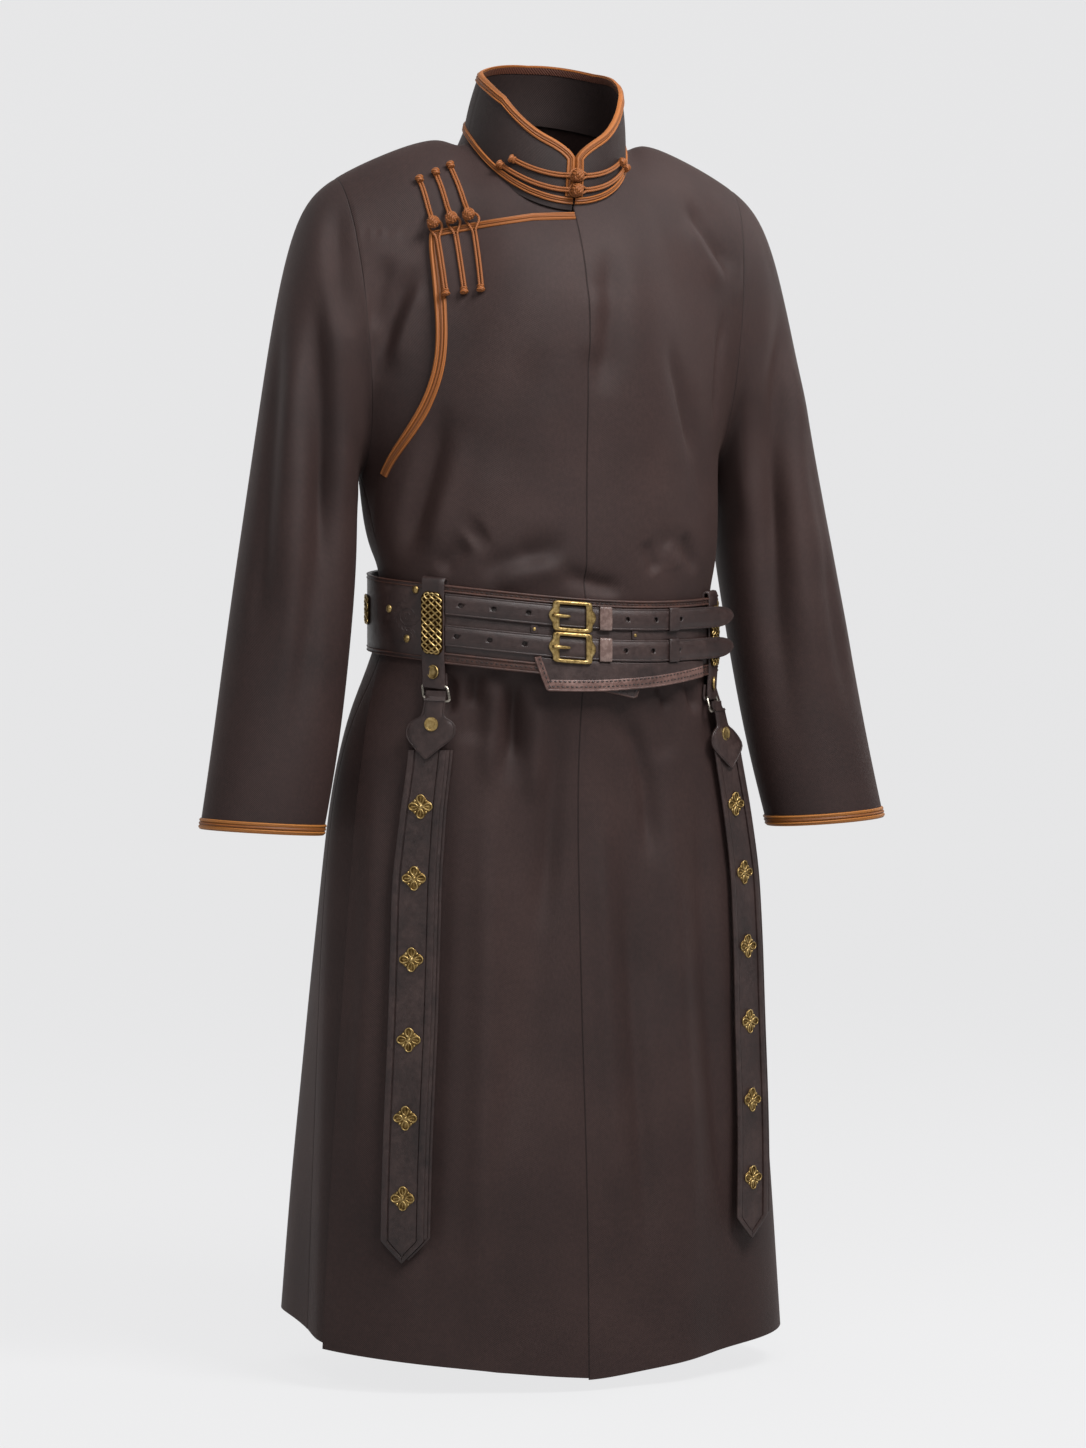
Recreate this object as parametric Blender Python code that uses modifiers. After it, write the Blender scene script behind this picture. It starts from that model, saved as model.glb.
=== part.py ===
"""Mongolian deel robe, filled out as if worn, with its own leather belt and two hanging straps.

Frame: +Z up, the front faces -Y, +X is the wearer's left. The origin is the middle of the neck at the
height of the shoulder's neck points, where the wearer's shoulders carry the robe. Metres and degrees.
The cloth comes from one coarse cage of rings (body) and patches (yoke) and sleeve rings, which is
subdivided, creased, split into the sewn panels and given a wall. Everything that lies on the cloth is
placed by casting onto it.
"""

import math
from collections import namedtuple

import bmesh
import bpy
import numpy as np
from mathutils import Vector
from mathutils.bvhtree import BVHTree

# ---------------------------------------------------------------- driving sizes
CLOTH = 0.0016          # wall of the suiting
SEAM_INSET = 0.0005    # each panel stops this short of a seam
SUBDIVISION = 1

COLUMNS = 24            # round the body, column 0 at the centre front, 6 at the wearer's left side
COLUMN_ANGLE = 360.0 / COLUMNS
QUARTER = COLUMNS // 4
YOKE_ROWS = 5
ARM_POINTS = 2 * YOKE_ROWS
NECK_COLUMNS = 3        # columns of a yoke quarter that end on the neckline, the rest on the shoulder

ARMPIT_Z = -0.335
BELT_HEIGHT = 0.076
BELT_MID = -0.480       # the belt's middle line dips at the front and towards the wearer's left
BELT_DIP_FRONT = 0.015
BELT_DIP_LEFT = 0.009

NECK_HALF_WIDTH = 0.081
NECK_FRONT_Y = -0.095
NECK_BACK_Y = 0.066
NECK_CENTRE_Y = -0.012
NECK_SIDE_Z = -0.001
NECK_FRONT_Z = -0.0765
NECK_BACK_Z = 0.024
NECK_FALL_FRONT = 1.0  # how sharply the neckline falls from the sides to the front and rises to the back
NECK_FALL_BACK = 1.3

# share: 0 at the belt's lower edge, 1 at the hem
Skirt = namedtuple("Skirt", "share half_width half_depth centre_y")
SKIRT = [
    Skirt(1.00, 0.2620, 0.1800, 0.038),
    Skirt(0.81, 0.2530, 0.1740, 0.035),
    Skirt(0.66, 0.2450, 0.1640, 0.031),
    Skirt(0.51, 0.2380, 0.1500, 0.028),
    Skirt(0.36, 0.2300, 0.1360, 0.021),
    Skirt(0.21, 0.2190, 0.1200, 0.012),
    Skirt(0.08, 0.1980, 0.1120, 0.000),
]
# share: 0 at the belt's lower edge, 1 at its upper edge
Waist = namedtuple("Waist", "share half_width half_depth centre_y")
WAIST = [
    Waist(0.0, 0.1700, 0.1140, -0.013),
    Waist(1.0, 0.1685, 0.1140, -0.014),
]
# share: 0 at the belt's upper edge, 1 at the armpit
Bodice = namedtuple("Bodice", "share half_width half_depth centre_y")
BODICE = [
    Bodice(0.20, 0.1770, 0.1240, -0.009),
    Bodice(0.55, 0.1830, 0.1300, -0.004),
    Bodice(1.00, 0.1840, 0.1340, 0.001),
]
# the hem's height by angle round the body
Hem = namedtuple("Hem", "angle z")
HEM = [
    Hem(-180, -1.172), Hem(-105, -1.172), Hem(-69, -1.196), Hem(-30, -1.214), Hem(0, -1.222),
    Hem(43, -1.202), Hem(90, -1.192), Hem(180, -1.172),
]
# the profile down the centre front and the centre back, from the armpit level to the neck
Profile = namedtuple("Profile", "z front_y back_y")
PROFILE = [
    Profile(-0.335, -0.134, 0.135),
    Profile(-0.260, -0.137, 0.140),
    Profile(-0.200, -0.142, 0.138),
    Profile(-0.150, -0.141, 0.130),
    Profile(-0.110, -0.124, 0.112),
    Profile(-0.0765, -0.095, 0.100),
]
# the shoulder's ridge from the neck to the sleeve's head
Ridge = namedtuple("Ridge", "x y z")
SHOULDER = [
    Ridge(0.098, 0.003, 0.019),
    Ridge(0.154, 0.012, -0.003),
    Ridge(0.214, 0.020, -0.033),
]
# each ring of the left sleeve: its outer and inner point, then its middle and half its depth in y
Arm = namedtuple("Arm", "outer_x outer_z inner_x inner_z middle_y half_depth")
ARM = [
    Arm(0.214, -0.034, 0.184, -0.335, 0.020, 0.070),
    Arm(0.243, -0.072, 0.189, -0.350, 0.020, 0.070),
    Arm(0.265, -0.155, 0.191, -0.364, 0.018, 0.067),
    Arm(0.283, -0.250, 0.193, -0.384, 0.014, 0.064),
    Arm(0.303, -0.360, 0.195, -0.425, 0.008, 0.060),
    Arm(0.325, -0.480, 0.204, -0.505, 0.002, 0.056),
    Arm(0.345, -0.600, 0.219, -0.605, -0.005, 0.051),
    Arm(0.361, -0.680, 0.238, -0.688, -0.010, 0.046),
]
ARMS_SHIFT = 0.006      # both cuffs hang this much towards the wearer's left
PANELS = ["front_left", "front_under", "back", "sleeve_left", "sleeve_right"]


def ring_swell(count):
    """How far a ring of cage points stands outside the smooth ring that it makes."""
    return 3.0 / (2.0 + math.cos(2.0 * math.pi / count))


def belt_middle(angle):
    turn = math.radians(angle)
    return BELT_MID - BELT_DIP_FRONT * math.cos(turn) - BELT_DIP_LEFT * math.sin(turn)


def signed(angle):
    return (angle + 180.0) % 360.0 - 180.0


def hem_height(angle):
    return float(np.interp(signed(angle), [h.angle for h in HEM], [h.z for h in HEM]))


def ring_point(row, angle, z):
    turn = math.radians(angle)
    swell = ring_swell(COLUMNS)
    return Vector((row.half_width * swell * math.sin(turn),
                   row.centre_y - row.half_depth * swell * math.cos(turn), z))


def body_rings():
    """Rings of points from the hem up to the armpits."""
    rings = []
    for row in SKIRT + WAIST + BODICE:
        ring = []
        for column in range(COLUMNS):
            angle = column * COLUMN_ANGLE
            low = belt_middle(angle) - BELT_HEIGHT / 2
            high = belt_middle(angle) + BELT_HEIGHT / 2
            if isinstance(row, Skirt):
                z = low + row.share * (hem_height(angle) - low)
            elif isinstance(row, Waist):
                z = low + row.share * (high - low)
            else:
                z = high + row.share * (ARMPIT_Z - high)
            ring.append(ring_point(row, angle, z))
        rings.append(ring)
    for side in (1, -1):
        rings[-1][side * QUARTER] = arm_point(0, YOKE_ROWS, side)
    return rings


def neck_point(angle, swell=1.0):
    """A point of the neckline: 0 at the centre front, 90 at the wearer's left, 180 at the back."""
    turn = math.radians(angle)
    depth = NECK_CENTRE_Y - NECK_FRONT_Y if math.cos(turn) > 0 else NECK_BACK_Y - NECK_CENTRE_Y
    drop, fall = (NECK_FRONT_Z, NECK_FALL_FRONT) if math.cos(turn) > 0 else (NECK_BACK_Z, NECK_FALL_BACK)
    z = NECK_SIDE_Z + (drop - NECK_SIDE_Z) * abs(math.cos(turn)) ** fall
    return Vector((NECK_HALF_WIDTH * swell * math.sin(turn),
                   NECK_CENTRE_Y - depth * swell * math.cos(turn), z))


def arm_point(station, index, side):
    """Point 0 is the outer one, then down the front; YOKE_ROWS is the inner one, then up the back."""
    arm = ARM[station]
    swell = 1.0 if station == 0 else ring_swell(ARM_POINTS)
    turn = 2 * math.pi * index / ARM_POINTS
    middle = Vector(((arm.outer_x + arm.inner_x) / 2, arm.middle_y, (arm.outer_z + arm.inner_z) / 2))
    out = Vector((arm.outer_x - middle.x, 0, arm.outer_z - middle.z))
    front = Vector((0, -arm.half_depth * swell, 0))
    point = middle + out * math.cos(turn) * swell + front * math.sin(turn)
    shift = ARMS_SHIFT * (station / (len(ARM) - 1)) ** 2
    return Vector((side * point.x + shift, point.y, point.z))


def coons(bottom, top, left, right):
    """A patch of points between four edges; [j][i], j up and i across."""
    rows = []
    across, up = len(bottom) - 1, len(left) - 1
    for j in range(up + 1):
        v = j / up
        row = []
        for i in range(across + 1):
            u = i / across
            ruled = bottom[i] * (1 - v) + top[i] * v + left[j] * (1 - u) + right[j] * u
            corners = ((bottom[0] * (1 - u) + bottom[-1] * u) * (1 - v)
                       + (top[0] * (1 - u) + top[-1] * u) * v)
            row.append(ruled - corners)
        rows.append(row)
    return rows


def yoke_patch(ring, side, front):
    """A quarter of the yoke between the armpit ring, the neckline, the shoulder and the armhole."""
    sign = side if front else -side
    start = 0 if front else COLUMNS // 2
    bottom = [ring[(start + sign * i) % COLUMNS] for i in range(QUARTER + 1)]
    swell = ring_swell(4 * NECK_COLUMNS)
    top = []
    for i in range(NECK_COLUMNS + 1):
        angle = i * 90.0 / NECK_COLUMNS
        top.append(neck_point(side * (angle if front else 180.0 - angle), swell))
    for ridge in SHOULDER:
        top.append(Vector((side * ridge.x, ridge.y, ridge.z)))
    top[-1] = arm_point(0, 0, side)
    left = [bottom[0]]
    heights = [p.z for p in PROFILE]
    depths = [p.front_y if front else p.back_y for p in PROFILE]
    for j in range(1, YOKE_ROWS):
        z = ARMPIT_Z + (top[0].z - ARMPIT_Z) * j / YOKE_ROWS
        squeeze = ARMPIT_Z + (PROFILE[-1].z - ARMPIT_Z) * j / YOKE_ROWS
        left.append(Vector((0, float(np.interp(squeeze, heights, depths)), z)))
    left.append(top[0])
    step = -1 if front else 1
    right = [arm_point(0, (YOKE_ROWS + step * j) % ARM_POINTS, side) for j in range(YOKE_ROWS + 1)]
    return coons(bottom, top, left, right)


def add_grid(bm, rows, panel_of, closed, flipped, seen):
    """Adds a grid of quads to the cage; points in the same place are one vertex."""
    def vertex(point):
        key = tuple(round(c, 5) for c in point)
        if key not in seen:
            seen[key] = bm.verts.new(point)
        return seen[key]
    across = len(rows[0]) if closed else len(rows[0]) - 1
    for j in range(len(rows) - 1):
        for i in range(across):
            n = (i + 1) % len(rows[0])
            corners = [(j, i), (j, n), (j + 1, n), (j + 1, i)]
            if flipped:
                corners.reverse()
            face = bm.faces.new([vertex(rows[b][a]) for b, a in corners])
            face.material_index = PANELS.index(panel_of(i))
            face.smooth = True


def body_panel(column):
    if column < QUARTER:
        return "front_left"
    return "back" if column < 3 * QUARTER else "front_under"


def robe_cage():
    """The whole robe as one coarse sheet, each face tagged with its panel."""
    bm = bmesh.new()
    seen = {}
    rings = body_rings()
    add_grid(bm, rings, body_panel, True, False, seen)
    for side, front_panel, sleeve in ((1, "front_left", "sleeve_left"), (-1, "front_under", "sleeve_right")):
        for front in (True, False):
            panel = front_panel if front else "back"
            flipped = (side > 0) != front
            add_grid(bm, yoke_patch(rings[-1], side, front), lambda i, p=panel: p, False, flipped, seen)
        arm = [[arm_point(s, m, side) for m in range(ARM_POINTS)] for s in range(len(ARM))]
        add_grid(bm, arm, lambda i, p=sleeve: p, True, side < 0, seen)
    mesh = bpy.data.meshes.new("robe_cage")
    bm.to_mesh(mesh)
    bm.free()
    return mesh


def subdivided(mesh, levels):
    """The mesh that a Subdivision Surface modifier makes of a cage."""
    obj = bpy.data.objects.new("cage", mesh)
    bpy.context.scene.collection.objects.link(obj)
    smooth = obj.modifiers.new("smooth", "SUBSURF")
    smooth.levels = levels
    smooth.render_levels = levels
    bpy.context.view_layer.update()
    graph = bpy.context.evaluated_depsgraph_get()
    made = bpy.data.meshes.new_from_object(obj.evaluated_get(graph))
    bpy.data.objects.remove(obj)
    return made


# ---------------------------------------------------------------- creases and flutes
# A crease is a soft trough (depth over 0) or ridge (under 0) along points that are given as seen from
# the front or the back. spread is the half width of its soft section.
Crease = namedtuple("Crease", "piece face depth spread points")
CREASES = [
    Crease("body", "front", 0.0050, 0.012, [(-0.160, -0.140), (-0.178, -0.205), (-0.186, -0.250)]),
    Crease("body", "front", 0.0050, 0.013, [(-0.112, -0.275), (-0.150, -0.375), (-0.162, -0.425)]),
    Crease("body", "front", 0.0036, 0.014, [(-0.048, -0.205), (-0.076, -0.295), (-0.098, -0.350)]),
    Crease("body", "front", 0.0030, 0.013, [(0.033, -0.115), (0.026, -0.205), (0.018, -0.265)]),
    Crease("body", "front", 0.0050, 0.012, [(0.108, -0.222), (0.131, -0.303), (0.147, -0.374)]),
    Crease("body", "front", 0.0035, 0.012, [(0.156, -0.047), (0.178, -0.105), (0.196, -0.152)]),
    Crease("body", "front", 0.0045, 0.010, [(-0.112, -0.400), (-0.098, -0.388)]),
    Crease("body", "front", 0.0035, 0.010, [(-0.070, -0.418), (-0.045, -0.406), (-0.020, -0.412)]),
    Crease("body", "front", 0.0040, 0.010, [(0.070, -0.405), (0.102, -0.400), (0.132, -0.425)]),
    Crease("body", "front", 0.0060, 0.015, [(-0.034, -0.600), (-0.036, -0.700), (-0.045, -0.800),
                                            (-0.053, -0.900), (-0.075, -1.010)]),
    Crease("body", "front", 0.0050, 0.016, [(0.045, -0.600), (0.065, -0.690), (0.076, -0.800),
                                            (0.080, -0.900)]),
    Crease("body", "front", 0.0050, 0.011, [(-0.101, -0.545), (-0.104, -0.600)]),
    Crease("body", "front", 0.0055, 0.011, [(-0.072, -0.545), (-0.076, -0.640)]),
    Crease("body", "front", 0.0045, 0.012, [(0.090, -0.552), (0.100, -0.620)]),
    Crease("body", "back", 0.0050, 0.014, [(-0.150, -0.130), (-0.120, -0.230), (-0.080, -0.330)]),
    Crease("body", "back", 0.0045, 0.014, [(0.150, -0.120), (0.130, -0.220), (0.095, -0.340)]),
    Crease("body", "back", 0.0040, 0.012, [(-0.050, -0.385), (0.010, -0.395), (0.060, -0.380)]),
    Crease("body", "back", 0.0050, 0.016, [(-0.080, -0.560), (-0.095, -0.700), (-0.110, -0.860)]),
    Crease("body", "back", 0.0060, 0.016, [(0.040, -0.570), (0.052, -0.720), (0.070, -0.930)]),
    Crease("body", "back", 0.0045, 0.015, [(0.120, -0.560), (0.150, -0.760)]),
    Crease("sleeve", "front", 0.0055, 0.011, [(-0.252, -0.132), (-0.253, -0.224), (-0.247, -0.325),
                                              (-0.236, -0.425), (-0.228, -0.526)]),
    Crease("sleeve", "front", 0.0055, 0.011, [(0.243, -0.165), (0.237, -0.296), (0.233, -0.426),
                                              (0.234, -0.530)]),
    Crease("sleeve", "front", -0.0030, 0.014, [(0.281, -0.374), (0.316, -0.531)]),
    Crease("sleeve", "back", 0.0050, 0.012, [(-0.240, -0.150), (-0.262, -0.290), (-0.270, -0.420)]),
    Crease("sleeve", "back", 0.0050, 0.012, [(0.235, -0.160), (0.258, -0.300), (0.272, -0.440)]),
]
CREASE_END = 0.35       # a crease fades over this share of its length at each end

# waves that open below the belt and are deepest at the hem: out over 0, in under 0
Flute = namedtuple("Flute", "angle depth spread")
FLUTES = [
    Flute(-150, -0.010, 11), Flute(-128, 0.007, 12), Flute(-105, -0.008, 9), Flute(-36, -0.006, 11),
    Flute(22, -0.006, 12), Flute(57, -0.008, 8), Flute(84, 0.005, 10), Flute(112, -0.010, 11),
    Flute(137, 0.008, 12), Flute(162, -0.009, 12),
]
BELT_CALM = 0.030       # creases die away this far above and below the belt


class Skin:
    """The robe's outer surface: it answers where a ray meets it, and which way it faces there."""

    def __init__(self, points, faces):
        self.tree = BVHTree.FromPolygons([Vector(p) for p in points], faces)

    def cast(self, origin, way):
        place, normal, _, _ = self.tree.ray_cast(Vector(origin), Vector(way).normalized())
        if place is None:
            raise ValueError(f"nothing lies on the way from {tuple(origin)} along {tuple(way)}")
        return place, normal

    def around(self, angle, z, lift=0.0, centre=(0.0, 0.0)):
        """The point at this angle and height, seen from the body's axis, lifted off the surface."""
        turn = math.radians(angle)
        way = Vector((math.sin(turn), -math.cos(turn), 0))
        place, normal = self.cast((centre[0], centre[1], z), way)
        if normal.dot(way) < 0:
            normal = -normal
        return place + normal * lift

    def seen(self, x, z, face="front", lift=0.0):
        """The point that is seen at (x, z) from the front or the back."""
        side = -1.0 if face == "front" else 1.0
        place, normal = self.cast((x, side, z), (0, -side, 0))
        if normal.y * side < 0:
            normal = -normal
        return place + normal * lift


def mesh_arrays(mesh):
    points = np.empty(len(mesh.vertices) * 3)
    mesh.vertices.foreach_get("co", points)
    normals = np.empty(len(mesh.vertices) * 3)
    mesh.vertices.foreach_get("normal", normals)
    faces = [list(face.vertices) for face in mesh.polygons]
    tags = np.array([face.material_index for face in mesh.polygons])
    return points.reshape(-1, 3), normals.reshape(-1, 3), faces, tags


def skin_of(points, faces, tags, wanted):
    keep = [face for face, tag in zip(faces, tags) if PANELS[tag] in wanted]
    return Skin(points, keep)


def distance_along(points, line):
    """Each point's distance to a polyline, and how far along it that is, from 0 to 1."""
    lengths = [np.linalg.norm(b - a) for a, b in zip(line, line[1:])]
    total = sum(lengths)
    best = np.full(len(points), np.inf)
    along = np.zeros(len(points))
    done = 0.0
    for a, b, length in zip(line, line[1:], lengths):
        share = np.clip((points - a) @ (b - a) / length ** 2, 0, 1)
        away = np.linalg.norm(points - (a + share[:, None] * (b - a)), axis=1)
        nearer = away < best
        best[nearer] = away[nearer]
        along[nearer] = (done + share[nearer] * length) / total
        done += length
    return best, along


def smooth_step(value):
    share = np.clip(value, 0, 1)
    return share * share * (3 - 2 * share)


def body_angles(points):
    return np.degrees(np.arctan2(points[:, 0], -points[:, 1]))


def belt_distance(points):
    """How far each point is above or below the belt's band, 0 inside it."""
    turn = np.radians(body_angles(points))
    middle = BELT_MID - BELT_DIP_FRONT * np.cos(turn) - BELT_DIP_LEFT * np.sin(turn)
    return np.maximum(np.abs(points[:, 2] - middle) - BELT_HEIGHT / 2, 0)


def creased(points, normals, faces, tags):
    """The points moved along their normals by every crease and flute."""
    on_sleeve = np.zeros(len(points), bool)
    for face, tag in zip(faces, tags):
        if PANELS[tag].startswith("sleeve"):
            on_sleeve[face] = True
    skins = {"body": skin_of(points, faces, tags, ("front_left", "front_under", "back")),
             "sleeve": skin_of(points, faces, tags, ("sleeve_left", "sleeve_right"))}
    inward = np.zeros(len(points))
    for crease in CREASES:
        line = [np.array(skins[crease.piece].seen(x, z, crease.face)) for x, z in crease.points]
        away, along = distance_along(points, line)
        fade = smooth_step(np.minimum(along, 1 - along) / CREASE_END + 0.15)
        push = crease.depth * fade * np.exp(-0.5 * (away / crease.spread) ** 2)
        inward += np.where(on_sleeve == (crease.piece == "sleeve"), push, 0)
    calm = np.where(on_sleeve, 1, smooth_step(belt_distance(points) / BELT_CALM))
    inward *= calm
    angles = body_angles(points)
    low = BELT_MID - BELT_HEIGHT / 2
    drop = np.clip((low - points[:, 2]) / (low - HEM[4].z), 0, 1)
    for flute in FLUTES:
        turn = (angles - flute.angle + 180) % 360 - 180
        wave = flute.depth * drop ** 0.8 * np.exp(-0.5 * (turn / flute.spread) ** 2)
        inward -= np.where(on_sleeve, 0, wave * calm)
    return points - normals * inward[:, None]


# ---------------------------------------------------------------- the wrap
# its free edge: from the corner by the frogs down to the hem
WrapEdge = namedtuple("WrapEdge", "z angle")
WRAP_EDGE = [
    WrapEdge(-1.230, -82), WrapEdge(-0.900, -82), WrapEdge(-0.600, -81), WrapEdge(-0.520, -83),
    WrapEdge(-0.430, -84), WrapEdge(-0.360, -84), WrapEdge(-0.330, -80), WrapEdge(-0.300, -70),
    WrapEdge(-0.270, -63), WrapEdge(-0.239, -59), WrapEdge(-0.211, -58), WrapEdge(-0.177, -59),
    WrapEdge(-0.137, -61.5), WrapEdge(-0.100, -65),
]
WrapTop = namedtuple("WrapTop", "angle z")
WRAP_TOP = [WrapTop(-65, -0.098), WrapTop(-51, -0.0905), WrapTop(-24, -0.0815), WrapTop(0, -0.0795)]
UNDER_RECESS = 0.0048   # the panel behind the wrap lies this far in
WRAP_HEM_SHARE = 0.84   # from the angle seen at the body's axis to the angle along the hem
WRAP_HEM_LIFT = 0.0035
UNDER_SHORT = 0.014     # behind the wrap its hem is this much shorter
UNDER_DROP = 0.026      # at the hem it hangs this much further in, beside the wrap's free edge
CENTRE_GAP_ANGLE = 0.25
UNDER_STOP_ANGLE = -2.0  # it ends this far from the centre front, but for its neck corner
UNDER_STOP_Z = -0.115


def wrap_edge_angle(z):
    return np.interp(z, [e.z for e in WRAP_EDGE], [e.angle for e in WRAP_EDGE])


def wrap_top_z(angle):
    return np.interp(angle, [t.angle for t in WRAP_TOP], [t.z for t in WRAP_TOP])


def recessed(points, normals):
    """The panel behind the wrap: pushed in under it, and fading to nothing away from it."""
    angles = body_angles(points)
    radius = np.hypot(points[:, 0], points[:, 1])
    beyond = np.radians(np.maximum(wrap_edge_angle(points[:, 2]) - angles, 0)) * radius
    above = np.maximum(points[:, 2] - wrap_top_z(np.maximum(angles, -65)), 0)
    away = np.where(points[:, 2] > WRAP_EDGE[-1].z, np.hypot(above, beyond * 0.6), beyond)
    cover = 1 - smooth_step((away - 0.006) / 0.040)
    low = BELT_MID - BELT_HEIGHT / 2
    drop = np.clip((low - points[:, 2]) / (low - HEM[4].z), 0, 1)
    side = smooth_step((-angles - 48) / 22) * (1 - smooth_step((-angles - 96) / 22))
    front_side = (angles < 1.0) & (angles > -130)
    push = np.where(front_side, UNDER_RECESS * cover + UNDER_DROP * drop ** 1.1 * side, 0)
    sunk = points - normals * push[:, None]
    hidden = np.where((angles < 1.0) & (angles > -110), smooth_step((angles + 84) / 14), 0)
    sunk[:, 2] += UNDER_SHORT * hidden * drop ** 6
    return sunk


# ---------------------------------------------------------------- making objects
COLOURS = {
    "cloth": ((0.052, 0.036, 0.033), 0.85, 0.0),
    "tape": ((0.38, 0.12, 0.03), 0.6, 0.0),
    "leather": ((0.030, 0.020, 0.020), 0.45, 0.0),
    "brass": ((0.45, 0.28, 0.09), 0.35, 1.0),
    "steel": ((0.35, 0.31, 0.26), 0.35, 1.0),
}


def place_object(name, data, finish):
    colour, roughness, metallic = COLOURS[finish]
    material = bpy.data.materials.new(name)
    material.use_nodes = True
    shader = material.node_tree.nodes["Principled BSDF"]
    shader.inputs["Base Color"].default_value = (*colour, 1)
    shader.inputs["Roughness"].default_value = roughness
    shader.inputs["Metallic"].default_value = metallic
    data.materials.clear()
    data.materials.append(material)
    obj = bpy.data.objects.new(name, data)
    PARTS.objects.link(obj)
    return obj


def thicken(obj, wall, outwards):
    solid = obj.modifiers.new("wall", "SOLIDIFY")
    solid.thickness = wall
    solid.offset = 1.0 if outwards else -1.0
    solid.use_even_offset = False
    return obj


def facing_out(mesh, axis):
    """Turns a sheet's faces away from an upright axis."""
    total = 0.0
    for face in mesh.polygons:
        away = face.center - Vector((axis[0], axis[1], face.center.z))
        total += face.area * face.normal.dot(away)
    if total < 0:
        mesh.flip_normals()


def sheet(name, rows, wall, finish, closed=False, axis=(0.0, 0.0), outwards=True):
    """A solid wall on a grid of points; rows[j][i]."""
    bm = bmesh.new()
    grid = [[bm.verts.new(p) for p in row] for row in rows]
    across = len(rows[0]) if closed else len(rows[0]) - 1
    for j in range(len(rows) - 1):
        for i in range(across):
            n = (i + 1) % len(rows[0])
            bm.faces.new((grid[j][i], grid[j][n], grid[j + 1][n], grid[j + 1][i])).smooth = True
    mesh = bpy.data.meshes.new(name)
    bm.to_mesh(mesh)
    bm.free()
    facing_out(mesh, axis)
    return thicken(place_object(name, mesh, finish), wall, outwards)


def tube(name, points, radii, finish, sides=6):
    """A cord through these points, each with its own radius, closed at both ends."""
    curve = bpy.data.curves.new(name, "CURVE")
    curve.dimensions = "3D"
    curve.bevel_depth = 1.0
    curve.bevel_resolution = max(sides // 2 - 2, 0)
    curve.use_fill_caps = True
    spline = curve.splines.new("POLY")
    spline.points.add(len(points) - 1)
    for point, place, radius in zip(spline.points, points, radii):
        point.co = (*place, 1)
        point.radius = radius
    return place_object(name, curve, finish)


def panel(name, points, normals, faces, tags):
    """One cut piece of the robe, drawn in a little from its seams.

    Its wall goes in along the whole robe's normals, so that the walls of two panels stay side by side
    at a seam, also on the shoulder's ridge.
    """
    bm = bmesh.new()
    made = {}
    for face, tag in zip(faces, tags):
        if PANELS[tag] != name:
            continue
        for index in face:
            if index not in made:
                made[index] = bm.verts.new(points[index])
        bm.faces.new([made[index] for index in face]).smooth = True
    ways = {vert: Vector(normals[index]) for index, vert in made.items()}
    moves = {}
    for vert in bm.verts:
        rim = [edge.other_vert(vert).co for edge in vert.link_edges if edge.is_boundary]
        if not rim:
            continue
        inside = sum((face.calc_center_median() for face in vert.link_faces), Vector()) / len(vert.link_faces)
        way = inside - vert.co
        along = (rim[0] - rim[-1]).normalized()
        way -= along * way.dot(along)
        moves[vert] = way.normalized() * SEAM_INSET
    for vert, move in moves.items():
        vert.co += move
    outer = list(bm.faces)
    rim = [(edge.verts[0], edge.verts[1], edge.link_faces[0]) for edge in bm.edges if edge.is_boundary]
    inner = {vert: bm.verts.new(vert.co - way * CLOTH) for vert, way in ways.items()}
    for face in outer:
        bm.faces.new([inner[vert] for vert in reversed(face.verts)]).smooth = True
    for a, b, face in rim:
        order = list(face.verts)
        if order[(order.index(a) + 1) % len(order)] is b:
            a, b = b, a
        bm.faces.new((a, b, inner[b], inner[a]))
    mesh = bpy.data.meshes.new(name)
    bm.to_mesh(mesh)
    bm.free()
    return place_object(name, mesh, "cloth")


# ---------------------------------------------------------------- cloth pieces
WRAP_COLUMNS = 9
WRAP_LEVELS = [-0.118, -0.137, -0.157, -0.177, -0.195, -0.213, -0.233, -0.252, -0.270, -0.286, -0.301,
               -0.316, -0.331, -0.348, -0.370, -0.395, -0.420, -0.445, -0.475, -0.505, -0.530, -0.555,
               -0.585, -0.625, -0.670, -0.720, -0.775, -0.830, -0.890, -0.950, -1.010, -1.070, -1.130]


def wrap_rows(skin):
    rows = []
    shares = [i / WRAP_COLUMNS for i in range(WRAP_COLUMNS + 1)]
    top = []
    for share in shares:
        angle = -CENTRE_GAP_ANGLE + share * (WRAP_EDGE[-1].angle + CENTRE_GAP_ANGLE)
        top.append(skin.around(angle, float(wrap_top_z(angle)) - SEAM_INSET))
    rows.append(top)
    for z in WRAP_LEVELS:
        edge = float(wrap_edge_angle(z))
        rows.append([skin.around(-CENTRE_GAP_ANGLE + s * (edge + CENTRE_GAP_ANGLE), z) for s in shares])
    hem = []
    for share in shares:
        angle = -CENTRE_GAP_ANGLE + share * (WRAP_EDGE[0].angle + CENTRE_GAP_ANGLE)
        hem.append(skin.around(angle, hem_height(angle * WRAP_HEM_SHARE) + WRAP_HEM_LIFT))
    rows.append(hem)
    return rows


def neck_loop(points, faces):
    """The neckline of the finished yoke as a function of the angle round the neck."""
    count = {}
    for face in faces:
        for a, b in zip(face, face[1:] + face[:1]):
            count[frozenset((a, b))] = count.get(frozenset((a, b)), 0) + 1
    rim = {i for edge, uses in count.items() if uses == 1 for i in edge}
    rim = [points[i] for i in rim if points[i][2] > -0.12 and abs(points[i][0]) < 0.12]
    angles = [math.degrees(math.atan2(p[0], NECK_CENTRE_Y - p[1])) % 360 for p in rim]
    order = np.argsort(angles)
    ring = np.array(rim)[order]
    turns = np.array(angles)[order]
    turns = np.concatenate([[turns[-1] - 360], turns, [turns[0] + 360]])
    ring = np.concatenate([ring[-1:], ring, ring[:1]])
    return lambda angle: np.array([np.interp(angle % 360, turns, ring[:, k]) for k in range(3)])


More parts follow.
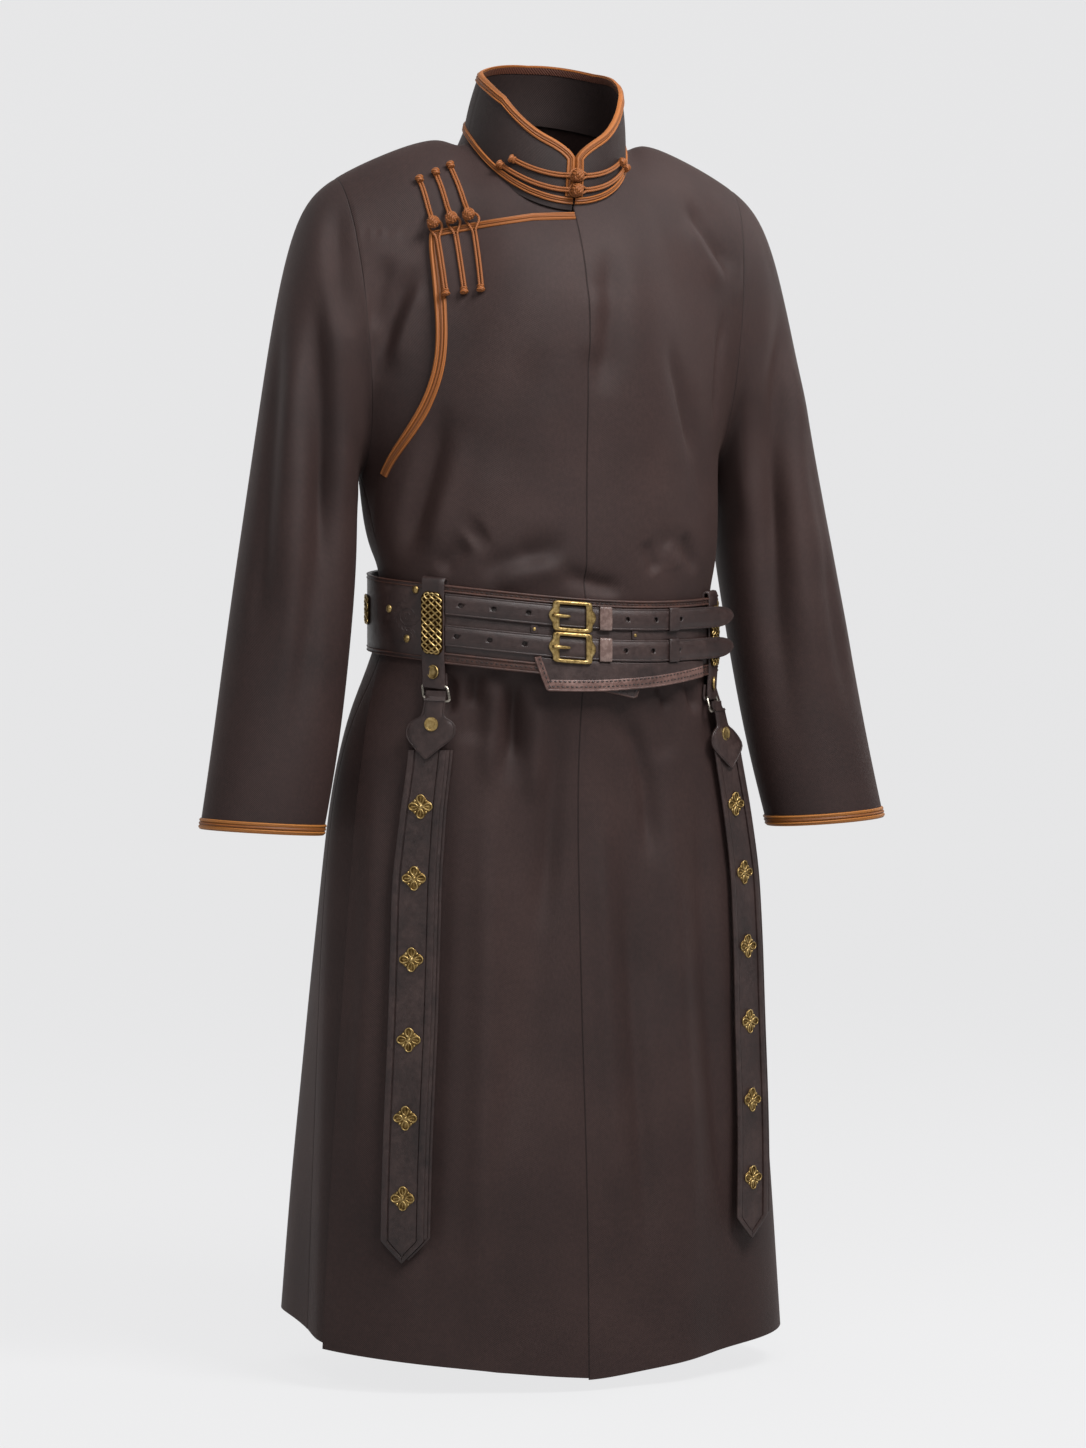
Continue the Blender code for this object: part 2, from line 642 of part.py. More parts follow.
# the collar's height by angle from the centre front
COLLAR_RISE = [(0, 0.0585), (30, 0.0640), (60, 0.0715), (90, 0.0610), (120, 0.0565), (180, 0.0530)]
COLLAR_WALL = 0.0024
COLLAR_LEAN = 0.010
COLLAR_FORWARD = 0.005
COLLAR_SIDEWAYS = 0.0045   # its edge stands this much nearer the wearer's left than its foot
CORNER_WIDTH = 0.030
CORNER_DROP = 0.016
COLLAR_ROWS = 5
COLLAR_ANGLES = [0.5, 3, 6.5, 11, 16, 22, 30, 40, 52, 65, 80, 95, 110, 125, 140, 155, 170]
COLLAR_FOOT = 0.0005


def collar_height(angle):
    """The collar's height before its front corners are rounded."""
    turn = min(angle % 360, 360 - angle % 360)
    return float(np.interp(turn, [a for a, _ in COLLAR_RISE], [h for _, h in COLLAR_RISE]))


def collar_limit(angle):
    """The collar's height, which rounds down to its front ends."""
    along = math.radians(min(angle % 360, 360 - angle % 360)) * NECK_HALF_WIDTH
    share = max(1 - along / CORNER_WIDTH, 0)
    return collar_height(angle) - CORNER_DROP * (1 - math.sqrt(1 - share * share))


def collar_point(neck, angle, height, lift=0.0):
    foot = neck(angle)
    centre = np.array([0, NECK_CENTRE_Y])
    away = foot[:2] - centre
    radius = np.linalg.norm(away)
    way = away / radius
    share = height / collar_height(angle)
    swell = 0.0015 * math.sin(math.pi * min(share, 1))
    flat = centre + way * (radius - 0.0003 - COLLAR_LEAN * share + swell + lift)
    return Vector((flat[0] + COLLAR_SIDEWAYS * share, flat[1] - COLLAR_FORWARD * share,
                   foot[2] + COLLAR_FOOT + height))


def collar_angles():
    return COLLAR_ANGLES + [360 - a for a in reversed(COLLAR_ANGLES)]


def make_collar(neck):
    rows = []
    for j in range(COLLAR_ROWS + 1):
        rows.append([collar_point(neck, a, collar_limit(a) * j / COLLAR_ROWS) for a in collar_angles()])
    sheet("collar", rows, COLLAR_WALL, "cloth", axis=(0, NECK_CENTRE_Y), outwards=False)


TAPE_WALL = 0.0014
RIM_TAPE = 0.0075
NECK_TAPE = 0.0080
WRAP_TAPE = 0.0090
CUFF_TAPE = 0.0100
TAPE_LIFT = 0.0005
WRAP_TAPE_LIFT = 0.0012
CUFF_TAPE_LIFT = 0.0012
CUFF_STEPS = 24
WRAP_REACH = 0.14       # the wrap's usual distance from the body's axis, which turns angles into lengths


def make_collar_tapes(neck):
    """One tape round the collar's edge, one along its foot."""
    outer, inner = [], []
    edge = [(0.5, NECK_TAPE + 0.0008), (0.5, 0.015), (0.5, 0.021)]
    for angle in COLLAR_ANGLES:
        edge.append((angle, collar_limit(angle)))
    full = edge + [(360 - a, h) for a, h in reversed(edge)]
    metric = np.array([[math.radians(a) * NECK_HALF_WIDTH, h] for a, h in full])
    for k, (angle, height) in enumerate(full):
        before, after = metric[max(k - 1, 0)], metric[min(k + 1, len(full) - 1)]
        along = (after - before) / np.linalg.norm(after - before)
        across = np.array([along[1], -along[0]])
        inside = metric[k] + across * RIM_TAPE
        outer.append(collar_point(neck, angle, height, TAPE_LIFT))
        inner.append(collar_point(neck, math.degrees(inside[0] / NECK_HALF_WIDTH), inside[1], TAPE_LIFT))
    sheet("trim_collar", [inner, outer], TAPE_WALL, "tape", axis=(0, NECK_CENTRE_Y))
    rows = [[collar_point(neck, a, h, TAPE_LIFT) for a in collar_angles()] for h in (0.0018, NECK_TAPE)]
    sheet("trim_neck", rows, TAPE_WALL, "tape", axis=(0, NECK_CENTRE_Y))


def wrap_outline():
    """The wrap's edge as (angle, z) from the centre front to the underarm."""
    top = [(angle, float(wrap_top_z(angle))) for angle in (-1.2, -12, -24, -38, -51, -60)]
    side = [(float(wrap_edge_angle(z)), z) for z in
            (-0.099, -0.115, -0.137, -0.157, -0.177, -0.195, -0.213, -0.233, -0.252, -0.270, -0.286,
             -0.301, -0.316, -0.331)]
    return top + side


def make_wrap_tape(skin):
    path = wrap_outline()
    flat = np.array([[math.radians(a) * WRAP_REACH, z] for a, z in path])
    outer, inner = [], []
    for k, (angle, z) in enumerate(path):
        before = flat[k] - flat[max(k - 1, 0)]
        after = flat[min(k + 1, len(flat) - 1)] - flat[k]
        legs = [leg / np.linalg.norm(leg) for leg in (before, after) if np.linalg.norm(leg) > 0]
        normals = [np.array([-leg[1], leg[0]]) for leg in legs]
        mitre = sum(normals) / len(normals)
        mitre /= mitre @ mitre
        inside = flat[k] + mitre * WRAP_TAPE
        outer.append(skin.around(angle, z - 0.0004, WRAP_TAPE_LIFT))
        inner.append(skin.around(math.degrees(inside[0] / WRAP_REACH), inside[1], WRAP_TAPE_LIFT))
    sheet("trim_overlap", [outer, inner], TAPE_WALL, "tape")


def make_cuff_tape(name, skin, side):
    """A ring round the sleeve's end."""
    last, before = ARM[-1], ARM[-2]
    end = Vector(((last.outer_x + last.inner_x) / 2 * side + ARMS_SHIFT, last.middle_y,
                  (last.outer_z + last.inner_z) / 2))
    up = Vector(((before.outer_x + before.inner_x) / 2 * side, before.middle_y,
                 (before.outer_z + before.inner_z) / 2)) - end
    up.normalize()
    slope = Vector((last.outer_x - last.inner_x, 0, last.outer_z - last.inner_z)).normalized()
    slope.x *= side
    depth = Vector((0, -1, 0))
    rows = []
    for height in (0.0012, CUFF_TAPE):
        row = []
        for step in range(CUFF_STEPS):
            turn = 2 * math.pi * step / CUFF_STEPS
            way = slope * math.cos(turn) + depth * math.sin(turn)
            place, _ = skin.cast(end + up * height, way)
            row.append(place + way * CUFF_TAPE_LIFT)
        rows.append(row)
    sheet(name, rows, TAPE_WALL, "tape", closed=True, axis=(end.x, end.y))


# ---------------------------------------------------------------- frogs
CORD = 0.0023
KNOB = 0.0042
KNOT = 0.0060
# the three chest frogs: knob, ball button and lower knob as seen from the front, and how far the loop
# half runs over the wrap's tape
ChestFrog = namedtuple("ChestFrog", "top_x top_z ball_x ball_z foot_x foot_z taped")
CHEST_FROGS = [
    ChestFrog(-0.140, -0.048, -0.1325, -0.0945, -0.128, -0.160, 0.090),
    ChestFrog(-0.124, -0.041, -0.1155, -0.0905, -0.112, -0.158, 0.020),
    ChestFrog(-0.109, -0.034, -0.0985, -0.0875, -0.098, -0.156, 0.020),
]
# the two collar frogs: the height of their ball and of the knobs at each side, and the knobs' angle
CollarFrog = namedtuple("CollarFrog", "ball_height knob_height knob_angle")
COLLAR_FROGS = [CollarFrog(0.0300, 0.0250, 44.0), CollarFrog(0.0155, 0.0125, 52.0)]
FROG_GAP = 0.0007
FROG_OVER_TAPE = WRAP_TAPE_LIFT + TAPE_WALL + FROG_GAP
FROG_OVER_EDGE = 0.0085     # a chest frog's button half is over the tape up to here along its length
COLLAR_TAPE_ANGLES = (5.8, 8.5)     # a collar frog comes down off the rim's tape between these


def frog_radii(count, ball, knob):
    """Radii from the ball to the knob at the far end."""
    return [ball * 0.55, ball, ball * 0.6] + [CORD] * (count - 6) + [CORD, knob, knob * 0.5]


def make_chest_frogs(skin, under):
    """The button half is sewn to the yoke above the wrap, the loop half to the wrap."""
    for number, frog in enumerate(CHEST_FROGS, 1):
        ball = Vector((frog.ball_x, frog.ball_z))
        for part, far_x, far_z, start in (("button", frog.top_x, frog.top_z, -0.0040),
                                          ("loop", frog.foot_x, frog.foot_z, 0.0078)):
            far = Vector((far_x, far_z))
            way = (far - ball).normalized()
            length = (far - ball).length
            size = KNOT if part == "button" else KNOT * 0.75
            places = [start, start + 0.004, start + 0.009, start + 0.012]
            places += [start + 0.012 + (length - start - 0.022) * k / 4 for k in range(1, 5)]
            places += [length - 0.0045, length, length + 0.0035]
            radii = frog_radii(len(places), size, KNOB)
            points = []
            for along, radius in zip(places, radii):
                spot = ball + way * along
                if part == "button" and along > FROG_OVER_EDGE:
                    points.append(under.seen(spot.x, spot.y, "front", FROG_GAP + radius))
                elif part == "loop" and along > frog.taped:
                    points.append(skin.seen(spot.x, spot.y, "front", FROG_GAP + radius))
                else:
                    points.append(skin.seen(spot.x, spot.y, "front", FROG_OVER_TAPE + radius))
            tube(f"frog_chest_{number}_{part}", points, radii, "tape")


def make_collar_frogs(neck):
    for number, frog in enumerate(COLLAR_FROGS, 1):
        for part, sign, start in (("button", -1, -2.5), ("loop", 1, 7.5)):
            size = KNOT if part == "button" else KNOT * 0.75
            turns = [start, start + 3, start + 6.5, start + 9]
            turns += [start + 9 + (frog.knob_angle - start - 16) * k / 4 for k in range(1, 5)]
            turns += [frog.knob_angle - 3.5, frog.knob_angle, frog.knob_angle + 2.5]
            radii = frog_radii(len(turns), size, KNOB)
            points = []
            for turn, radius in zip(turns, radii):
                share = max(turn, 0) / frog.knob_angle
                height = frog.ball_height + (frog.knob_height - frog.ball_height) * share
                over = TAPE_LIFT + TAPE_WALL + FROG_GAP
                rest = np.interp(turn, COLLAR_TAPE_ANGLES, (over, FROG_GAP))
                points.append(collar_point(neck, sign * turn, height, float(rest) + radius))
            tube(f"frog_collar_{number}_{part}", points, radii, "tape")


# ---------------------------------------------------------------- belt
BELT_WALL = 0.0040
BELT_LIFT = 0.0014
BELT_STEPS = 48
STRAP_WALL = 0.0022
PLY_GAP = 0.0004


class BeltBand:
    """The belt's outer face: a point at an angle, and a height from the belt's middle line."""

    def __init__(self, skin):
        self.angles = [360 * k / BELT_STEPS for k in range(BELT_STEPS)]
        self.radii = []
        for angle in self.angles:
            middle = belt_middle(angle)
            reach = 0.0
            for k in range(-4, 5):
                point = skin.around(angle, middle + k * BELT_HEIGHT / 8)
                reach = max(reach, math.hypot(point.x, point.y))
            self.radii.append(reach)

    def point(self, angle, height, lift=0.0):
        """Lift counts from the cloth; the belt's outer face is at BELT_LIFT + BELT_WALL."""
        radius = np.interp(angle % 360, self.angles + [360], self.radii + self.radii[:1]) + lift
        turn = math.radians(angle)
        return Vector((radius * math.sin(turn), -radius * math.cos(turn), belt_middle(angle) + height))

    def on(self, angle, height, ply=0.0):
        return self.point(angle, height, BELT_LIFT + BELT_WALL + ply)


def make_belt(band):
    rows = [[band.point(a, h, BELT_LIFT) for a in band.angles]
            for h in (-BELT_HEIGHT / 2, 0, BELT_HEIGHT / 2)]
    sheet("belt", rows, BELT_WALL, "leather", closed=True)


def belt_ribbon(name, band, stations, ply, wall=STRAP_WALL, finish="leather"):
    """A strap along the belt; each station is (angle, low height, high height), ply(angle) its lift."""
    rows = [[band.on(a, low, ply(a)) for a, low, high in stations],
            [band.on(a, high, ply(a)) for a, low, high in stations]]
    return sheet(name, rows, wall, finish)


BILLET_HALF = 0.0105
Billet = namedtuple("Billet", "name height")
BILLETS = [Billet("upper", 0.0200), Billet("lower", -0.0105)]
BILLET_START = -54.2
BILLET_TIP = 75.5
BILLET_TAPER = 9.0
BUCKLE_ANGLE = -6.7      # the middle of both buckles
BUCKLE_HALF = (0.0215, 0.0148)
WINDOW_HALF = (0.0135, 0.0105)
BELT_RADIUS = 0.135     # the belt's radius at the front, which turns lengths into angles
KEEPER_ANGLES = (7.6, 39.5)
KEEPER_HALF_ANGLE = (2.6, 2.0)
STRAP_PLY = STRAP_WALL + PLY_GAP
BILLET_CLIMB = (52.0, 60.6)     # between these angles a billet climbs onto the left hanger's plaque
KEEPER_WALL = 0.0016
KEEPER_OVER = 0.0012    # it is this much wider than its strap at each side
BUCKLE_WALL = 0.0034
PRONG = 0.0016


def belt_stops(start, end):
    """Angles from start to end that pass through the belt's own corners, so that plies lie flat on it."""
    step = 360 / BELT_STEPS
    first, last = math.floor(start / step) + 1, math.ceil(end / step) - 1
    inner = [k * step for k in range(first, last + 1) if start + 0.5 < k * step < end - 0.5]
    return [start] + inner + [end]


def belt_angle(length):
    return math.degrees(length / BELT_RADIUS)


def billet_ply(angle):
    over_plaque = HANGER_WALL + KNOT_PLATE_WALL + 3 * PLY_GAP
    return float(np.interp(angle, BILLET_CLIMB, (PLY_GAP, over_plaque)))


def make_billets(band):
    for billet in BILLETS:
        stations = []
        flat = belt_stops(BILLET_START, BILLET_CLIMB[0])
        for angle in flat + [BILLET_CLIMB[1], BILLET_TIP - BILLET_TAPER]:
            stations.append((angle, billet.height - BILLET_HALF, billet.height + BILLET_HALF))
        for share in (0.5, 0.85, 1.0):
            half = BILLET_HALF * (1 - share * share * 0.9)
            angle = BILLET_TIP - BILLET_TAPER * (1 - share)
            stations.append((angle, billet.height - half, billet.height + half))
        belt_ribbon(f"billet_{billet.name}", band, stations, billet_ply)
        for number, (middle, half) in enumerate(zip(KEEPER_ANGLES, KEEPER_HALF_ANGLE), 1):
            reach = BILLET_HALF + KEEPER_OVER
            keeper = [(middle + half * side, billet.height - reach, billet.height + reach)
                      for side in (-1, 0, 1)]
            belt_ribbon(f"keeper_{billet.name}_{number}", band, keeper,
                        lambda _: STRAP_PLY + 1.5 * PLY_GAP, KEEPER_WALL)


def make_buckles(band):
    """A brass frame round each billet, with a window; its prong is a piece of its own."""
    for billet in BILLETS:
        loops = []
        for half_x, half_z in (WINDOW_HALF, BUCKLE_HALF):
            loop = []
            corners = [(-1, -1), (-0.35, -1), (0.35, -1), (1, -1), (1, 0), (1, 1), (0.35, 1), (-0.35, 1),
                       (-1, 1), (-1, 0)]
            for x, z in corners:
                turn = BUCKLE_ANGLE + belt_angle(x * half_x)
                loop.append(band.on(turn, billet.height + z * half_z, STRAP_PLY + PLY_GAP))
            loops.append(loop)
        sheet(f"buckle_{billet.name}", loops, BUCKLE_WALL, "brass", closed=True)
        prong = []
        for x in (-0.0125, -0.006, 0.001, 0.004):
            turn = BUCKLE_ANGLE + belt_angle(x)
            prong.append(band.on(turn, billet.height, STRAP_PLY + PLY_GAP + 1.2 * PRONG))
        tube(f"prong_{billet.name}", prong, [PRONG, PRONG, 0.9 * PRONG, 0.6 * PRONG], "brass")


FLAP_WALL = 0.0020
FLAP_START = -21.5
FLAP_POINT = -17.0
FLAP_END = 57.0
# the pointed end's lower edge, by angle
FlapEdge = namedtuple("FlapEdge", "angle height")
FLAP_EDGE = [FlapEdge(-17, -0.0530), FlapEdge(4, -0.0500), FlapEdge(32, -0.0445), FlapEdge(57, -0.0378)]
FLAP_TOP = -0.0222


def make_flap(band):
    """The belt's pointed outer end, which hangs below the belt's lower edge."""
    stations = [(FLAP_START, FLAP_TOP - 0.0030, FLAP_TOP)]
    for angle in belt_stops(FLAP_POINT, FLAP_END):
        low = np.interp(angle, [e.angle for e in FLAP_EDGE], [e.height for e in FLAP_EDGE])
        stations.append((angle, float(low), FLAP_TOP))
    belt_ribbon("belt_flap_outer", band, stations, lambda _: PLY_GAP, FLAP_WALL)


# the other end's tip, by angle and height
UNDER_END = [(9.0, -0.0520), (15.0, -0.0538), (21.0, -0.0560), (23.5, -0.0500)]
UNDER_END_LIFT = BELT_LIFT + 0.0010
UNDER_END_WALL = 0.0025
UNDER_END_CLEAR = 0.0006


def make_under_end(band):
    """The tip of the belt's other end, which shows below the pointed end."""
    top = -BELT_HEIGHT / 2 - UNDER_END_CLEAR
    rows = [[band.point(a, h, UNDER_END_LIFT) for a, h in UNDER_END],
            [band.point(a, top, UNDER_END_LIFT) for a, _ in UNDER_END]]
    sheet("belt_flap_inner", rows, UNDER_END_WALL, "leather")


# ---------------------------------------------------------------- hangers and hanging straps
BELT_SIDE_RADIUS = 0.155
HANGER_HALF = 0.0105
HANGER_WALL = 0.0024
HANGER_OVER = 0.0045    # the loop rises this much over the belt's upper edge
HANGER_UNDER = 0.0220   # and hangs this much below its lower one
KNOT_PLATE_HALF = 0.0300
KNOT_PLATE_WALL = 0.0030
RING_HALF = 0.0150
RING_WIRE = 0.0015
RING_CLEAR = 0.0004
RING_DROP = 0.0130
TAB_LIFT = 0.0078
TAB_WALL = 0.0024
Hanger = namedtuple("Hanger", "name angle")
HANGERS = [Hanger("right", -58.5), Hanger("left", 65.5)]
HEART_ROWS = [      # distance below the ring's lower bar, half width
    (0.0000, 0.0115), (0.0100, 0.0120), (0.0160, 0.0135), (0.0215, 0.0215), (0.0300, 0.0250),
    (0.0380, 0.0230), (0.0460, 0.0150), (0.0520, 0.0085), (0.0570, 0.0030),
]
STRAP_HALF = 0.0215
BACKING_SHIFT = 0.0060
StrapLine = namedtuple("StrapLine", "z angle")
STRAP_LINES = {
    "right": [StrapLine(-0.600, -61.5), StrapLine(-0.660, -63.5), StrapLine(-0.730, -64.5),
              StrapLine(-0.900, -63.5), StrapLine(-1.105, -62.5)],
    "left": [StrapLine(-0.600, 70.0), StrapLine(-0.660, 73.0), StrapLine(-0.730, 75.0),
             StrapLine(-0.810, 74.0), StrapLine(-0.960, 70.5), StrapLine(-1.105, 66.0)],
}
STRAP_TIP = {"right": -1.103, "left": -1.096}
STRAP_POINT = 0.022     # the length of the pointed tip
STRAP_LEVELS = 12
BACKING_SHORT = 0.003
STRAP_TOP = -0.604
ACROSS = (-1, -0.5, 0, 0.5, 1)
BACKING_LIFT = 0.0016
FRONT_LIFT = 0.0046
STRAP_LEAF = 0.0022
STUD_HEIGHTS = {
    "right": (-0.659, -0.729, -0.808, -0.886, -0.962, -1.040),
    "left": (-0.663, -0.732, -0.806, -0.881, -0.959, -1.036),
}


def strap_angle(side, z):
    line = sorted(STRAP_LINES[side])
    return float(np.interp(z, [s.z for s in line], [s.angle for s in line]))


PROBE_ANGLE = 4.0       # how far apart the surface is felt for its slope
PROBE_HEIGHT = 0.012
TAB_TURN = (-0.545, -0.615)     # the tab turns from the hanger's angle to the strap's between these
STUD_HALF = 0.0125
STUD_TOP_HALF = 0.0085
STUD_DEPTH = 0.0032
STUD_GAP = 0.0005


def furthest(skins, angle, z):
    return max((skin.around(angle, z) for skin in skins), key=lambda spot: math.hypot(spot.x, spot.y))


def outermost(skins, angle, z, lift):
    """The point at this angle and height on whichever surface stands further out, lifted off it."""
    across = furthest(skins, angle + PROBE_ANGLE, z) - furthest(skins, angle - PROBE_ANGLE, z)
    upward = furthest(skins, angle, z + PROBE_HEIGHT) - furthest(skins, angle, z - PROBE_HEIGHT)
    return furthest(skins, angle, z) + across.cross(upward).normalized() * lift


def hung_point(skins, side, z, across, lift):
    """A point of a hanging strap: across runs towards the wearer's left."""
    angle = strap_angle(side, z)
    middle = outermost(skins, angle, z, 0)
    spread = math.degrees(across / math.hypot(middle.x, middle.y))
    return outermost(skins, angle + spread, z, lift)


def make_strap(skins, side):
    """The front layer of a hanging strap, and the backing that shows beside it."""
    tip = STRAP_TIP[side]
    shoulder = tip + STRAP_POINT
    levels = [STRAP_TOP + (shoulder - STRAP_TOP) * k / STRAP_LEVELS for k in range(STRAP_LEVELS + 1)]
    for name, move, lift, end in (("strap_backing", BACKING_SHIFT, BACKING_LIFT, tip + BACKING_SHORT),
                                  ("strap", 0.0, FRONT_LIFT, tip)):
        spots = [(z, STRAP_HALF) for z in levels]
        spots += [(end + STRAP_POINT / 2, STRAP_HALF * 0.52), (end, STRAP_HALF * 0.04)]
        rows = [[hung_point(skins, side, z, move + half * a, lift) for a in ACROSS] for z, half in spots]
        sheet(f"{name}_{side}", rows, STRAP_LEAF, "leather")


def make_hanger(band, skins, hanger):
    """The loop over the belt, its knotwork plaque, and the points of the ring in the loop's end."""
    low = -BELT_HEIGHT / 2 - HANGER_UNDER
    high = BELT_HEIGHT / 2 + HANGER_OVER
    ply = PLY_GAP
    spread = math.degrees(HANGER_HALF / BELT_SIDE_RADIUS)
    columns = belt_stops(hanger.angle - spread, hanger.angle + spread)
    rows = [[band.on(a, h, ply) for a in columns]
            for h in (low, -BELT_HEIGHT / 2, 0, BELT_HEIGHT / 2, high)]
    sheet(f"hanger_loop_{hanger.name}", rows, HANGER_WALL, "leather")
    inner = belt_stops(columns[0] + 0.2, columns[-1] - 0.2)
    knot = [[band.on(a, h, ply + HANGER_WALL + PLY_GAP) for a in inner]
            for h in (-KNOT_PLATE_HALF, 0, KNOT_PLATE_HALF)]
    sheet(f"knot_{hanger.name}", knot, KNOT_PLATE_WALL, "brass")
    drop = low - RING_WIRE - RING_CLEAR
    wide = math.degrees(RING_HALF / BELT_SIDE_RADIUS)
    loop = [band.on(hanger.angle + wide * x, drop, ply + HANGER_WALL / 2) for x in (1, 0, -1)]
    bottom = belt_middle(hanger.angle) + drop - RING_DROP
    loop += [outermost(skins, hanger.angle + wide * x, bottom, TAB_LIFT + TAB_WALL / 2) for x in (-1, 0, 1)]
    return loop, bottom


def ring_from(name, loop, finish):
    curve = bpy.data.curves.new(name, "CURVE")
    curve.dimensions = "3D"
    curve.bevel_depth = RING_WIRE
    curve.bevel_resolution = 1
    spline = curve.splines.new("POLY")
    spline.points.add(len(loop) - 1)
    for point, place in zip(spline.points, loop):
        point.co = (*place, 1)
    spline.use_cyclic_u = True
    return place_object(name, curve, finish)


def make_tab(skins, hanger, top):
    """The heart-shaped tab that hangs from the ring and holds the strap."""
    rows = []
    for drop, half in HEART_ROWS:
        z = top - RING_WIRE - RING_CLEAR - drop
        rows.append([hung_tab_point(skins, hanger, z, half * a) for a in ACROSS])
    sheet(f"tab_{hanger.name}", rows, TAB_WALL, "leather")


def hung_tab_point(skins, hanger, z, across):
    share = min(max((z - TAB_TURN[0]) / (TAB_TURN[1] - TAB_TURN[0]), 0), 1)
    angle = hanger.angle + (strap_angle(hanger.name, TAB_TURN[1]) - hanger.angle) * share
    middle = outermost(skins, angle, z, 0)
    spread = math.degrees(across / math.hypot(middle.x, middle.y))
    return outermost(skins, angle + spread, z, TAB_LIFT)


def make_studs(skins, side):
    for number, z in enumerate(STUD_HEIGHTS[side], 1):
        base = hung_point(skins, side, z, 0, FRONT_LIFT + STRAP_LEAF + STUD_GAP)
        out = (hung_point(skins, side, z, 0, 2 * FRONT_LIFT + STRAP_LEAF) - base).normalized()
        bm = bmesh.new()
        bmesh.ops.create_cone(bm, cap_ends=True, segments=4, radius1=STUD_HALF, radius2=STUD_TOP_HALF,
                              depth=STUD_DEPTH)
        mesh = bpy.data.meshes.new("stud")
        bm.to_mesh(mesh)
        bm.free()
        obj = place_object(f"stud_{side}_{number}", mesh, "brass")
        obj.rotation_euler = out.to_track_quat("Z", "Y").to_euler()
        obj.location = base + out * (STUD_DEPTH / 2)


def main():
    global PARTS
    for obj in list(bpy.data.objects):
        bpy.data.objects.remove(obj)
    PARTS = bpy.data.collections.new("mongolian_deel")
    bpy.context.scene.collection.children.link(PARTS)
    mesh = subdivided(robe_cage(), SUBDIVISION)
    points, normals, faces, tags = mesh_arrays(mesh)
    body = ("front_left", "front_under", "back")
    smooth = skin_of(points, faces, tags, body)
    points = creased(points, normals, faces, tags)
    skin = skin_of(points, faces, tags, body)
    arms = skin_of(points, faces, tags, ("sleeve_left", "sleeve_right"))
    sunk = recessed(points, normals)
    angles = body_angles(points)
    keep = [PANELS[t] != "front_under" or np.max(angles[f]) < UNDER_STOP_ANGLE
            or np.mean(points[f, 2]) > UNDER_STOP_Z for f, t in zip(faces, tags)]
    kept_faces = [f for f, k in zip(faces, keep) if k]
    kept_tags = [t for t, k in zip(tags, keep) if k]
    for name in PANELS:
        shaped = points if name in ("front_left", "sleeve_left", "sleeve_right") else sunk
        panel(name, shaped, normals, kept_faces, kept_tags)
    sheet("front_overlap", wrap_rows(skin), CLOTH, "cloth", outwards=False)
    neck = neck_loop(points, faces)
    make_collar(neck)
    make_collar_tapes(neck)
    make_wrap_tape(skin)
    make_cuff_tape("trim_cuff_left", arms, 1)
    make_cuff_tape("trim_cuff_right", arms, -1)
    make_chest_frogs(skin, skin_of(sunk, faces, tags, ("front_under", "sleeve_right")))
    make_collar_frogs(neck)
    band = BeltBand(skin)
    make_belt(band)
    make_billets(band)
    make_buckles(band)
    make_flap(band)
    make_under_end(band)
    skins = (smooth, skin)
    for hanger in HANGERS:
        loop, tab_top = make_hanger(band, skins, hanger)
        ring_from(f"ring_{hanger.name}", loop, "steel")
        make_tab(skins, hanger, tab_top)
        make_strap(skins, hanger.name)
        make_studs(skins, hanger.name)


PARTS = None
main()
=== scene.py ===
# %% [markdown]
# # A Mongolian deel with its belt
#
# The real robe is a long wrap-front coat in dark brown suiting. It has a stand collar, wide plain
# sleeves and an overlapping front that is closed by corded frogs, and its edges are bound with braid.
# A wide leather belt with two buckled straps holds it at the waist, and two studded straps hang from
# the belt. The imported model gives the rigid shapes. This notebook dresses them: it makes finer cloth
# on the same cutting tables, and it makes braid, cord, leather and cast brass with their real detail.

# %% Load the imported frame
import math
from collections import namedtuple

import bmesh
import bpy
import numpy as np
from mathutils import Matrix, Vector
from mathutils.bvhtree import BVHTree
from mathutils.kdtree import KDTree


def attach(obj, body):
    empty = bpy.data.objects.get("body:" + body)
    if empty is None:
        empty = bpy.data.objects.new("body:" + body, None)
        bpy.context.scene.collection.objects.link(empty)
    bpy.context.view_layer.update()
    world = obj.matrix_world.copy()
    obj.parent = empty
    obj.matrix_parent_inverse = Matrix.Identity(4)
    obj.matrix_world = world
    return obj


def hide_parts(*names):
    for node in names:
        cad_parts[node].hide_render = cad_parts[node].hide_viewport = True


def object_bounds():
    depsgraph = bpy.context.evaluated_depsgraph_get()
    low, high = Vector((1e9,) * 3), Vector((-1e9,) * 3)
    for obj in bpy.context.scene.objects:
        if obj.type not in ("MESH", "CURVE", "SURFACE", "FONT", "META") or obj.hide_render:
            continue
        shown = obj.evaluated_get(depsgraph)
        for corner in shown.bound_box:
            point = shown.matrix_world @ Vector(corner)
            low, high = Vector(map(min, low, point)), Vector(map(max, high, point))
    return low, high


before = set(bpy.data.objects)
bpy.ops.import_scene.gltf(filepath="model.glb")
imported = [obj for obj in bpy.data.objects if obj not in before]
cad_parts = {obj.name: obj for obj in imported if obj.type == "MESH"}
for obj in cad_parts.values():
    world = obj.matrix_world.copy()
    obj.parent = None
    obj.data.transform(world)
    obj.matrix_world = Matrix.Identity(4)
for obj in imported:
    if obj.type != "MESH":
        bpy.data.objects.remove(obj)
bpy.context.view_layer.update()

# %% [markdown]
# ## Camera, floor and light
#
# The robe is looked at from a little to the wearer's right, almost level, through a long lens. A pale
# floor runs into a pale backdrop, and large soft lights stand at the front, so that the folds are
# shaded gently and the brass still finds something bright to mirror.

# %% Camera
CAMERA_AZIMUTH = -20.0
CAMERA_ELEVATION = 2.0
CAMERA_DISTANCE = 5.0
CAMERA_TARGET = Vector((0.003, 0.0, -0.583))
FRAME_HEIGHT = 1448
FOCAL_PIXELS = 5000.0
SENSOR = 36.0


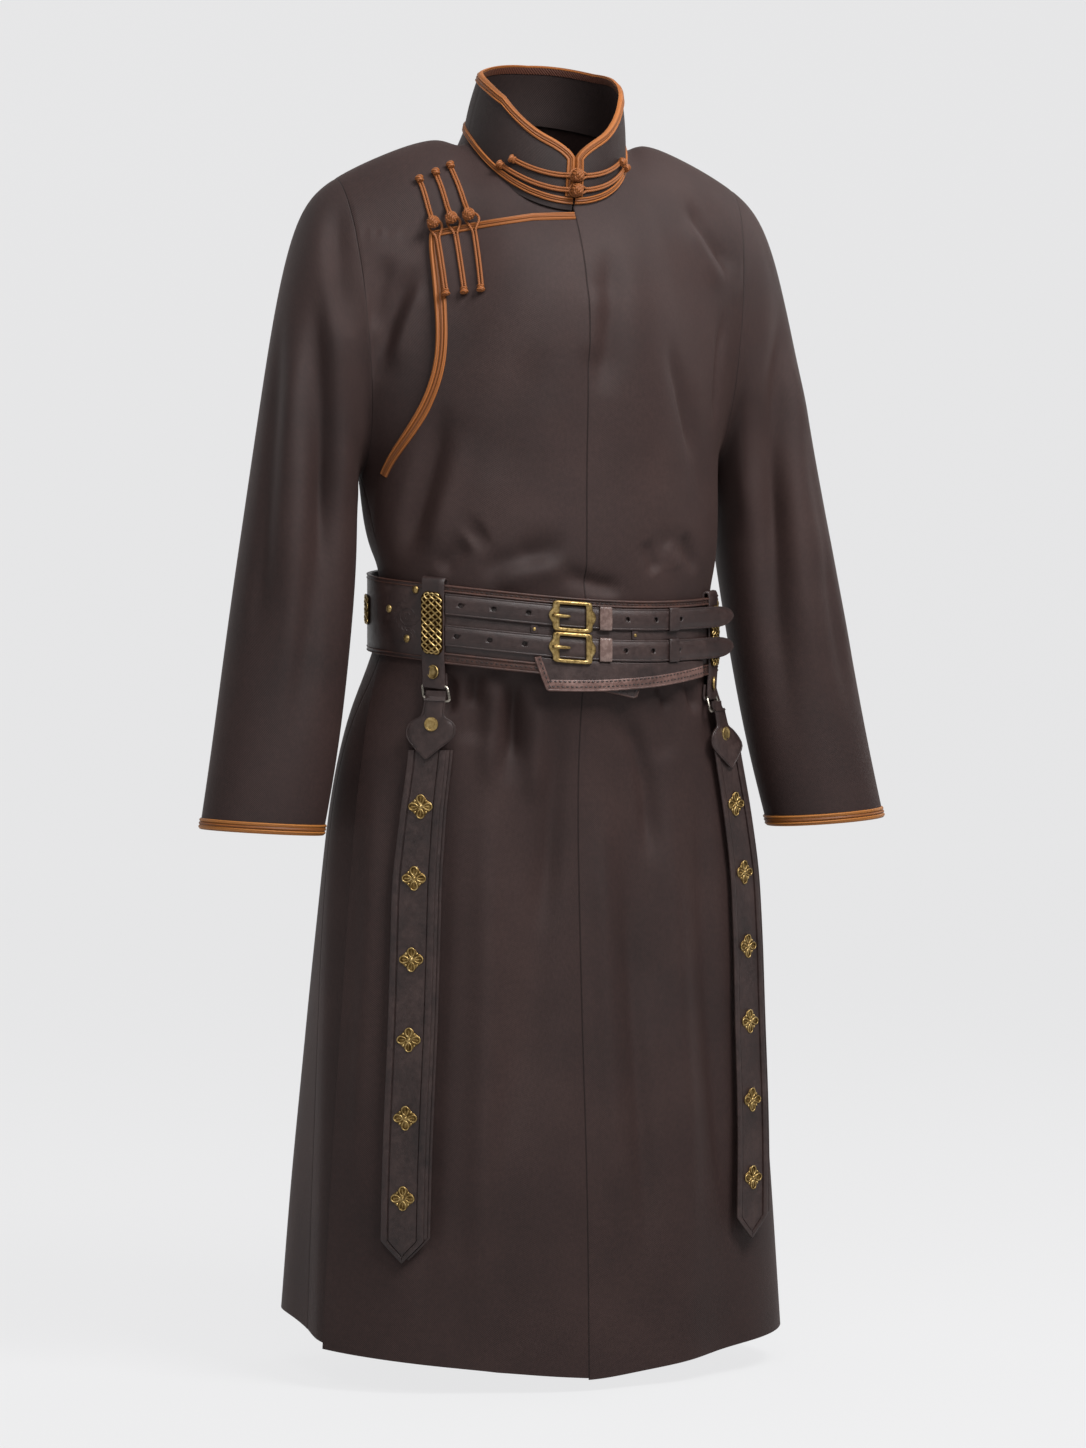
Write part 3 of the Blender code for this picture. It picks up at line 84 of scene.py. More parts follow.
def direction(azimuth, elevation):
    """The unit vector from the robe towards a place round it; azimuth 0 is straight in front."""
    turn, rise = math.radians(azimuth), math.radians(elevation)
    return Vector((math.sin(turn) * math.cos(rise), -math.cos(turn) * math.cos(rise), math.sin(rise)))


def aim(obj, place, target):
    obj.location = place
    obj.rotation_euler = (Vector(place) - Vector(target)).to_track_quat("Z", "Y").to_euler()


def link(obj):
    bpy.context.scene.collection.objects.link(obj)
    return obj


def evaluated_mesh(obj):
    """The mesh that an object's modifiers make of it."""
    bpy.context.view_layer.update()
    return bpy.data.meshes.new_from_object(obj.evaluated_get(bpy.context.evaluated_depsgraph_get()))


camera = link(bpy.data.objects.new("camera", bpy.data.cameras.new("camera")))
camera.data.sensor_width = SENSOR
camera.data.lens = FOCAL_PIXELS / FRAME_HEIGHT * SENSOR
camera.data.clip_end = 60
aim(camera, CAMERA_TARGET + direction(CAMERA_AZIMUTH, CAMERA_ELEVATION) * CAMERA_DISTANCE, CAMERA_TARGET)
bpy.context.scene.camera = camera
print("lens", round(camera.data.lens, 1), "mm")

# %% [markdown]
# ## Small helpers for materials
#
# Every finish below is a node tree. One function adds a node with its settings and its links, and one
# turns a colour as a painter would write it, in sRGB hex, into the linear numbers that light uses.

# %% Colour and node helpers


def rgb(code):
    """Linear colour from an sRGB hex code such as "#4a3b38"."""
    values = [int(code[k:k + 2], 16) / 255 for k in (1, 3, 5)]
    return tuple(v / 12.92 if v <= 0.04045 else ((v + 0.055) / 1.055) ** 2.4 for v in values) + (1.0,)


def plug(tree, socket, value):
    """Sets a socket to a value, or links it to an output or to a node's first live output."""
    if isinstance(value, bpy.types.Node):
        value = next(output for output in value.outputs if output.enabled)
    if isinstance(value, bpy.types.NodeSocket):
        tree.links.new(value, socket)
    else:
        socket.default_value = value


def add(tree, kind, settings=None, **sockets):
    """Adds a node. A socket is named with its spaces as underscores, or i0, i1 for its number. The
    setting "stops" fills a colour ramp with (place, hex or grey)."""
    node = tree.nodes.new(kind)
    settings = dict(settings or {})
    stops = settings.pop("stops", [])
    for name, value in settings.items():
        setattr(node, name, value)
    for index, (place, colour) in enumerate(stops):
        elements = node.color_ramp.elements
        element = elements[index] if index < len(elements) else elements.new(place)
        element.position = place
        element.color = rgb(colour) if isinstance(colour, str) else (colour, colour, colour, 1)
    for name, value in sockets.items():
        numbered = name[0] == "i" and name[1:].isdigit()
        plug(tree, node.inputs[int(name[1:]) if numbered else name.replace("_", " ")], value)
    return node


def new_material(name):
    """An empty node tree with a Principled shader joined to its output."""
    material = bpy.data.materials.new(name)
    material.use_nodes = True
    tree = material.node_tree
    tree.nodes.clear()
    shader = add(tree, "ShaderNodeBsdfPrincipled")
    out = add(tree, "ShaderNodeOutputMaterial")
    tree.links.new(shader.outputs["BSDF"], out.inputs["Surface"])
    return material, tree, shader


def finish(tree, shader, **sockets):
    """Sets or links the shader's own sockets."""
    for name, value in sockets.items():
        plug(tree, shader.inputs[name.replace("_", " ")], value)


print("helpers ready")

# %% [markdown]
# ## Dark brown wool-blend suiting
#
# Suiting is a fine 2/2 twill of worsted yarn, about 0.5 mm from rib to rib, dyed a brown that is
# nearly black in the folds. The yarn is heathered: some fibres are redder and some are greyer. The
# surface is matt, with a soft sheen at a low angle from the fibre ends. A rib of 0.5 mm is finer than
# a pixel here, so it is drawn at 1.4 mm, and shallow. The pattern follows the cloth's own UV map,
# which is in metres along warp and weft. The "seam" attribute is the distance to the nearest seam,
# where the cloth is pulled down by the thread.

# %% Cloth material
TWILL_RIB = 0.0014
BAND = 0.4443         # a diagonal wave texture of scale BAND / d has its bands d apart
MIX = {"data_type": "RGBA"}
MULTIPLY = {"data_type": "RGBA", "blend_type": "MULTIPLY"}
DIAGONAL = {"wave_type": "BANDS", "bands_direction": "DIAGONAL"}


def cloth_material(name, deep, main, light):
    material, tree, shader = new_material(name)
    uv = add(tree, "ShaderNodeUVMap")
    place = add(tree, "ShaderNodeTexCoord").outputs["Object"]
    ribs = add(tree, "ShaderNodeTexWave", DIAGONAL, Vector=uv, Scale=BAND / TWILL_RIB, Distortion=0.6,
               Detail=1.0, Detail_Scale=30.0)
    slub = add(tree, "ShaderNodeTexNoise", Vector=uv, Scale=900.0, Detail=3.0, Roughness=0.65)
    heather = add(tree, "ShaderNodeTexNoise", Vector=uv, Scale=210.0, Detail=5.0, Roughness=0.7)
    cloudy = add(tree, "ShaderNodeTexNoise", Vector=place, Scale=9.0, Detail=3.0, Roughness=0.55)
    tone = add(tree, "ShaderNodeMix", MIX, i0=0.55, i6=heather, i7=cloudy)
    tone = add(tree, "ShaderNodeMix", MIX, i0=0.22, i6=tone, i7=slub)
    stops = [(0.30, deep), (0.50, main), (0.70, light)]
    colour = add(tree, "ShaderNodeValToRGB", {"stops": stops}, Fac=tone)
    seam = add(tree, "ShaderNodeAttribute", {"attribute_name": "seam"}).outputs["Fac"]
    line = add(tree, "ShaderNodeMapRange", {"interpolation_type": "SMOOTHSTEP"},
               Value=seam, i1=0.0, i2=0.0011, i3=0.0, i4=1.0)
    # near a seam the colour is darkened toward black: painted shade in the seam's groove
    thread = add(tree, "ShaderNodeMix", MIX, i0=0.45, i6=colour, i7=(0, 0, 0, 1))
    colour = add(tree, "ShaderNodeMix", MIX, i0=line, i6=thread, i7=colour)
    puckers = add(tree, "ShaderNodeTexNoise", Vector=place, Scale=38.0, Detail=3.0, Roughness=0.5)
    bump = add(tree, "ShaderNodeBump", Strength=0.35, Distance=0.0012, Height=puckers)
    bump = add(tree, "ShaderNodeBump", Strength=0.55, Distance=0.00022, Height=ribs, Normal=bump)
    bump = add(tree, "ShaderNodeBump", Strength=0.55, Distance=0.0002, Height=slub, Normal=bump)
    bump = add(tree, "ShaderNodeBump", Strength=0.8, Distance=0.0006, Height=line, Normal=bump)
    finish(tree, shader, Base_Color=colour, Normal=bump, Roughness=0.66, Specular_IOR_Level=0.24,
           Sheen_Weight=0.08, Sheen_Roughness=0.40, Sheen_Tint=rgb("#96786e"))
    return material


suiting = cloth_material("brown_twill_suiting", "#1d1312", "#2a1c1a", "#362623")
print("cloth:", suiting.name)

# %% [markdown]
# ## Floor and light
#
# A studio sweep is one sheet: it lies flat under the robe and curves up behind it, so no line shows
# where the floor ends. The robe hangs with its hem about a centimetre above the sheet.

# %% Studio
FLOOR_DROP = 0.012
SWEEP_HALF_WIDTH = 9.0
SWEEP_NEAR = -9.0
SWEEP_START = 8.0       # the floor curves up from here
SWEEP_RADIUS = 2.2
SWEEP_STEPS = 16
SWEEP_HEIGHT = 9.0
LAMP_TARGET = Vector((0, 0, -0.55))
AIR_COLOUR = "#f2f2f1"


def make_floor():
    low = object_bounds()[0][2] - FLOOR_DROP
    profile = [(SWEEP_NEAR, low), (SWEEP_START, low)]
    for step in range(1, SWEEP_STEPS + 1):
        turn = math.pi / 2 * step / SWEEP_STEPS
        profile.append((SWEEP_START + SWEEP_RADIUS * math.sin(turn),
                        low + SWEEP_RADIUS * (1 - math.cos(turn))))
    profile.append((SWEEP_START + SWEEP_RADIUS, low + SWEEP_HEIGHT))
    mesh = bpy.data.meshes.new("studio_sweep")
    points = [(x, y, z) for y, z in profile for x in (-SWEEP_HALF_WIDTH, SWEEP_HALF_WIDTH)]
    faces = [(2 * k, 2 * k + 1, 2 * k + 3, 2 * k + 2) for k in range(len(profile) - 1)]
    mesh.from_pydata(points, [], faces)
    for face in mesh.polygons:
        face.use_smooth = True
    floor = link(bpy.data.objects.new("studio_sweep", mesh))
    material, tree, shader = new_material("matt_backdrop_paper")
    finish(tree, shader, Base_Color=rgb("#454545"), Roughness=1.0, Specular_IOR_Level=0.0,
           Emission_Color=rgb("#fafafb"), Emission_Strength=0.805)
    mesh.materials.append(material)


Lamp = namedtuple("Lamp", "name azimuth elevation distance width height power")
LAMPS = [Lamp(*row) for row in (
    ("key_window", 24, 48, 2.4, 1.0, 1.0, 88), ("front_fill", -28, 42, 3.0, 1.2, 1.2, 33),
    ("left_fill", -76, 16, 3.4, 1.0, 2.4, 7), ("left_rim", -132, 30, 3.0, 1.0, 2.2, 14),
    ("right_rim", 112, 26, 3.0, 1.0, 2.2, 22), ("top_light", 160, 74, 2.8, 2.0, 2.0, 12))]


def make_lights():
    for lamp in LAMPS:
        light = bpy.data.lights.new(lamp.name, "AREA")
        light.shape = "RECTANGLE"
        light.size = lamp.width
        light.size_y = lamp.height
        light.energy = lamp.power
        obj = link(bpy.data.objects.new(lamp.name, light))
        aim(obj, LAMP_TARGET + direction(lamp.azimuth, lamp.elevation) * lamp.distance, LAMP_TARGET)
    world = bpy.data.worlds.new("studio_air")
    world.use_nodes = True
    tree = world.node_tree
    # the air gives little light, but where the sheet ends it is seen as pale as the sheet
    dim = add(tree, "ShaderNodeBackground", Color=rgb(AIR_COLOUR), Strength=0.15)
    pale = add(tree, "ShaderNodeBackground", Color=rgb(AIR_COLOUR), Strength=0.88)
    seen = add(tree, "ShaderNodeLightPath").outputs["Is Camera Ray"]
    air = add(tree, "ShaderNodeMixShader", Fac=seen, i1=dim, i2=pale)
    tree.links.new(air.outputs["Shader"], tree.nodes["World Output"].inputs["Surface"])
    bpy.context.scene.world = world
    bpy.context.scene.view_settings.view_transform = "Standard"


make_floor()
make_lights()
print(len(LAMPS), "lamps")

# %% [markdown]
# ## The cutting tables of the robe
#
# A tailor's block gives the robe by a few girths and lengths. Here it is the same: rings of half
# widths and half depths from hem to armpit, a profile for the chest and back, a ridge for the
# shoulder, and ovals down the sleeve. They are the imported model's own sizes, so the finer cloth made
# from them lies where the solid cloth is.

# %% Sizes of the block
COLUMNS = 24            # round the body, column 0 at the centre front, 6 at the wearer's left side
QUARTER = COLUMNS // 4
YOKE_ROWS = 5
ARM_POINTS = 2 * YOKE_ROWS
NECK_COLUMNS = 3
ARMPIT_Z = -0.335
BELT_HEIGHT = 0.076
BELT_MID = -0.480
BELT_DIP_FRONT = 0.015
BELT_DIP_LEFT = 0.009
NECK_HALF_WIDTH = 0.081
NECK_FRONT_Y = -0.095
NECK_BACK_Y = 0.066
NECK_CENTRE_Y = -0.012
NECK_SIDE_Z = -0.001
NECK_FRONT_Z = -0.0765
NECK_BACK_Z = 0.024
NECK_FALL_FRONT = 1.0
NECK_FALL_BACK = 1.3
ARMS_SHIFT = 0.006
PANELS = ["front_left", "front_under", "back", "sleeve_left", "sleeve_right"]
BODY = ("front_left", "front_under", "back")
SLEEVES = ("sleeve_left", "sleeve_right")

# the rings from the hem up. share runs from 0 to 1: in the skirt from the belt's lower edge down to
# the hem, in the waist from the belt's lower edge to its upper one, and in the bodice from the belt's
# upper edge to the armpit
Ring = namedtuple("Ring", "zone share half_width half_depth centre_y")
RINGS = [Ring(*row) for row in (
    ("skirt", 1.00, 0.262, 0.180, 0.038), ("skirt", 0.81, 0.253, 0.174, 0.035),
    ("skirt", 0.66, 0.245, 0.164, 0.031), ("skirt", 0.51, 0.238, 0.150, 0.028),
    ("skirt", 0.36, 0.230, 0.136, 0.021), ("skirt", 0.21, 0.219, 0.120, 0.012),
    ("skirt", 0.08, 0.198, 0.112, 0.0), ("waist", 0.0, 0.170, 0.114, -0.013),
    ("waist", 1.0, 0.1685, 0.114, -0.014), ("bodice", 0.20, 0.177, 0.124, -0.009),
    ("bodice", 0.55, 0.183, 0.130, -0.004), ("bodice", 1.00, 0.184, 0.134, 0.001))]
HEM_FRONT_Z = -1.222
# (angle, z)
HEM = [(-180, -1.172), (-105, -1.172), (-69, -1.196), (-30, -1.214), (0, HEM_FRONT_Z), (43, -1.202),
       (90, -1.192), (180, -1.172)]
Profile = namedtuple("Profile", "z front_y back_y")
PROFILE = [Profile(*row) for row in (
    (-0.335, -0.134, 0.135), (-0.260, -0.137, 0.140), (-0.200, -0.142, 0.138),
    (-0.150, -0.141, 0.130), (-0.110, -0.124, 0.112), (-0.0765, -0.095, 0.100))]
# the shoulder's ridge at the wearer's left: (x, y, z)
SHOULDER = [(0.098, 0.003, 0.019), (0.154, 0.012, -0.003), (0.214, 0.020, -0.033)]
Arm = namedtuple("Arm", "outer_x outer_z inner_x inner_z middle_y half_depth")
ARM = [Arm(*row) for row in (
    (0.214, -0.034, 0.184, -0.335, 0.020, 0.070), (0.243, -0.072, 0.189, -0.350, 0.020, 0.070),
    (0.265, -0.155, 0.191, -0.364, 0.018, 0.067), (0.283, -0.250, 0.193, -0.384, 0.014, 0.064),
    (0.303, -0.360, 0.195, -0.425, 0.008, 0.060), (0.325, -0.480, 0.204, -0.505, 0.002, 0.056),
    (0.345, -0.600, 0.219, -0.605, -0.005, 0.051), (0.361, -0.680, 0.238, -0.688, -0.010, 0.046))]


def ring_swell(count):
    """How far a ring of cage points stands outside the smooth ring that it makes."""
    return 3.0 / (2.0 + math.cos(2.0 * math.pi / count))


def belt_middle(angle):
    turn = math.radians(angle)
    return BELT_MID - BELT_DIP_FRONT * math.cos(turn) - BELT_DIP_LEFT * math.sin(turn)


def signed(angle):
    return (angle + 180.0) % 360.0 - 180.0


def hem_height(angle):
    return float(np.interp(signed(angle), *zip(*HEM)))


print(len(RINGS), "rings round the body,", len(ARM), "down each sleeve")

# %% [markdown]
# ## The block as one coarse cage
#
# The whole robe starts as about five hundred large quads: rings for the body, four curved patches for
# the yoke and rings for the sleeves. Catmull-Clark subdivision rounds them. One cage for the whole
# robe makes the shading run on across the armholes. Each quad also gets a UV place in metres, across
# and along its cloth, and carries the name of the panel that it is cut from.

# %% Points of the cage


def ring_point(row, angle, z):
    turn = math.radians(angle)
    swell = ring_swell(COLUMNS)
    return Vector((row.half_width * swell * math.sin(turn),
                   row.centre_y - row.half_depth * swell * math.cos(turn), z))


def body_rings():
    rings = []
    for row in RINGS:
        ring = []
        for column in range(COLUMNS):
            angle = column * 360.0 / COLUMNS
            low = belt_middle(angle) - BELT_HEIGHT / 2
            high = belt_middle(angle) + BELT_HEIGHT / 2
            limits = {"skirt": (low, hem_height(angle)), "waist": (low, high), "bodice": (high, ARMPIT_Z)}
            start, end = limits[row.zone]
            ring.append(ring_point(row, angle, start + row.share * (end - start)))
        rings.append(ring)
    for side in (1, -1):
        rings[-1][side * QUARTER] = arm_point(0, YOKE_ROWS, side)
    return rings


def neck_point(angle, swell=1.0):
    turn = math.radians(angle)
    depth = NECK_CENTRE_Y - NECK_FRONT_Y if math.cos(turn) > 0 else NECK_BACK_Y - NECK_CENTRE_Y
    drop, fall = (NECK_FRONT_Z, NECK_FALL_FRONT) if math.cos(turn) > 0 else (NECK_BACK_Z, NECK_FALL_BACK)
    z = NECK_SIDE_Z + (drop - NECK_SIDE_Z) * abs(math.cos(turn)) ** fall
    return Vector((NECK_HALF_WIDTH * swell * math.sin(turn),
                   NECK_CENTRE_Y - depth * swell * math.cos(turn), z))


def arm_point(station, index, side):
    """Point 0 is the outer one, then down the front; YOKE_ROWS is the inner one, then up the back."""
    arm = ARM[station]
    swell = 1.0 if station == 0 else ring_swell(ARM_POINTS)
    turn = 2 * math.pi * index / ARM_POINTS
    middle = Vector(((arm.outer_x + arm.inner_x) / 2, arm.middle_y, (arm.outer_z + arm.inner_z) / 2))
    out = Vector((arm.outer_x - middle.x, 0, arm.outer_z - middle.z))
    front = Vector((0, -arm.half_depth * swell, 0))
    point = middle + out * math.cos(turn) * swell + front * math.sin(turn)
    shift = ARMS_SHIFT * (station / (len(ARM) - 1)) ** 2
    return Vector((side * point.x + shift, point.y, point.z))


def coons(bottom, top, left, right):
    """A curved patch of points between four edges; [j][i], j up and i across."""
    rows = []
    across, up = len(bottom) - 1, len(left) - 1
    for j in range(up + 1):
        v = j / up
        row = []
        for i in range(across + 1):
            u = i / across
            ruled = bottom[i] * (1 - v) + top[i] * v + left[j] * (1 - u) + right[j] * u
            corners = ((bottom[0] * (1 - u) + bottom[-1] * u) * (1 - v)
                       + (top[0] * (1 - u) + top[-1] * u) * v)
            row.append(ruled - corners)
        rows.append(row)
    return rows


def yoke_patch(ring, side, front):
    sign = side if front else -side
    start = 0 if front else COLUMNS // 2
    bottom = [ring[(start + sign * i) % COLUMNS] for i in range(QUARTER + 1)]
    swell = ring_swell(4 * NECK_COLUMNS)
    top = []
    for i in range(NECK_COLUMNS + 1):
        angle = i * 90.0 / NECK_COLUMNS
        top.append(neck_point(side * (angle if front else 180.0 - angle), swell))
    top += [Vector((side * x, y, z)) for x, y, z in SHOULDER]
    top[-1] = arm_point(0, 0, side)
    left = [bottom[0]]
    heights = [p.z for p in PROFILE]
    depths = [p.front_y if front else p.back_y for p in PROFILE]
    for j in range(1, YOKE_ROWS):
        z = ARMPIT_Z + (top[0].z - ARMPIT_Z) * j / YOKE_ROWS
        squeeze = ARMPIT_Z + (PROFILE[-1].z - ARMPIT_Z) * j / YOKE_ROWS
        left.append(Vector((0, float(np.interp(squeeze, heights, depths)), z)))
    left.append(top[0])
    step = -1 if front else 1
    right = [arm_point(0, (YOKE_ROWS + step * j) % ARM_POINTS, side) for j in range(YOKE_ROWS + 1)]
    return coons(bottom, top, left, right)


print("the neckline is", round(2 * NECK_HALF_WIDTH * 1000), "mm wide")

# %% One mesh from the points
COLUMN_CLOTH = 0.056        # cloth across one column of the body, for the UV map
YOKE_ROW_CLOTH = 0.058
SLEEVE_COLUMN_CLOTH = 0.038
SLEEVE_ROW_CLOTH = 0.100


def add_grid(bm, uv, rows, panel_of, closed, flipped, seen, cloth_place):
    """Adds a grid of quads to the cage; points in the same place are one vertex."""
    def vertex(point):
        key = tuple(round(c, 5) for c in point)
        if key not in seen:
            seen[key] = bm.verts.new(point)
        return seen[key]
    across = len(rows[0]) if closed else len(rows[0]) - 1
    for j in range(len(rows) - 1):
        for i in range(across):
            corners = [(j, i), (j, i + 1), (j + 1, i + 1), (j + 1, i)]
            if flipped:
                corners.reverse()
            face = bm.faces.new([vertex(rows[b][a % len(rows[0])]) for b, a in corners])
            face.material_index = PANELS.index(panel_of(i))
            for loop, (b, a) in zip(face.loops, corners):
                loop[uv].uv = cloth_place(b, a)


def body_panel(column):
    if column < QUARTER:
        return "front_left"
    return "back" if column < 3 * QUARTER else "front_under"


def robe_cage():
    bm = bmesh.new()
    uv = bm.loops.layers.uv.new("UVMap")
    seen = {}
    rings = body_rings()
    levels = [sum(p.z for p in ring) / COLUMNS for ring in rings]
    add_grid(bm, uv, rings, body_panel, True, False, seen, lambda j, i: (i * COLUMN_CLOTH, levels[j]))
    for side, front_panel, sleeve in ((1, "front_left", "sleeve_left"), (-1, "front_under", "sleeve_right")):
        for front in (True, False):
            name = front_panel if front else "back"
            start, sign = (0, side) if front else (COLUMNS // 2, -side)
            if front and side < 0:
                start = COLUMNS
            add_grid(bm, uv, yoke_patch(rings[-1], side, front), lambda i, p=name: p, False,
                     (side > 0) != front, seen,
                     lambda j, i, s=start, g=sign: ((s + g * i) * COLUMN_CLOTH,
                                                    levels[-1] + j * YOKE_ROW_CLOTH))
        arm = [[arm_point(s, m, side) for m in range(ARM_POINTS)] for s in range(len(ARM))]
        add_grid(bm, uv, arm, lambda i, p=sleeve: p, True, side < 0, seen,
                 lambda j, i: (i * SLEEVE_COLUMN_CLOTH, -j * SLEEVE_ROW_CLOTH))
    mesh = bpy.data.meshes.new("robe_cage")
    bm.to_mesh(mesh)
    bm.free()
    return mesh


def subdivided(mesh, levels):
    obj = link(bpy.data.objects.new("cage", mesh))
    smooth = obj.modifiers.new("smooth", "SUBSURF")
    smooth.levels = levels
    smooth.render_levels = levels
    made = evaluated_mesh(obj)
    bpy.data.objects.remove(obj)
    return made


Cloth = namedtuple("Cloth", "points quads uvs tags")


def cloth_arrays(mesh):
    """A mesh of quads as arrays: points, corners of each quad, their UV places and panel numbers."""
    points = np.empty(len(mesh.vertices) * 3)
    mesh.vertices.foreach_get("co", points)
    quads = np.empty(len(mesh.loops), np.int64)
    mesh.loops.foreach_get("vertex_index", quads)
    uvs = np.empty(len(mesh.loops) * 2)
    mesh.uv_layers[0].data.foreach_get("uv", uvs)
    tags = np.empty(len(mesh.polygons), np.int64)
    mesh.polygons.foreach_get("material_index", tags)
    return Cloth(points.reshape(-1, 3), quads.reshape(-1, 4), uvs.reshape(-1, 4, 2), tags)


def normals_of(points, quads):
    """Smooth normals at the points of a sheet of quads."""
    across = points[quads[:, 2]] - points[quads[:, 0]]
    upward = points[quads[:, 3]] - points[quads[:, 1]]
    ways = np.cross(across, upward)
    normals = np.zeros_like(points)
    for corner in range(4):
        np.add.at(normals, quads[:, corner], ways)
    return normals / np.maximum(np.linalg.norm(normals, axis=1, keepdims=True), 1e-12)


FINE = 4
robe = cloth_arrays(subdivided(robe_cage(), FINE))
print(len(robe.points), "points in the fine cloth")

# %% [markdown]
# ## Folds
#
# Cloth over a body folds where it is held: from the armholes towards the chest, into the top of the
# belt where the bodice blouses over it, and down the skirt in long flutes. Each fold is a soft trough
# or ridge along a short line of points, as seen from the front or the back. Their depths, widths and
# lengths all differ, because even ones look like corrugated iron. The broad ones die away well off
# the belt; the narrow ones run in under it.

# %% Tables of folds
Fold = namedtuple("Fold", "piece face depth spread points")


def fold_rows(piece, face, rows):
    """Folds of one piece on one face. A row is in millimetres: the depth, over 0 for a trough and
    under 0 for a ridge, the half width of its soft section, and then the x and z of its points."""
    metres = [[value / 1000 for value in row] for row in rows]
    return [Fold(piece, face, row[0], row[1], list(zip(row[2::2], row[3::2]))) for row in metres]


BROAD_FOLDS = [
    *fold_rows("body", "front", [
        (5, 12, -160, -140, -178, -205, -186, -250), (5, 13, -112, -275, -150, -375, -162, -425),
        (3.6, 14, -48, -205, -76, -295, -98, -350), (3, 13, 33, -115, 26, -205, 18, -265),
        (5, 12, 108, -222, 131, -303, 147, -374), (3.5, 12, 156, -47, 178, -105, 196, -152),
        (4.5, 10, -112, -400, -98, -388), (3.5, 10, -70, -418, -45, -406, -20, -412),
        (4, 10, 70, -405, 102, -400, 132, -425),
        (6, 15, -34, -600, -36, -700, -45, -800, -53, -900, -75, -1010),
        (5, 16, 45, -600, 65, -690, 76, -800, 80, -900), (5, 11, -101, -545, -104, -600),
        (5.5, 11, -72, -545, -76, -640), (4.5, 12, 90, -552, 100, -620),
    ]),
    *fold_rows("body", "back", [
        (5, 14, -150, -130, -120, -230, -80, -330), (4.5, 14, 150, -120, 130, -220, 95, -340),
        (4, 12, -50, -385, 10, -395, 60, -380), (5, 16, -80, -560, -95, -700, -110, -860),
        (6, 16, 40, -570, 52, -720, 70, -930), (4.5, 15, 120, -560, 150, -760),
    ]),
    *fold_rows("sleeve", "front", [
        (5.5, 11, -252, -132, -253, -224, -247, -325, -236, -425, -228, -526),
        (5.5, 11, 243, -165, 237, -296, 233, -426, 234, -530), (-3, 14, 281, -374, 316, -531),
    ]),
    *fold_rows("sleeve", "back", [
        (5, 12, -240, -150, -262, -290, -270, -420), (5, 12, 235, -160, 258, -300, 272, -440),
    ]),
]
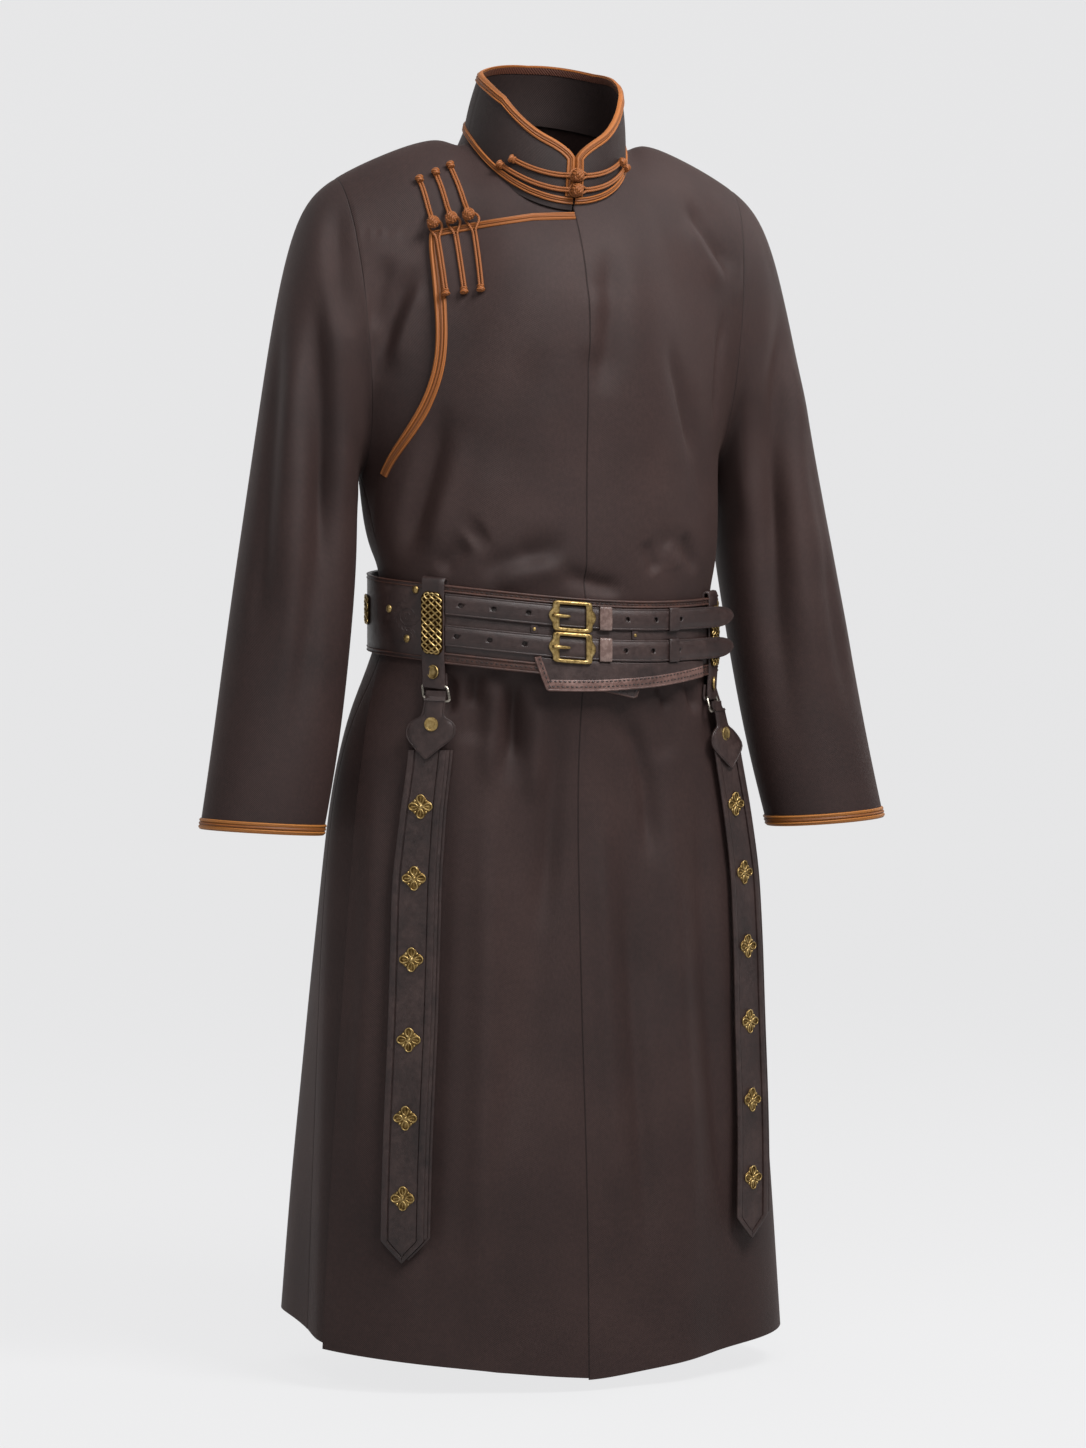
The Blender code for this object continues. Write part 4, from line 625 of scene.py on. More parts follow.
NARROW_FOLDS = [
    *fold_rows("body", "front", [
        (6.3, 6.9, -155, -130, -171, -165, -185, -225), (-5.8, 8, -149, -145, -166, -185, -176, -235),
        (5.8, 7.5, -176, -120, -187, -160, -193, -200), (7.7, 8, -132, -266, -152, -355, -163, -416),
        (-5.3, 9.2, -116, -290, -136, -370, -143, -420), (6.1, 6.9, -112, -401, -137, -430),
        (4.7, 7.5, -28, -411, -73, -418, -105, -431), (-4.3, 8, -20, -425, -62, -431, -90, -440),
        (5.7, 6.3, -28, -430, 4, -441, 41, -448), (5.8, 9.2, 30, -109, 18, -205, 12, -260),
        (-4.5, 10.3, 12, -150, 2, -230), (6.3, 8, 134, -61, 161, -102, 190, -132),
        (-4.7, 9.2, 128, -82, 152, -120, 174, -150), (5.7, 5.5, 172, -169, 163, -221, 160, -290),
        (5.3, 8, 89, -204, 117, -274, 133, -324), (5, 6, 63, -400, 79, -433),
        (5, 5.5, 112, -392, 133, -433), (-3.2, 6, 92, -400, 106, -430),
        (8.8, 5.5, -102, -524, -106, -562), (10.2, 6, -69, -530, -65, -618),
        (-7.4, 8, -85, -530, -88, -640), (8.2, 7.5, 36, -560, 76, -620, 84, -719),
        (7.7, 5.5, 83, -534, 103, -566), (7.4, 6, 122, -530, 137, -572),
        (7.9, 6, -126, -528, -128, -574), (-6.6, 7, -44, -545, -46, -660),
        (6, 8, -22, -565, -26, -692, -38, -789),
    ]),
    *fold_rows("body", "back", [
        (3.8, 6.5, -158, -150, -140, -230, -120, -300), (3.5, 6, 160, -160, 148, -250, 130, -340),
        (4.2, 6, -110, -395, -70, -420), (3.8, 6.5, 20, -412, 70, -405, 105, -420),
        (-3.2, 7.5, -40, -405, 10, -418), (6.5, 6, -120, -515, -126, -590),
        (6.9, 6, -62, -512, -66, -610), (6.5, 5.5, -12, -512, -12, -580), (6.9, 6, 34, -512, 40, -620),
        (6.1, 6, 90, -512, 98, -600), (-5.1, 8, 62, -530, 68, -640),
    ]),
    *fold_rows("sleeve", "front", [
        (7.9, 9.5, -240, -130, -246, -225, -243, -326, -238, -426),
        (-6, 10.8, -226, -150, -226, -260, -222, -380), (7.3, 8.8, -216, -66, -225, -134, -219, -205),
        (-6.6, 12.1, -254, -190, -274, -330, -282, -470),
        (7.9, 9.5, 247, -140, 236, -271, 236, -374, 244, -452),
        (-7.3, 10.8, 214, -200, 208, -300, 212, -400), (-6, 12.1, 256, -200, 274, -330, 292, -450),
    ]),
    *fold_rows("sleeve", "back", [
        (7.3, 9.5, -226, -140, -236, -240, -240, -330), (7.3, 9.5, 222, -150, 236, -260, 244, -360),
        (-6.6, 12.1, 256, -200, 288, -360, 308, -500),
    ]),
    *fold_rows("body", "front", [
        (-7, 11, -89, -600, -93, -800, -104, -1050, -112, -1190),
        (6, 10, -128, -590, -137, -780, -150, -1000, -158, -1180),
        (-7.1, 10, 24, -640, 27, -820, 34, -1080), (7.1, 9, 52, -700, 60, -900, 68, -1120),
        (-7, 12, 104, -600, 110, -820, 124, -1100), (7, 10, 140, -620, 150, -840, 166, -1100),
        (-4.5, 9, -186, -620, -196, -800, -214, -1050),
    ]),
    *fold_rows("body", "back", [
        (6, 11, -150, -620, -166, -850, -180, -1100), (-5.4, 11, -30, -620, -34, -860, -40, -1120),
        (5.4, 10, 5, -700, 8, -900, 10, -1140), (-5.1, 11, 110, -640, 124, -860, 138, -1100),
    ]),
    *fold_rows("sleeve", "front", [
        (5.5, 10, -230, -200, -241, -360, -261, -520, -280, -620),
        (4.5, 8, -266, -170, -289, -360, -311, -520), (-4, 9, -250, -250, -266, -400, -286, -560),
        (6, 10, 209, -200, 225, -360, 242, -520, 255, -620),
        (-4.5, 10, 232, -240, 256, -400, 282, -560), (4.5, 8, 262, -250, 290, -420, 318, -580),
    ]),
    *fold_rows("sleeve", "back", [
        (5, 9, -262, -210, -285, -380, -305, -560), (5, 9, 246, -220, 272, -400, 296, -570),
        (-4, 10, -240, -300, -256, -440, -270, -600),
    ]),
]
FOLD_END = 0.35         # a fold fades over this share of its length at each end

# waves that open below the belt and are deepest at the hem: out over 0, in under 0
Flute = namedtuple("Flute", "angle depth spread")
FLUTES = [Flute(*row) for row in (
    (-150, -0.010, 11), (-128, 0.007, 12), (-105, -0.008, 9), (-36, -0.006, 11), (22, -0.006, 12),
    (57, -0.008, 8), (84, 0.005, 10), (112, -0.010, 11), (137, 0.008, 12), (162, -0.009, 12))]
BELT_CALM = 0.030       # broad folds die away this far above and below the belt
BELT_CALM_NARROW = 0.007
SEAM_DIP = 0.00035
print(len(BROAD_FOLDS), "broad and", len(NARROW_FOLDS), "narrow folds")

# %% [markdown]
# ## Feeling the surface
#
# Braid, frogs, belt and straps all lie on the cloth. A ray that is shot at the cloth says where it is
# and which way it faces, so each thing can be laid on it. Blender's BVH tree does that quickly.

# %% Rays and distances


class Skin:
    """A surface that answers where a ray meets it, and which way it faces there."""

    def __init__(self, points, quads):
        self.tree = BVHTree.FromPolygons(points.tolist(), quads.tolist())

    def cast(self, origin, way):
        place, normal, _, _ = self.tree.ray_cast(Vector(origin), Vector(way).normalized())
        if place is None:
            raise ValueError(f"nothing lies on the way from {tuple(origin)} along {tuple(way)}")
        return place, normal

    def around(self, angle, z, lift=0.0):
        """The point at this angle and height from the body's axis, lifted off the surface."""
        turn = math.radians(angle)
        way = Vector((math.sin(turn), -math.cos(turn), 0))
        place, normal = self.cast((0, 0, z), way)
        return place + (normal if normal.dot(way) > 0 else -normal) * lift

    def seen(self, x, z, face="front", lift=0.0):
        """The point that is seen at (x, z) from the front or the back."""
        side = -1.0 if face == "front" else 1.0
        place, normal = self.cast((x, side, z), (0, -side, 0))
        return place + (normal if normal.y * side > 0 else -normal) * lift


def skin_of(points, cloth, wanted):
    keep = np.isin(cloth.tags, [PANELS.index(name) for name in wanted])
    return Skin(points, cloth.quads[keep])


def distance_along(points, line):
    """Each point's distance to a polyline, and how far along it that is, from 0 to 1."""
    line = [np.array(p, float) for p in line]
    lengths = [np.linalg.norm(b - a) for a, b in zip(line, line[1:])]
    best = np.full(len(points), np.inf)
    along = np.zeros(len(points))
    done = 0.0
    for a, b, length in zip(line, line[1:], lengths):
        share = np.clip((points - a) @ (b - a) / length ** 2, 0, 1)
        away = np.linalg.norm(points - (a + share[:, None] * (b - a)), axis=1)
        nearer = away < best
        best[nearer] = away[nearer]
        along[nearer] = (done + share[nearer] * length) / sum(lengths)
        done += length
    return best, along


def smooth_step(value):
    share = np.clip(value, 0, 1)
    return share * share * (3 - 2 * share)


def body_angles(points):
    return np.degrees(np.arctan2(points[:, 0], -points[:, 1]))


def belt_distance(points):
    """How far each point is above or below the belt's band, 0 inside it."""
    turn = np.radians(body_angles(points))
    middle = BELT_MID - BELT_DIP_FRONT * np.cos(turn) - BELT_DIP_LEFT * np.sin(turn)
    return np.maximum(np.abs(points[:, 2] - middle) - BELT_HEIGHT / 2, 0)


def skirt_drop(points):
    """0 at the belt's lower edge, 1 at the front hem."""
    low = BELT_MID - BELT_HEIGHT / 2
    return np.clip((low - points[:, 2]) / (low - HEM_FRONT_Z), 0, 1)


def rounded_line(line):
    """A fold's line of points with its bends rounded off."""
    line = [np.array(p, float) for p in line]
    for _ in range(2 if len(line) > 2 else 0):
        cut = [line[0]]
        for a, b in zip(line, line[1:]):
            cut += [a * 0.75 + b * 0.25, a * 0.25 + b * 0.75]
        line = cut + [line[-1]]
    return line


def folded(cloth):
    """The cloth's points moved along their normals by every fold and flute."""
    normals = normals_of(cloth.points, cloth.quads)
    on_sleeve = np.zeros(len(cloth.points), bool)
    sleeve_quads = np.isin(cloth.tags, [PANELS.index(name) for name in SLEEVES])
    on_sleeve[cloth.quads[sleeve_quads].ravel()] = True
    own_skin = {"body": skin_of(cloth.points, cloth, BODY), "sleeve": skin_of(cloth.points, cloth, SLEEVES)}
    away_from_belt = belt_distance(cloth.points)
    inward = np.zeros(len(cloth.points))
    for folds, calm_height in ((BROAD_FOLDS, BELT_CALM), (NARROW_FOLDS, BELT_CALM_NARROW)):
        calm = np.where(on_sleeve, 1, smooth_step(away_from_belt / calm_height))
        for fold in folds:
            line = rounded_line([own_skin[fold.piece].seen(x, z, fold.face) for x, z in fold.points])
            away, along = distance_along(cloth.points, line)
            fade = smooth_step(np.minimum(along, 1 - along) / FOLD_END + 0.15)
            push = fold.depth * fade * np.exp(-0.5 * (away / fold.spread) ** 2)
            inward += np.where(on_sleeve == (fold.piece == "sleeve"), push * calm, 0)
    angles = body_angles(cloth.points)
    calm = smooth_step(away_from_belt / BELT_CALM)
    drop = skirt_drop(cloth.points)
    for flute in FLUTES:
        turn = (angles - flute.angle + 180) % 360 - 180
        wave = flute.depth * drop ** 0.8 * np.exp(-0.5 * (turn / flute.spread) ** 2)
        inward -= np.where(on_sleeve, 0, wave * calm)
    return cloth.points - normals * inward[:, None]


folded_points = folded(robe)
folded_normals = normals_of(folded_points, robe.quads)
smooth_body = skin_of(robe.points, robe, BODY)
body_skin = skin_of(folded_points, robe, BODY)
sleeve_skin = skin_of(folded_points, robe, SLEEVES)
moved = np.linalg.norm(folded_points - robe.points, axis=1)
print("deepest fold", round(float(moved.max()) * 1000, 1), "mm")

# %% [markdown]
# ## The wrap and what it covers
#
# The right front is two layers. The outer one, the wrap, crosses the chest to the wearer's right side
# and hangs free from the armpit down. The one beneath it lies a few millimetres further in, and at the
# hem it swings in more, so that the wrap's free edge throws a shadow on it.

# %% Edges of the wrap
# the free edge from the hem up to the corner by the frogs: (z, angle)
WRAP_EDGE = [
    (-1.230, -82), (-0.900, -82), (-0.600, -81), (-0.520, -83), (-0.430, -84), (-0.360, -84),
    (-0.330, -80), (-0.300, -70), (-0.270, -63), (-0.239, -59), (-0.211, -58), (-0.177, -59),
    (-0.137, -61.5), (-0.100, -65),
]
WRAP_CORNER_ANGLE = -65
WRAP_CORNER_Z = WRAP_EDGE[-1][0]
# the top edge from that corner to the centre front: (angle, z)
WRAP_TOP = [(WRAP_CORNER_ANGLE, -0.098), (-51, -0.0905), (-24, -0.0815), (0, -0.0795)]
UNDER_RECESS = 0.0048
UNDER_DROP = 0.026
UNDER_SHORT = 0.014
UNDER_STOP_ANGLE = -2.0
UNDER_STOP_Z = -0.115
WRAP_HEM_SHARE = 0.84
WRAP_HEM_LIFT = 0.0035
CENTRE_GAP_ANGLE = 0.12
SWING_START, SWING_END = -48, -96       # near the hem the under panel swings in between these angles
SWING_FADE = 22
HIDDEN_START = -84      # from here to the front the under panel's hem is hidden, and kept short
HIDDEN_FADE = 14
FRONT_LIMIT = 1.0
COVER_START = 0.006     # the under panel is sunk in full this far beyond the wrap's edge
COVER_FADE = 0.040      # and rises to its own level over this distance more
EASE_STEPS = 240
EASE_REACH = 7          # table corners are rounded over this many steps to each side


def eased(value, places, levels):
    """Interpolation through table values with the corners of the table rounded off."""
    order = np.argsort(places)
    places, levels = np.array(places, float)[order], np.array(levels, float)[order]
    dense = np.linspace(places[0], places[-1], EASE_STEPS)
    plain = np.interp(dense, places, levels)
    kernel = np.hanning(2 * EASE_REACH + 1)
    padded = np.pad(plain, EASE_REACH, mode="edge")
    soft = np.convolve(padded, kernel / kernel.sum(), mode="valid")
    return np.interp(value, dense, soft)


def wrap_edge_angle(z):
    return eased(z, *zip(*WRAP_EDGE))


def wrap_top_z(angle):
    return np.interp(angle, *zip(*WRAP_TOP))


def recessed(points, normals):
    """The cloth behind the wrap: pushed in under it, and fading to nothing away from it."""
    angles = body_angles(points)
    radius = np.hypot(points[:, 0], points[:, 1])
    beyond = np.radians(np.maximum(wrap_edge_angle(points[:, 2]) - angles, 0)) * radius
    above = np.maximum(points[:, 2] - wrap_top_z(np.maximum(angles, WRAP_CORNER_ANGLE)), 0)
    away = np.where(points[:, 2] > WRAP_CORNER_Z, np.hypot(above, beyond * 0.6), beyond)
    cover = 1 - smooth_step((away - COVER_START) / COVER_FADE)
    drop = skirt_drop(points)
    side = (smooth_step((SWING_START - angles) / SWING_FADE)
            * (1 - smooth_step((SWING_END - angles) / SWING_FADE)))
    front_side = (angles < FRONT_LIMIT) & (angles > -130)
    push = np.where(front_side, UNDER_RECESS * cover + UNDER_DROP * drop ** 1.1 * side, 0)
    sunk = points - normals * push[:, None]
    hidden = np.where((angles < FRONT_LIMIT) & (angles > -110),
                      smooth_step((angles - HIDDEN_START) / HIDDEN_FADE), 0)
    sunk[:, 2] += UNDER_SHORT * hidden * drop ** 6
    return sunk


def seam_points(cloth):
    """True at each point where two panels of the robe are sewn together."""
    uses = np.zeros(len(cloth.points), int)
    for tag in range(len(PANELS)):
        touched = np.zeros(len(cloth.points), bool)
        touched[cloth.quads[cloth.tags == tag].ravel()] = True
        uses += touched
    return uses > 1


sewn = seam_points(robe)
folded_points = folded_points - folded_normals * (sewn * SEAM_DIP)[:, None]
sunk_points = recessed(folded_points, folded_normals)
sunk_normals = normals_of(sunk_points, robe.quads)
folded_normals = normals_of(folded_points, robe.quads)
under_skin = skin_of(sunk_points, robe, ("front_under", "sleeve_right"))
print(int(sewn.sum()), "points lie on seams")

# %% [markdown]
# ## Cutting out the panels
#
# Each panel becomes a thin closed shell: an outer sheet, an inner sheet 1.6 mm behind it and a rim.
# A Solidify modifier could do that, but it would shade each panel on its own and leave a hard line
# where two meet. Here the walls are made by hand and keep the whole robe's normals, so light runs
# across a seam and only the thread's own dip shows, with the painted shade that the cloth's colour
# carries along it. Every panel says what size it was cut to.

# %% Shells of cloth
CLOTH_WALL = 0.0016
NO_SEAM = 0.05


def nearest_distance(points, targets):
    if len(targets) == 0:
        return np.full(len(points), NO_SEAM)
    tree = KDTree(len(targets))
    for index, target in enumerate(targets.tolist()):
        tree.insert(target, index)
    tree.balance()
    return np.array([min(tree.find(point)[2], NO_SEAM) for point in points.tolist()])


def shell(name, points, normals, quads, uvs, wall, material, seam=None):
    """A sheet of quads with a wall behind it. normals are the sheet's own smooth ones."""
    used, corners = np.unique(quads, return_inverse=True)
    corners = corners.reshape(-1, 4)
    outer, ways = points[used], normals[used]
    count = len(used)
    starts = corners.ravel()
    ends = np.roll(corners, -1, axis=1).ravel()
    keys = starts * (count + 1) + ends
    lonely = ~np.isin(keys, ends * (count + 1) + starts)
    flat_uv = uvs.reshape(-1, 2)
    next_uv = np.roll(uvs, -1, axis=1).reshape(-1, 2)
    a, b = starts[lonely], ends[lonely]
    rim = np.stack([b, a, a + count, b + count], axis=1)
    rim_uv = np.stack([next_uv[lonely], flat_uv[lonely], flat_uv[lonely], next_uv[lonely]], axis=1)
    faces = np.concatenate([corners, corners[:, ::-1] + count, rim])
    all_uv = np.concatenate([uvs, uvs[:, ::-1], rim_uv])
    mesh = bpy.data.meshes.new(name)
    mesh.from_pydata(np.concatenate([outer, outer - ways * wall]).tolist(), [], faces.tolist())
    mesh.uv_layers.new(name="UVMap").data.foreach_set("uv", all_uv.ravel())
    mesh.attributes.new("seam", "FLOAT", "POINT")
    near = np.full(count, NO_SEAM) if seam is None else seam[used]
    mesh.attributes["seam"].data.foreach_set("value", np.concatenate([near, near]))
    mesh.polygons.foreach_set("use_smooth", [True] * len(mesh.polygons))
    mesh.normals_split_custom_set_from_vertices(np.concatenate([ways, -ways]).tolist())
    mesh.materials.append(material)
    return link(bpy.data.objects.new(name, mesh))


def sheet_area(obj):
    """Half of a thin shell's surface, which is the area of its cloth."""
    return sum(face.area for face in obj.data.polygons) / 2


def finish_piece(obj, slot, *nodes):
    """Every piece rides on the one rigid body and may stand for CAD nodes; its slot is not used."""
    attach(obj, "root")
    if nodes:
        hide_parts(*nodes)
    return obj


seam_away = nearest_distance(folded_points, folded_points[sewn])
ARMHOLE_BLEND = 0.035     # the right sleeve follows the sunk panel only this near to the armhole


def right_sleeve_points():
    """The sleeve where the folds left it, but drawn in along the armhole to meet the under panel."""
    in_sleeve = np.zeros(len(folded_points), bool)
    in_sleeve[robe.quads[robe.tags == PANELS.index("sleeve_right")].ravel()] = True
    away = nearest_distance(folded_points, folded_points[sewn & in_sleeve])
    share = 1 - smooth_step(away / ARMHOLE_BLEND)
    return folded_points + (sunk_points - folded_points) * share[:, None]


def keep_cloth(node, piece):
    """Finishes a cloth piece and prints its size."""
    finish_piece(piece, "cloth", node)
    print(piece.name, len(piece.data.polygons) * 2, "triangles,", round(sheet_area(piece), 3), "m2 of cloth")


sleeve_points = right_sleeve_points()
shapes = {"front_under": (sunk_points, sunk_normals), "back": (sunk_points, sunk_normals),
          "sleeve_right": (sleeve_points, normals_of(sleeve_points, robe.quads))}
for panel_name in PANELS:
    shaped, ways = shapes.get(panel_name, (folded_points, folded_normals))
    keep = robe.tags == PANELS.index(panel_name)
    if panel_name == "front_under":
        corner_angles = body_angles(robe.points)[robe.quads].max(axis=1)
        middle_heights = robe.points[robe.quads][:, :, 2].mean(axis=1)
        keep &= (corner_angles < UNDER_STOP_ANGLE) | (middle_heights > UNDER_STOP_Z)
    keep_cloth(panel_name, shell("robe_" + panel_name, shaped, ways, robe.quads[keep], robe.uvs[keep],
                                 CLOTH_WALL, suiting, seam_away))

# %% The wrap
WRAP_COLUMNS = 88
WRAP_ROWS = 236
WRAP_HEAD_Z = -0.08       # a first guess of its top and length, which the loop below makes exact
WRAP_LENGTH = 1.13
ROW_CROWDING = 1.04       # rows lie a little closer together at the top, where the folds are small


def wrap_place(share, down):
    """Angle and height at a share across the wrap, from the centre front, and a share down it."""
    z = WRAP_HEAD_Z - WRAP_LENGTH * down
    for _ in range(4):
        angle = -CENTRE_GAP_ANGLE + share * (float(wrap_edge_angle(z)) + CENTRE_GAP_ANGLE)
        hem = hem_height(angle * WRAP_HEM_SHARE) + WRAP_HEM_LIFT
        top = float(wrap_top_z(angle))
        z = top + (hem - top) * down
    return angle, z


def make_wrap():
    shares = np.linspace(0, 1, WRAP_COLUMNS + 1)
    downs = np.linspace(0, 1, WRAP_ROWS + 1) ** ROW_CROWDING
    points, uvs = [], []
    for down in downs:
        for share in shares:
            angle, z = wrap_place(share, down)
            points.append(body_skin.around(angle, z))
            uvs.append((angle * COLUMNS / 360 * COLUMN_CLOTH, z))
    points = np.array(points)
    uvs = np.array(uvs)
    across = WRAP_COLUMNS + 1
    first = (np.arange(WRAP_ROWS)[:, None] * across + np.arange(WRAP_COLUMNS)[None, :]).ravel()
    quads = np.stack([first, first + 1, first + across + 1, first + across], axis=1)
    normals = normals_of(points, quads)
    if normals[:, 1].mean() > 0:
        quads = quads[:, ::-1]
        normals = -normals
    centre = np.arange(WRAP_ROWS + 1) * across
    points[centre] -= normals[centre] * SEAM_DIP
    away = nearest_distance(points, points[centre])
    return shell("robe_wrap", points, normals, quads, uvs[quads], CLOTH_WALL, suiting, away)


keep_cloth("front_overlap", make_wrap())

# %% [markdown]
# ## One way to make braid, cord and strap
#
# Braid, cords and straps are all the same idea: a small section that travels along a path and lies on
# something. A loft joins the sections into a closed form. Its UV map runs across the section and along
# the path, so a braid's cords and a cord's twist follow every bend. Each form that belongs to one node
# of the record goes into one mesh.

# %% Lofts


def round_turns(count):
    """Angles in radians, evenly round a circle."""
    return [2 * math.pi * n / count for n in range(count)]


class Build:
    """Gathers closed forms into one mesh."""

    def __init__(self):
        self.points, self.faces, self.uvs, self.kinds = [], [], [], []

    def loft(self, rings, kind=0, loop=False, across=None):
        """Joins rings of points. across gives a UV place to each point of a ring."""
        rings = np.array([[tuple(p) for p in ring] for ring in rings])
        count, size = rings.shape[:2]
        base = len(self.points)
        self.points.extend(rings.reshape(-1, 3).tolist())
        if across is None:
            steps = np.linalg.norm(np.roll(rings[0], -1, axis=0) - rings[0], axis=1)
            across = np.concatenate([[0], np.cumsum(steps)])
        else:
            across = np.append(across, across[0])
        middles = rings.mean(axis=1)
        path = np.append(middles, middles[:1], axis=0)
        along = np.concatenate([[0], np.cumsum(np.linalg.norm(np.diff(path, axis=0), axis=1))])
        for j in range(count if loop else count - 1):
            n = (j + 1) % count
            for i in range(size):
                m = (i + 1) % size
                self.faces.append([base + j * size + i, base + j * size + m, base + n * size + m,
                                   base + n * size + i])
                self.uvs.append([(across[i], along[j]), (across[i + 1], along[j]),
                                 (across[i + 1], along[j + 1]), (across[i], along[j + 1])])
                self.kinds.append(kind)
        if not loop:
            for j in (0, count - 1):
                self.faces.append([base + j * size + i for i in range(size)])
                self.uvs.append([(across[i], along[j]) for i in range(size)])
                self.kinds.append(kind)
        return self

    def cord(self, path, radius, kind=0, loop=False, sides=8):
        """A round cord along points; radius may be one number or one for each point."""
        path = [Vector(p) for p in path]
        radii = radius if isinstance(radius, (list, tuple)) else [radius] * len(path)
        rings, side = [], None
        for k, (point, size) in enumerate(zip(path, radii)):
            before = path[k - 1] if k or loop else point
            after = path[(k + 1) % len(path)] if k < len(path) - 1 or loop else point
            along = (after - before).normalized()
            if side is None:
                side = along.orthogonal().normalized()
            side = (side - along * side.dot(along)).normalized()
            up = along.cross(side)
            rings.append([point + (side * math.cos(t) + up * math.sin(t)) * size for t in round_turns(sides)])
        return self.loft(rings, kind, loop)

    def turned(self, base, way, profile, kind=0, sides=16):
        """A turned form: profile is (height along way, radius)."""
        way = Vector(way).normalized()
        side = way.orthogonal().normalized()
        up = way.cross(side)
        rings = [[Vector(base) + way * height + (side * math.cos(t) + up * math.sin(t)) * radius
                  for t in round_turns(sides)] for height, radius in profile]
        return self.loft(rings, kind)

    def make(self, name, *materials, sharp=50):
        mesh = bpy.data.meshes.new(name)
        mesh.from_pydata(self.points, [], self.faces)
        flat = [place for face in self.uvs for place in face]
        mesh.uv_layers.new(name="UVMap").data.foreach_set("uv", np.array(flat).ravel())
        mesh.polygons.foreach_set("material_index", self.kinds)
        mesh.polygons.foreach_set("use_smooth", [True] * len(mesh.polygons))
        bm = bmesh.new()
        bm.from_mesh(mesh)
        bmesh.ops.recalc_face_normals(bm, faces=bm.faces)
        bm.to_mesh(mesh)
        bm.free()
        mesh.set_sharp_from_angle(angle=math.radians(sharp))
        for material in materials:
            mesh.materials.append(material)
        return link(bpy.data.objects.new(name, mesh))


def spaced(line, step):
    """Points along a polyline of flat points, a step apart, with its own corners kept."""
    made = []
    for a, b in zip(line, line[1:]):
        a, b = np.array(a, float), np.array(b, float)
        pieces = max(int(round(np.linalg.norm(b - a) / step)), 1)
        made += [a + (b - a) * k / pieces for k in range(pieces)]
    return made + [np.array(line[-1], float)]


def inward_ways(path, loop=False):
    """At each point of a flat path, the mitred unit step to its left."""
    ways = []
    for k, point in enumerate(path):
        before = path[k - 1] if k or loop else point
        after = path[(k + 1) % len(path)] if k < len(path) - 1 or loop else point
        legs = [leg / np.linalg.norm(leg) for leg in (point - before, after - point)
                if np.linalg.norm(leg) > 1e-9]
        ways_here = [np.array([-leg[1], leg[0]]) for leg in legs]
        mitre = sum(ways_here) / len(ways_here)
        ways.append(mitre / max(mitre @ mitre, 0.35))
    return ways


def lay_section(path, section, lay, ways):
    """Rings of a section (inset, lift) that travels along a flat path and is laid on a surface."""
    return [[lay(*(point + way * inset), lift) for inset, lift in section] for point, way in zip(path, ways)]


print("lofts ready")

# %% [markdown]
# ## Orange braid
#
# The edges are bound with a flat braid of shiny viscose: three cords side by side, the middle one a
# darker red-brown. The threads twist along each cord, which breaks its highlight into short strokes.
# A section with three humps makes the cords; the twist is a diagonal wave in the UV map, which is
# measured in widths of the braid. The wave also darkens the colour in the twist's grooves and lightens
# it on its crests: painted shade and painted highlight.

# %% Braid and cord materials


def braid_material(name, edge, middle, twist, cords=True):
    material, tree, shader = new_material(name)
    uv = add(tree, "ShaderNodeUVMap")
    across = add(tree, "ShaderNodeSeparateXYZ", Vector=uv)
    threads = add(tree, "ShaderNodeTexWave", DIAGONAL, Vector=uv, Scale=BAND / twist, Distortion=0.9,
                  Detail=1.5)
    fuzz = add(tree, "ShaderNodeTexNoise", Vector=uv, Scale=2.2 / twist, Detail=4.0, Roughness=0.7)
    stops = [(0.0, edge), (0.335, middle), (0.665, edge)] if cords else [(0.0, edge), (1.0, edge)]
    base = add(tree, "ShaderNodeValToRGB", {"stops": stops}, Fac=across.outputs["X"])
    base.color_ramp.interpolation = "CONSTANT"
    # painted shade in the twist's grooves and painted highlight on its crests, multiplied into the colour
    shade = add(tree, "ShaderNodeValToRGB", {"stops": [(0.1, 0.42), (0.6, 1.0), (1.0, 1.12)]}, Fac=threads)
    colour = add(tree, "ShaderNodeMix", MULTIPLY, i0=0.62, i6=base, i7=shade)
    worn = add(tree, "ShaderNodeValToRGB", {"stops": [(0.30, 0.62), (0.62, 1.15)]}, Fac=fuzz)
    colour = add(tree, "ShaderNodeMix", MULTIPLY, i0=0.55, i6=colour, i7=worn)
    bump = add(tree, "ShaderNodeBump", Strength=0.9, Distance=0.0003, Height=threads)
    bump = add(tree, "ShaderNodeBump", Strength=0.5, Distance=0.0002, Height=fuzz, Normal=bump)
    finish(tree, shader, Base_Color=colour, Normal=bump, Roughness=0.55, Specular_IOR_Level=0.28,
           Sheen_Weight=0.08, Sheen_Roughness=0.35, Sheen_Tint=rgb("#f0c090"))
    return material


braid = braid_material("orange_viscose_braid", "#874e21", "#70401d", 0.16)
cuff_braid = braid_material("orange_viscose_edging", "#905a27", "#77451b", 0.16)
cord_thread = braid_material("twisted_viscose_cord", "#814a22", "#814a22", 0.0016, cords=False)
binding = braid_material("red_brown_binding", "#46261b", "#46261b", 0.0020, cords=False)
BRAID_STEP = 0.0024       # between the sections along a braid
BRAID_RISE = 0.0007
BRAID_CORD = 0.0012


def braid_section(width, inset=0.0, cords=3):
    """(inset, lift) of a braid's section from its outer edge in: humps, then the flat underside."""
    section = [(inset, 0.0)]
    count = 4 * cords
    for k in range(count + 1):
        hump = abs(math.sin(math.pi * cords * k / count)) ** 0.7
        section.append((inset + width * k / count, BRAID_RISE + BRAID_CORD * hump))
    return section + [(inset + width, 0.0)]


def section_shares(section, width):
    return [max(min(inset / width, 0.999), 0.0) for inset, _ in section]


print("braid of", len(braid_section(0.009)), "points in its section")

# %% [markdown]
# ## The stand collar
#
# The collar is cut double and stiffened, so it is 2.4 mm thick and stands by itself, leaning in a
# little towards the neck. Its front corners are rounded. A braid lies round its outer edge and turns
# over it, a red-brown binding covers the turned edge inside, and another braid hides the seam where
# the collar meets the yoke.

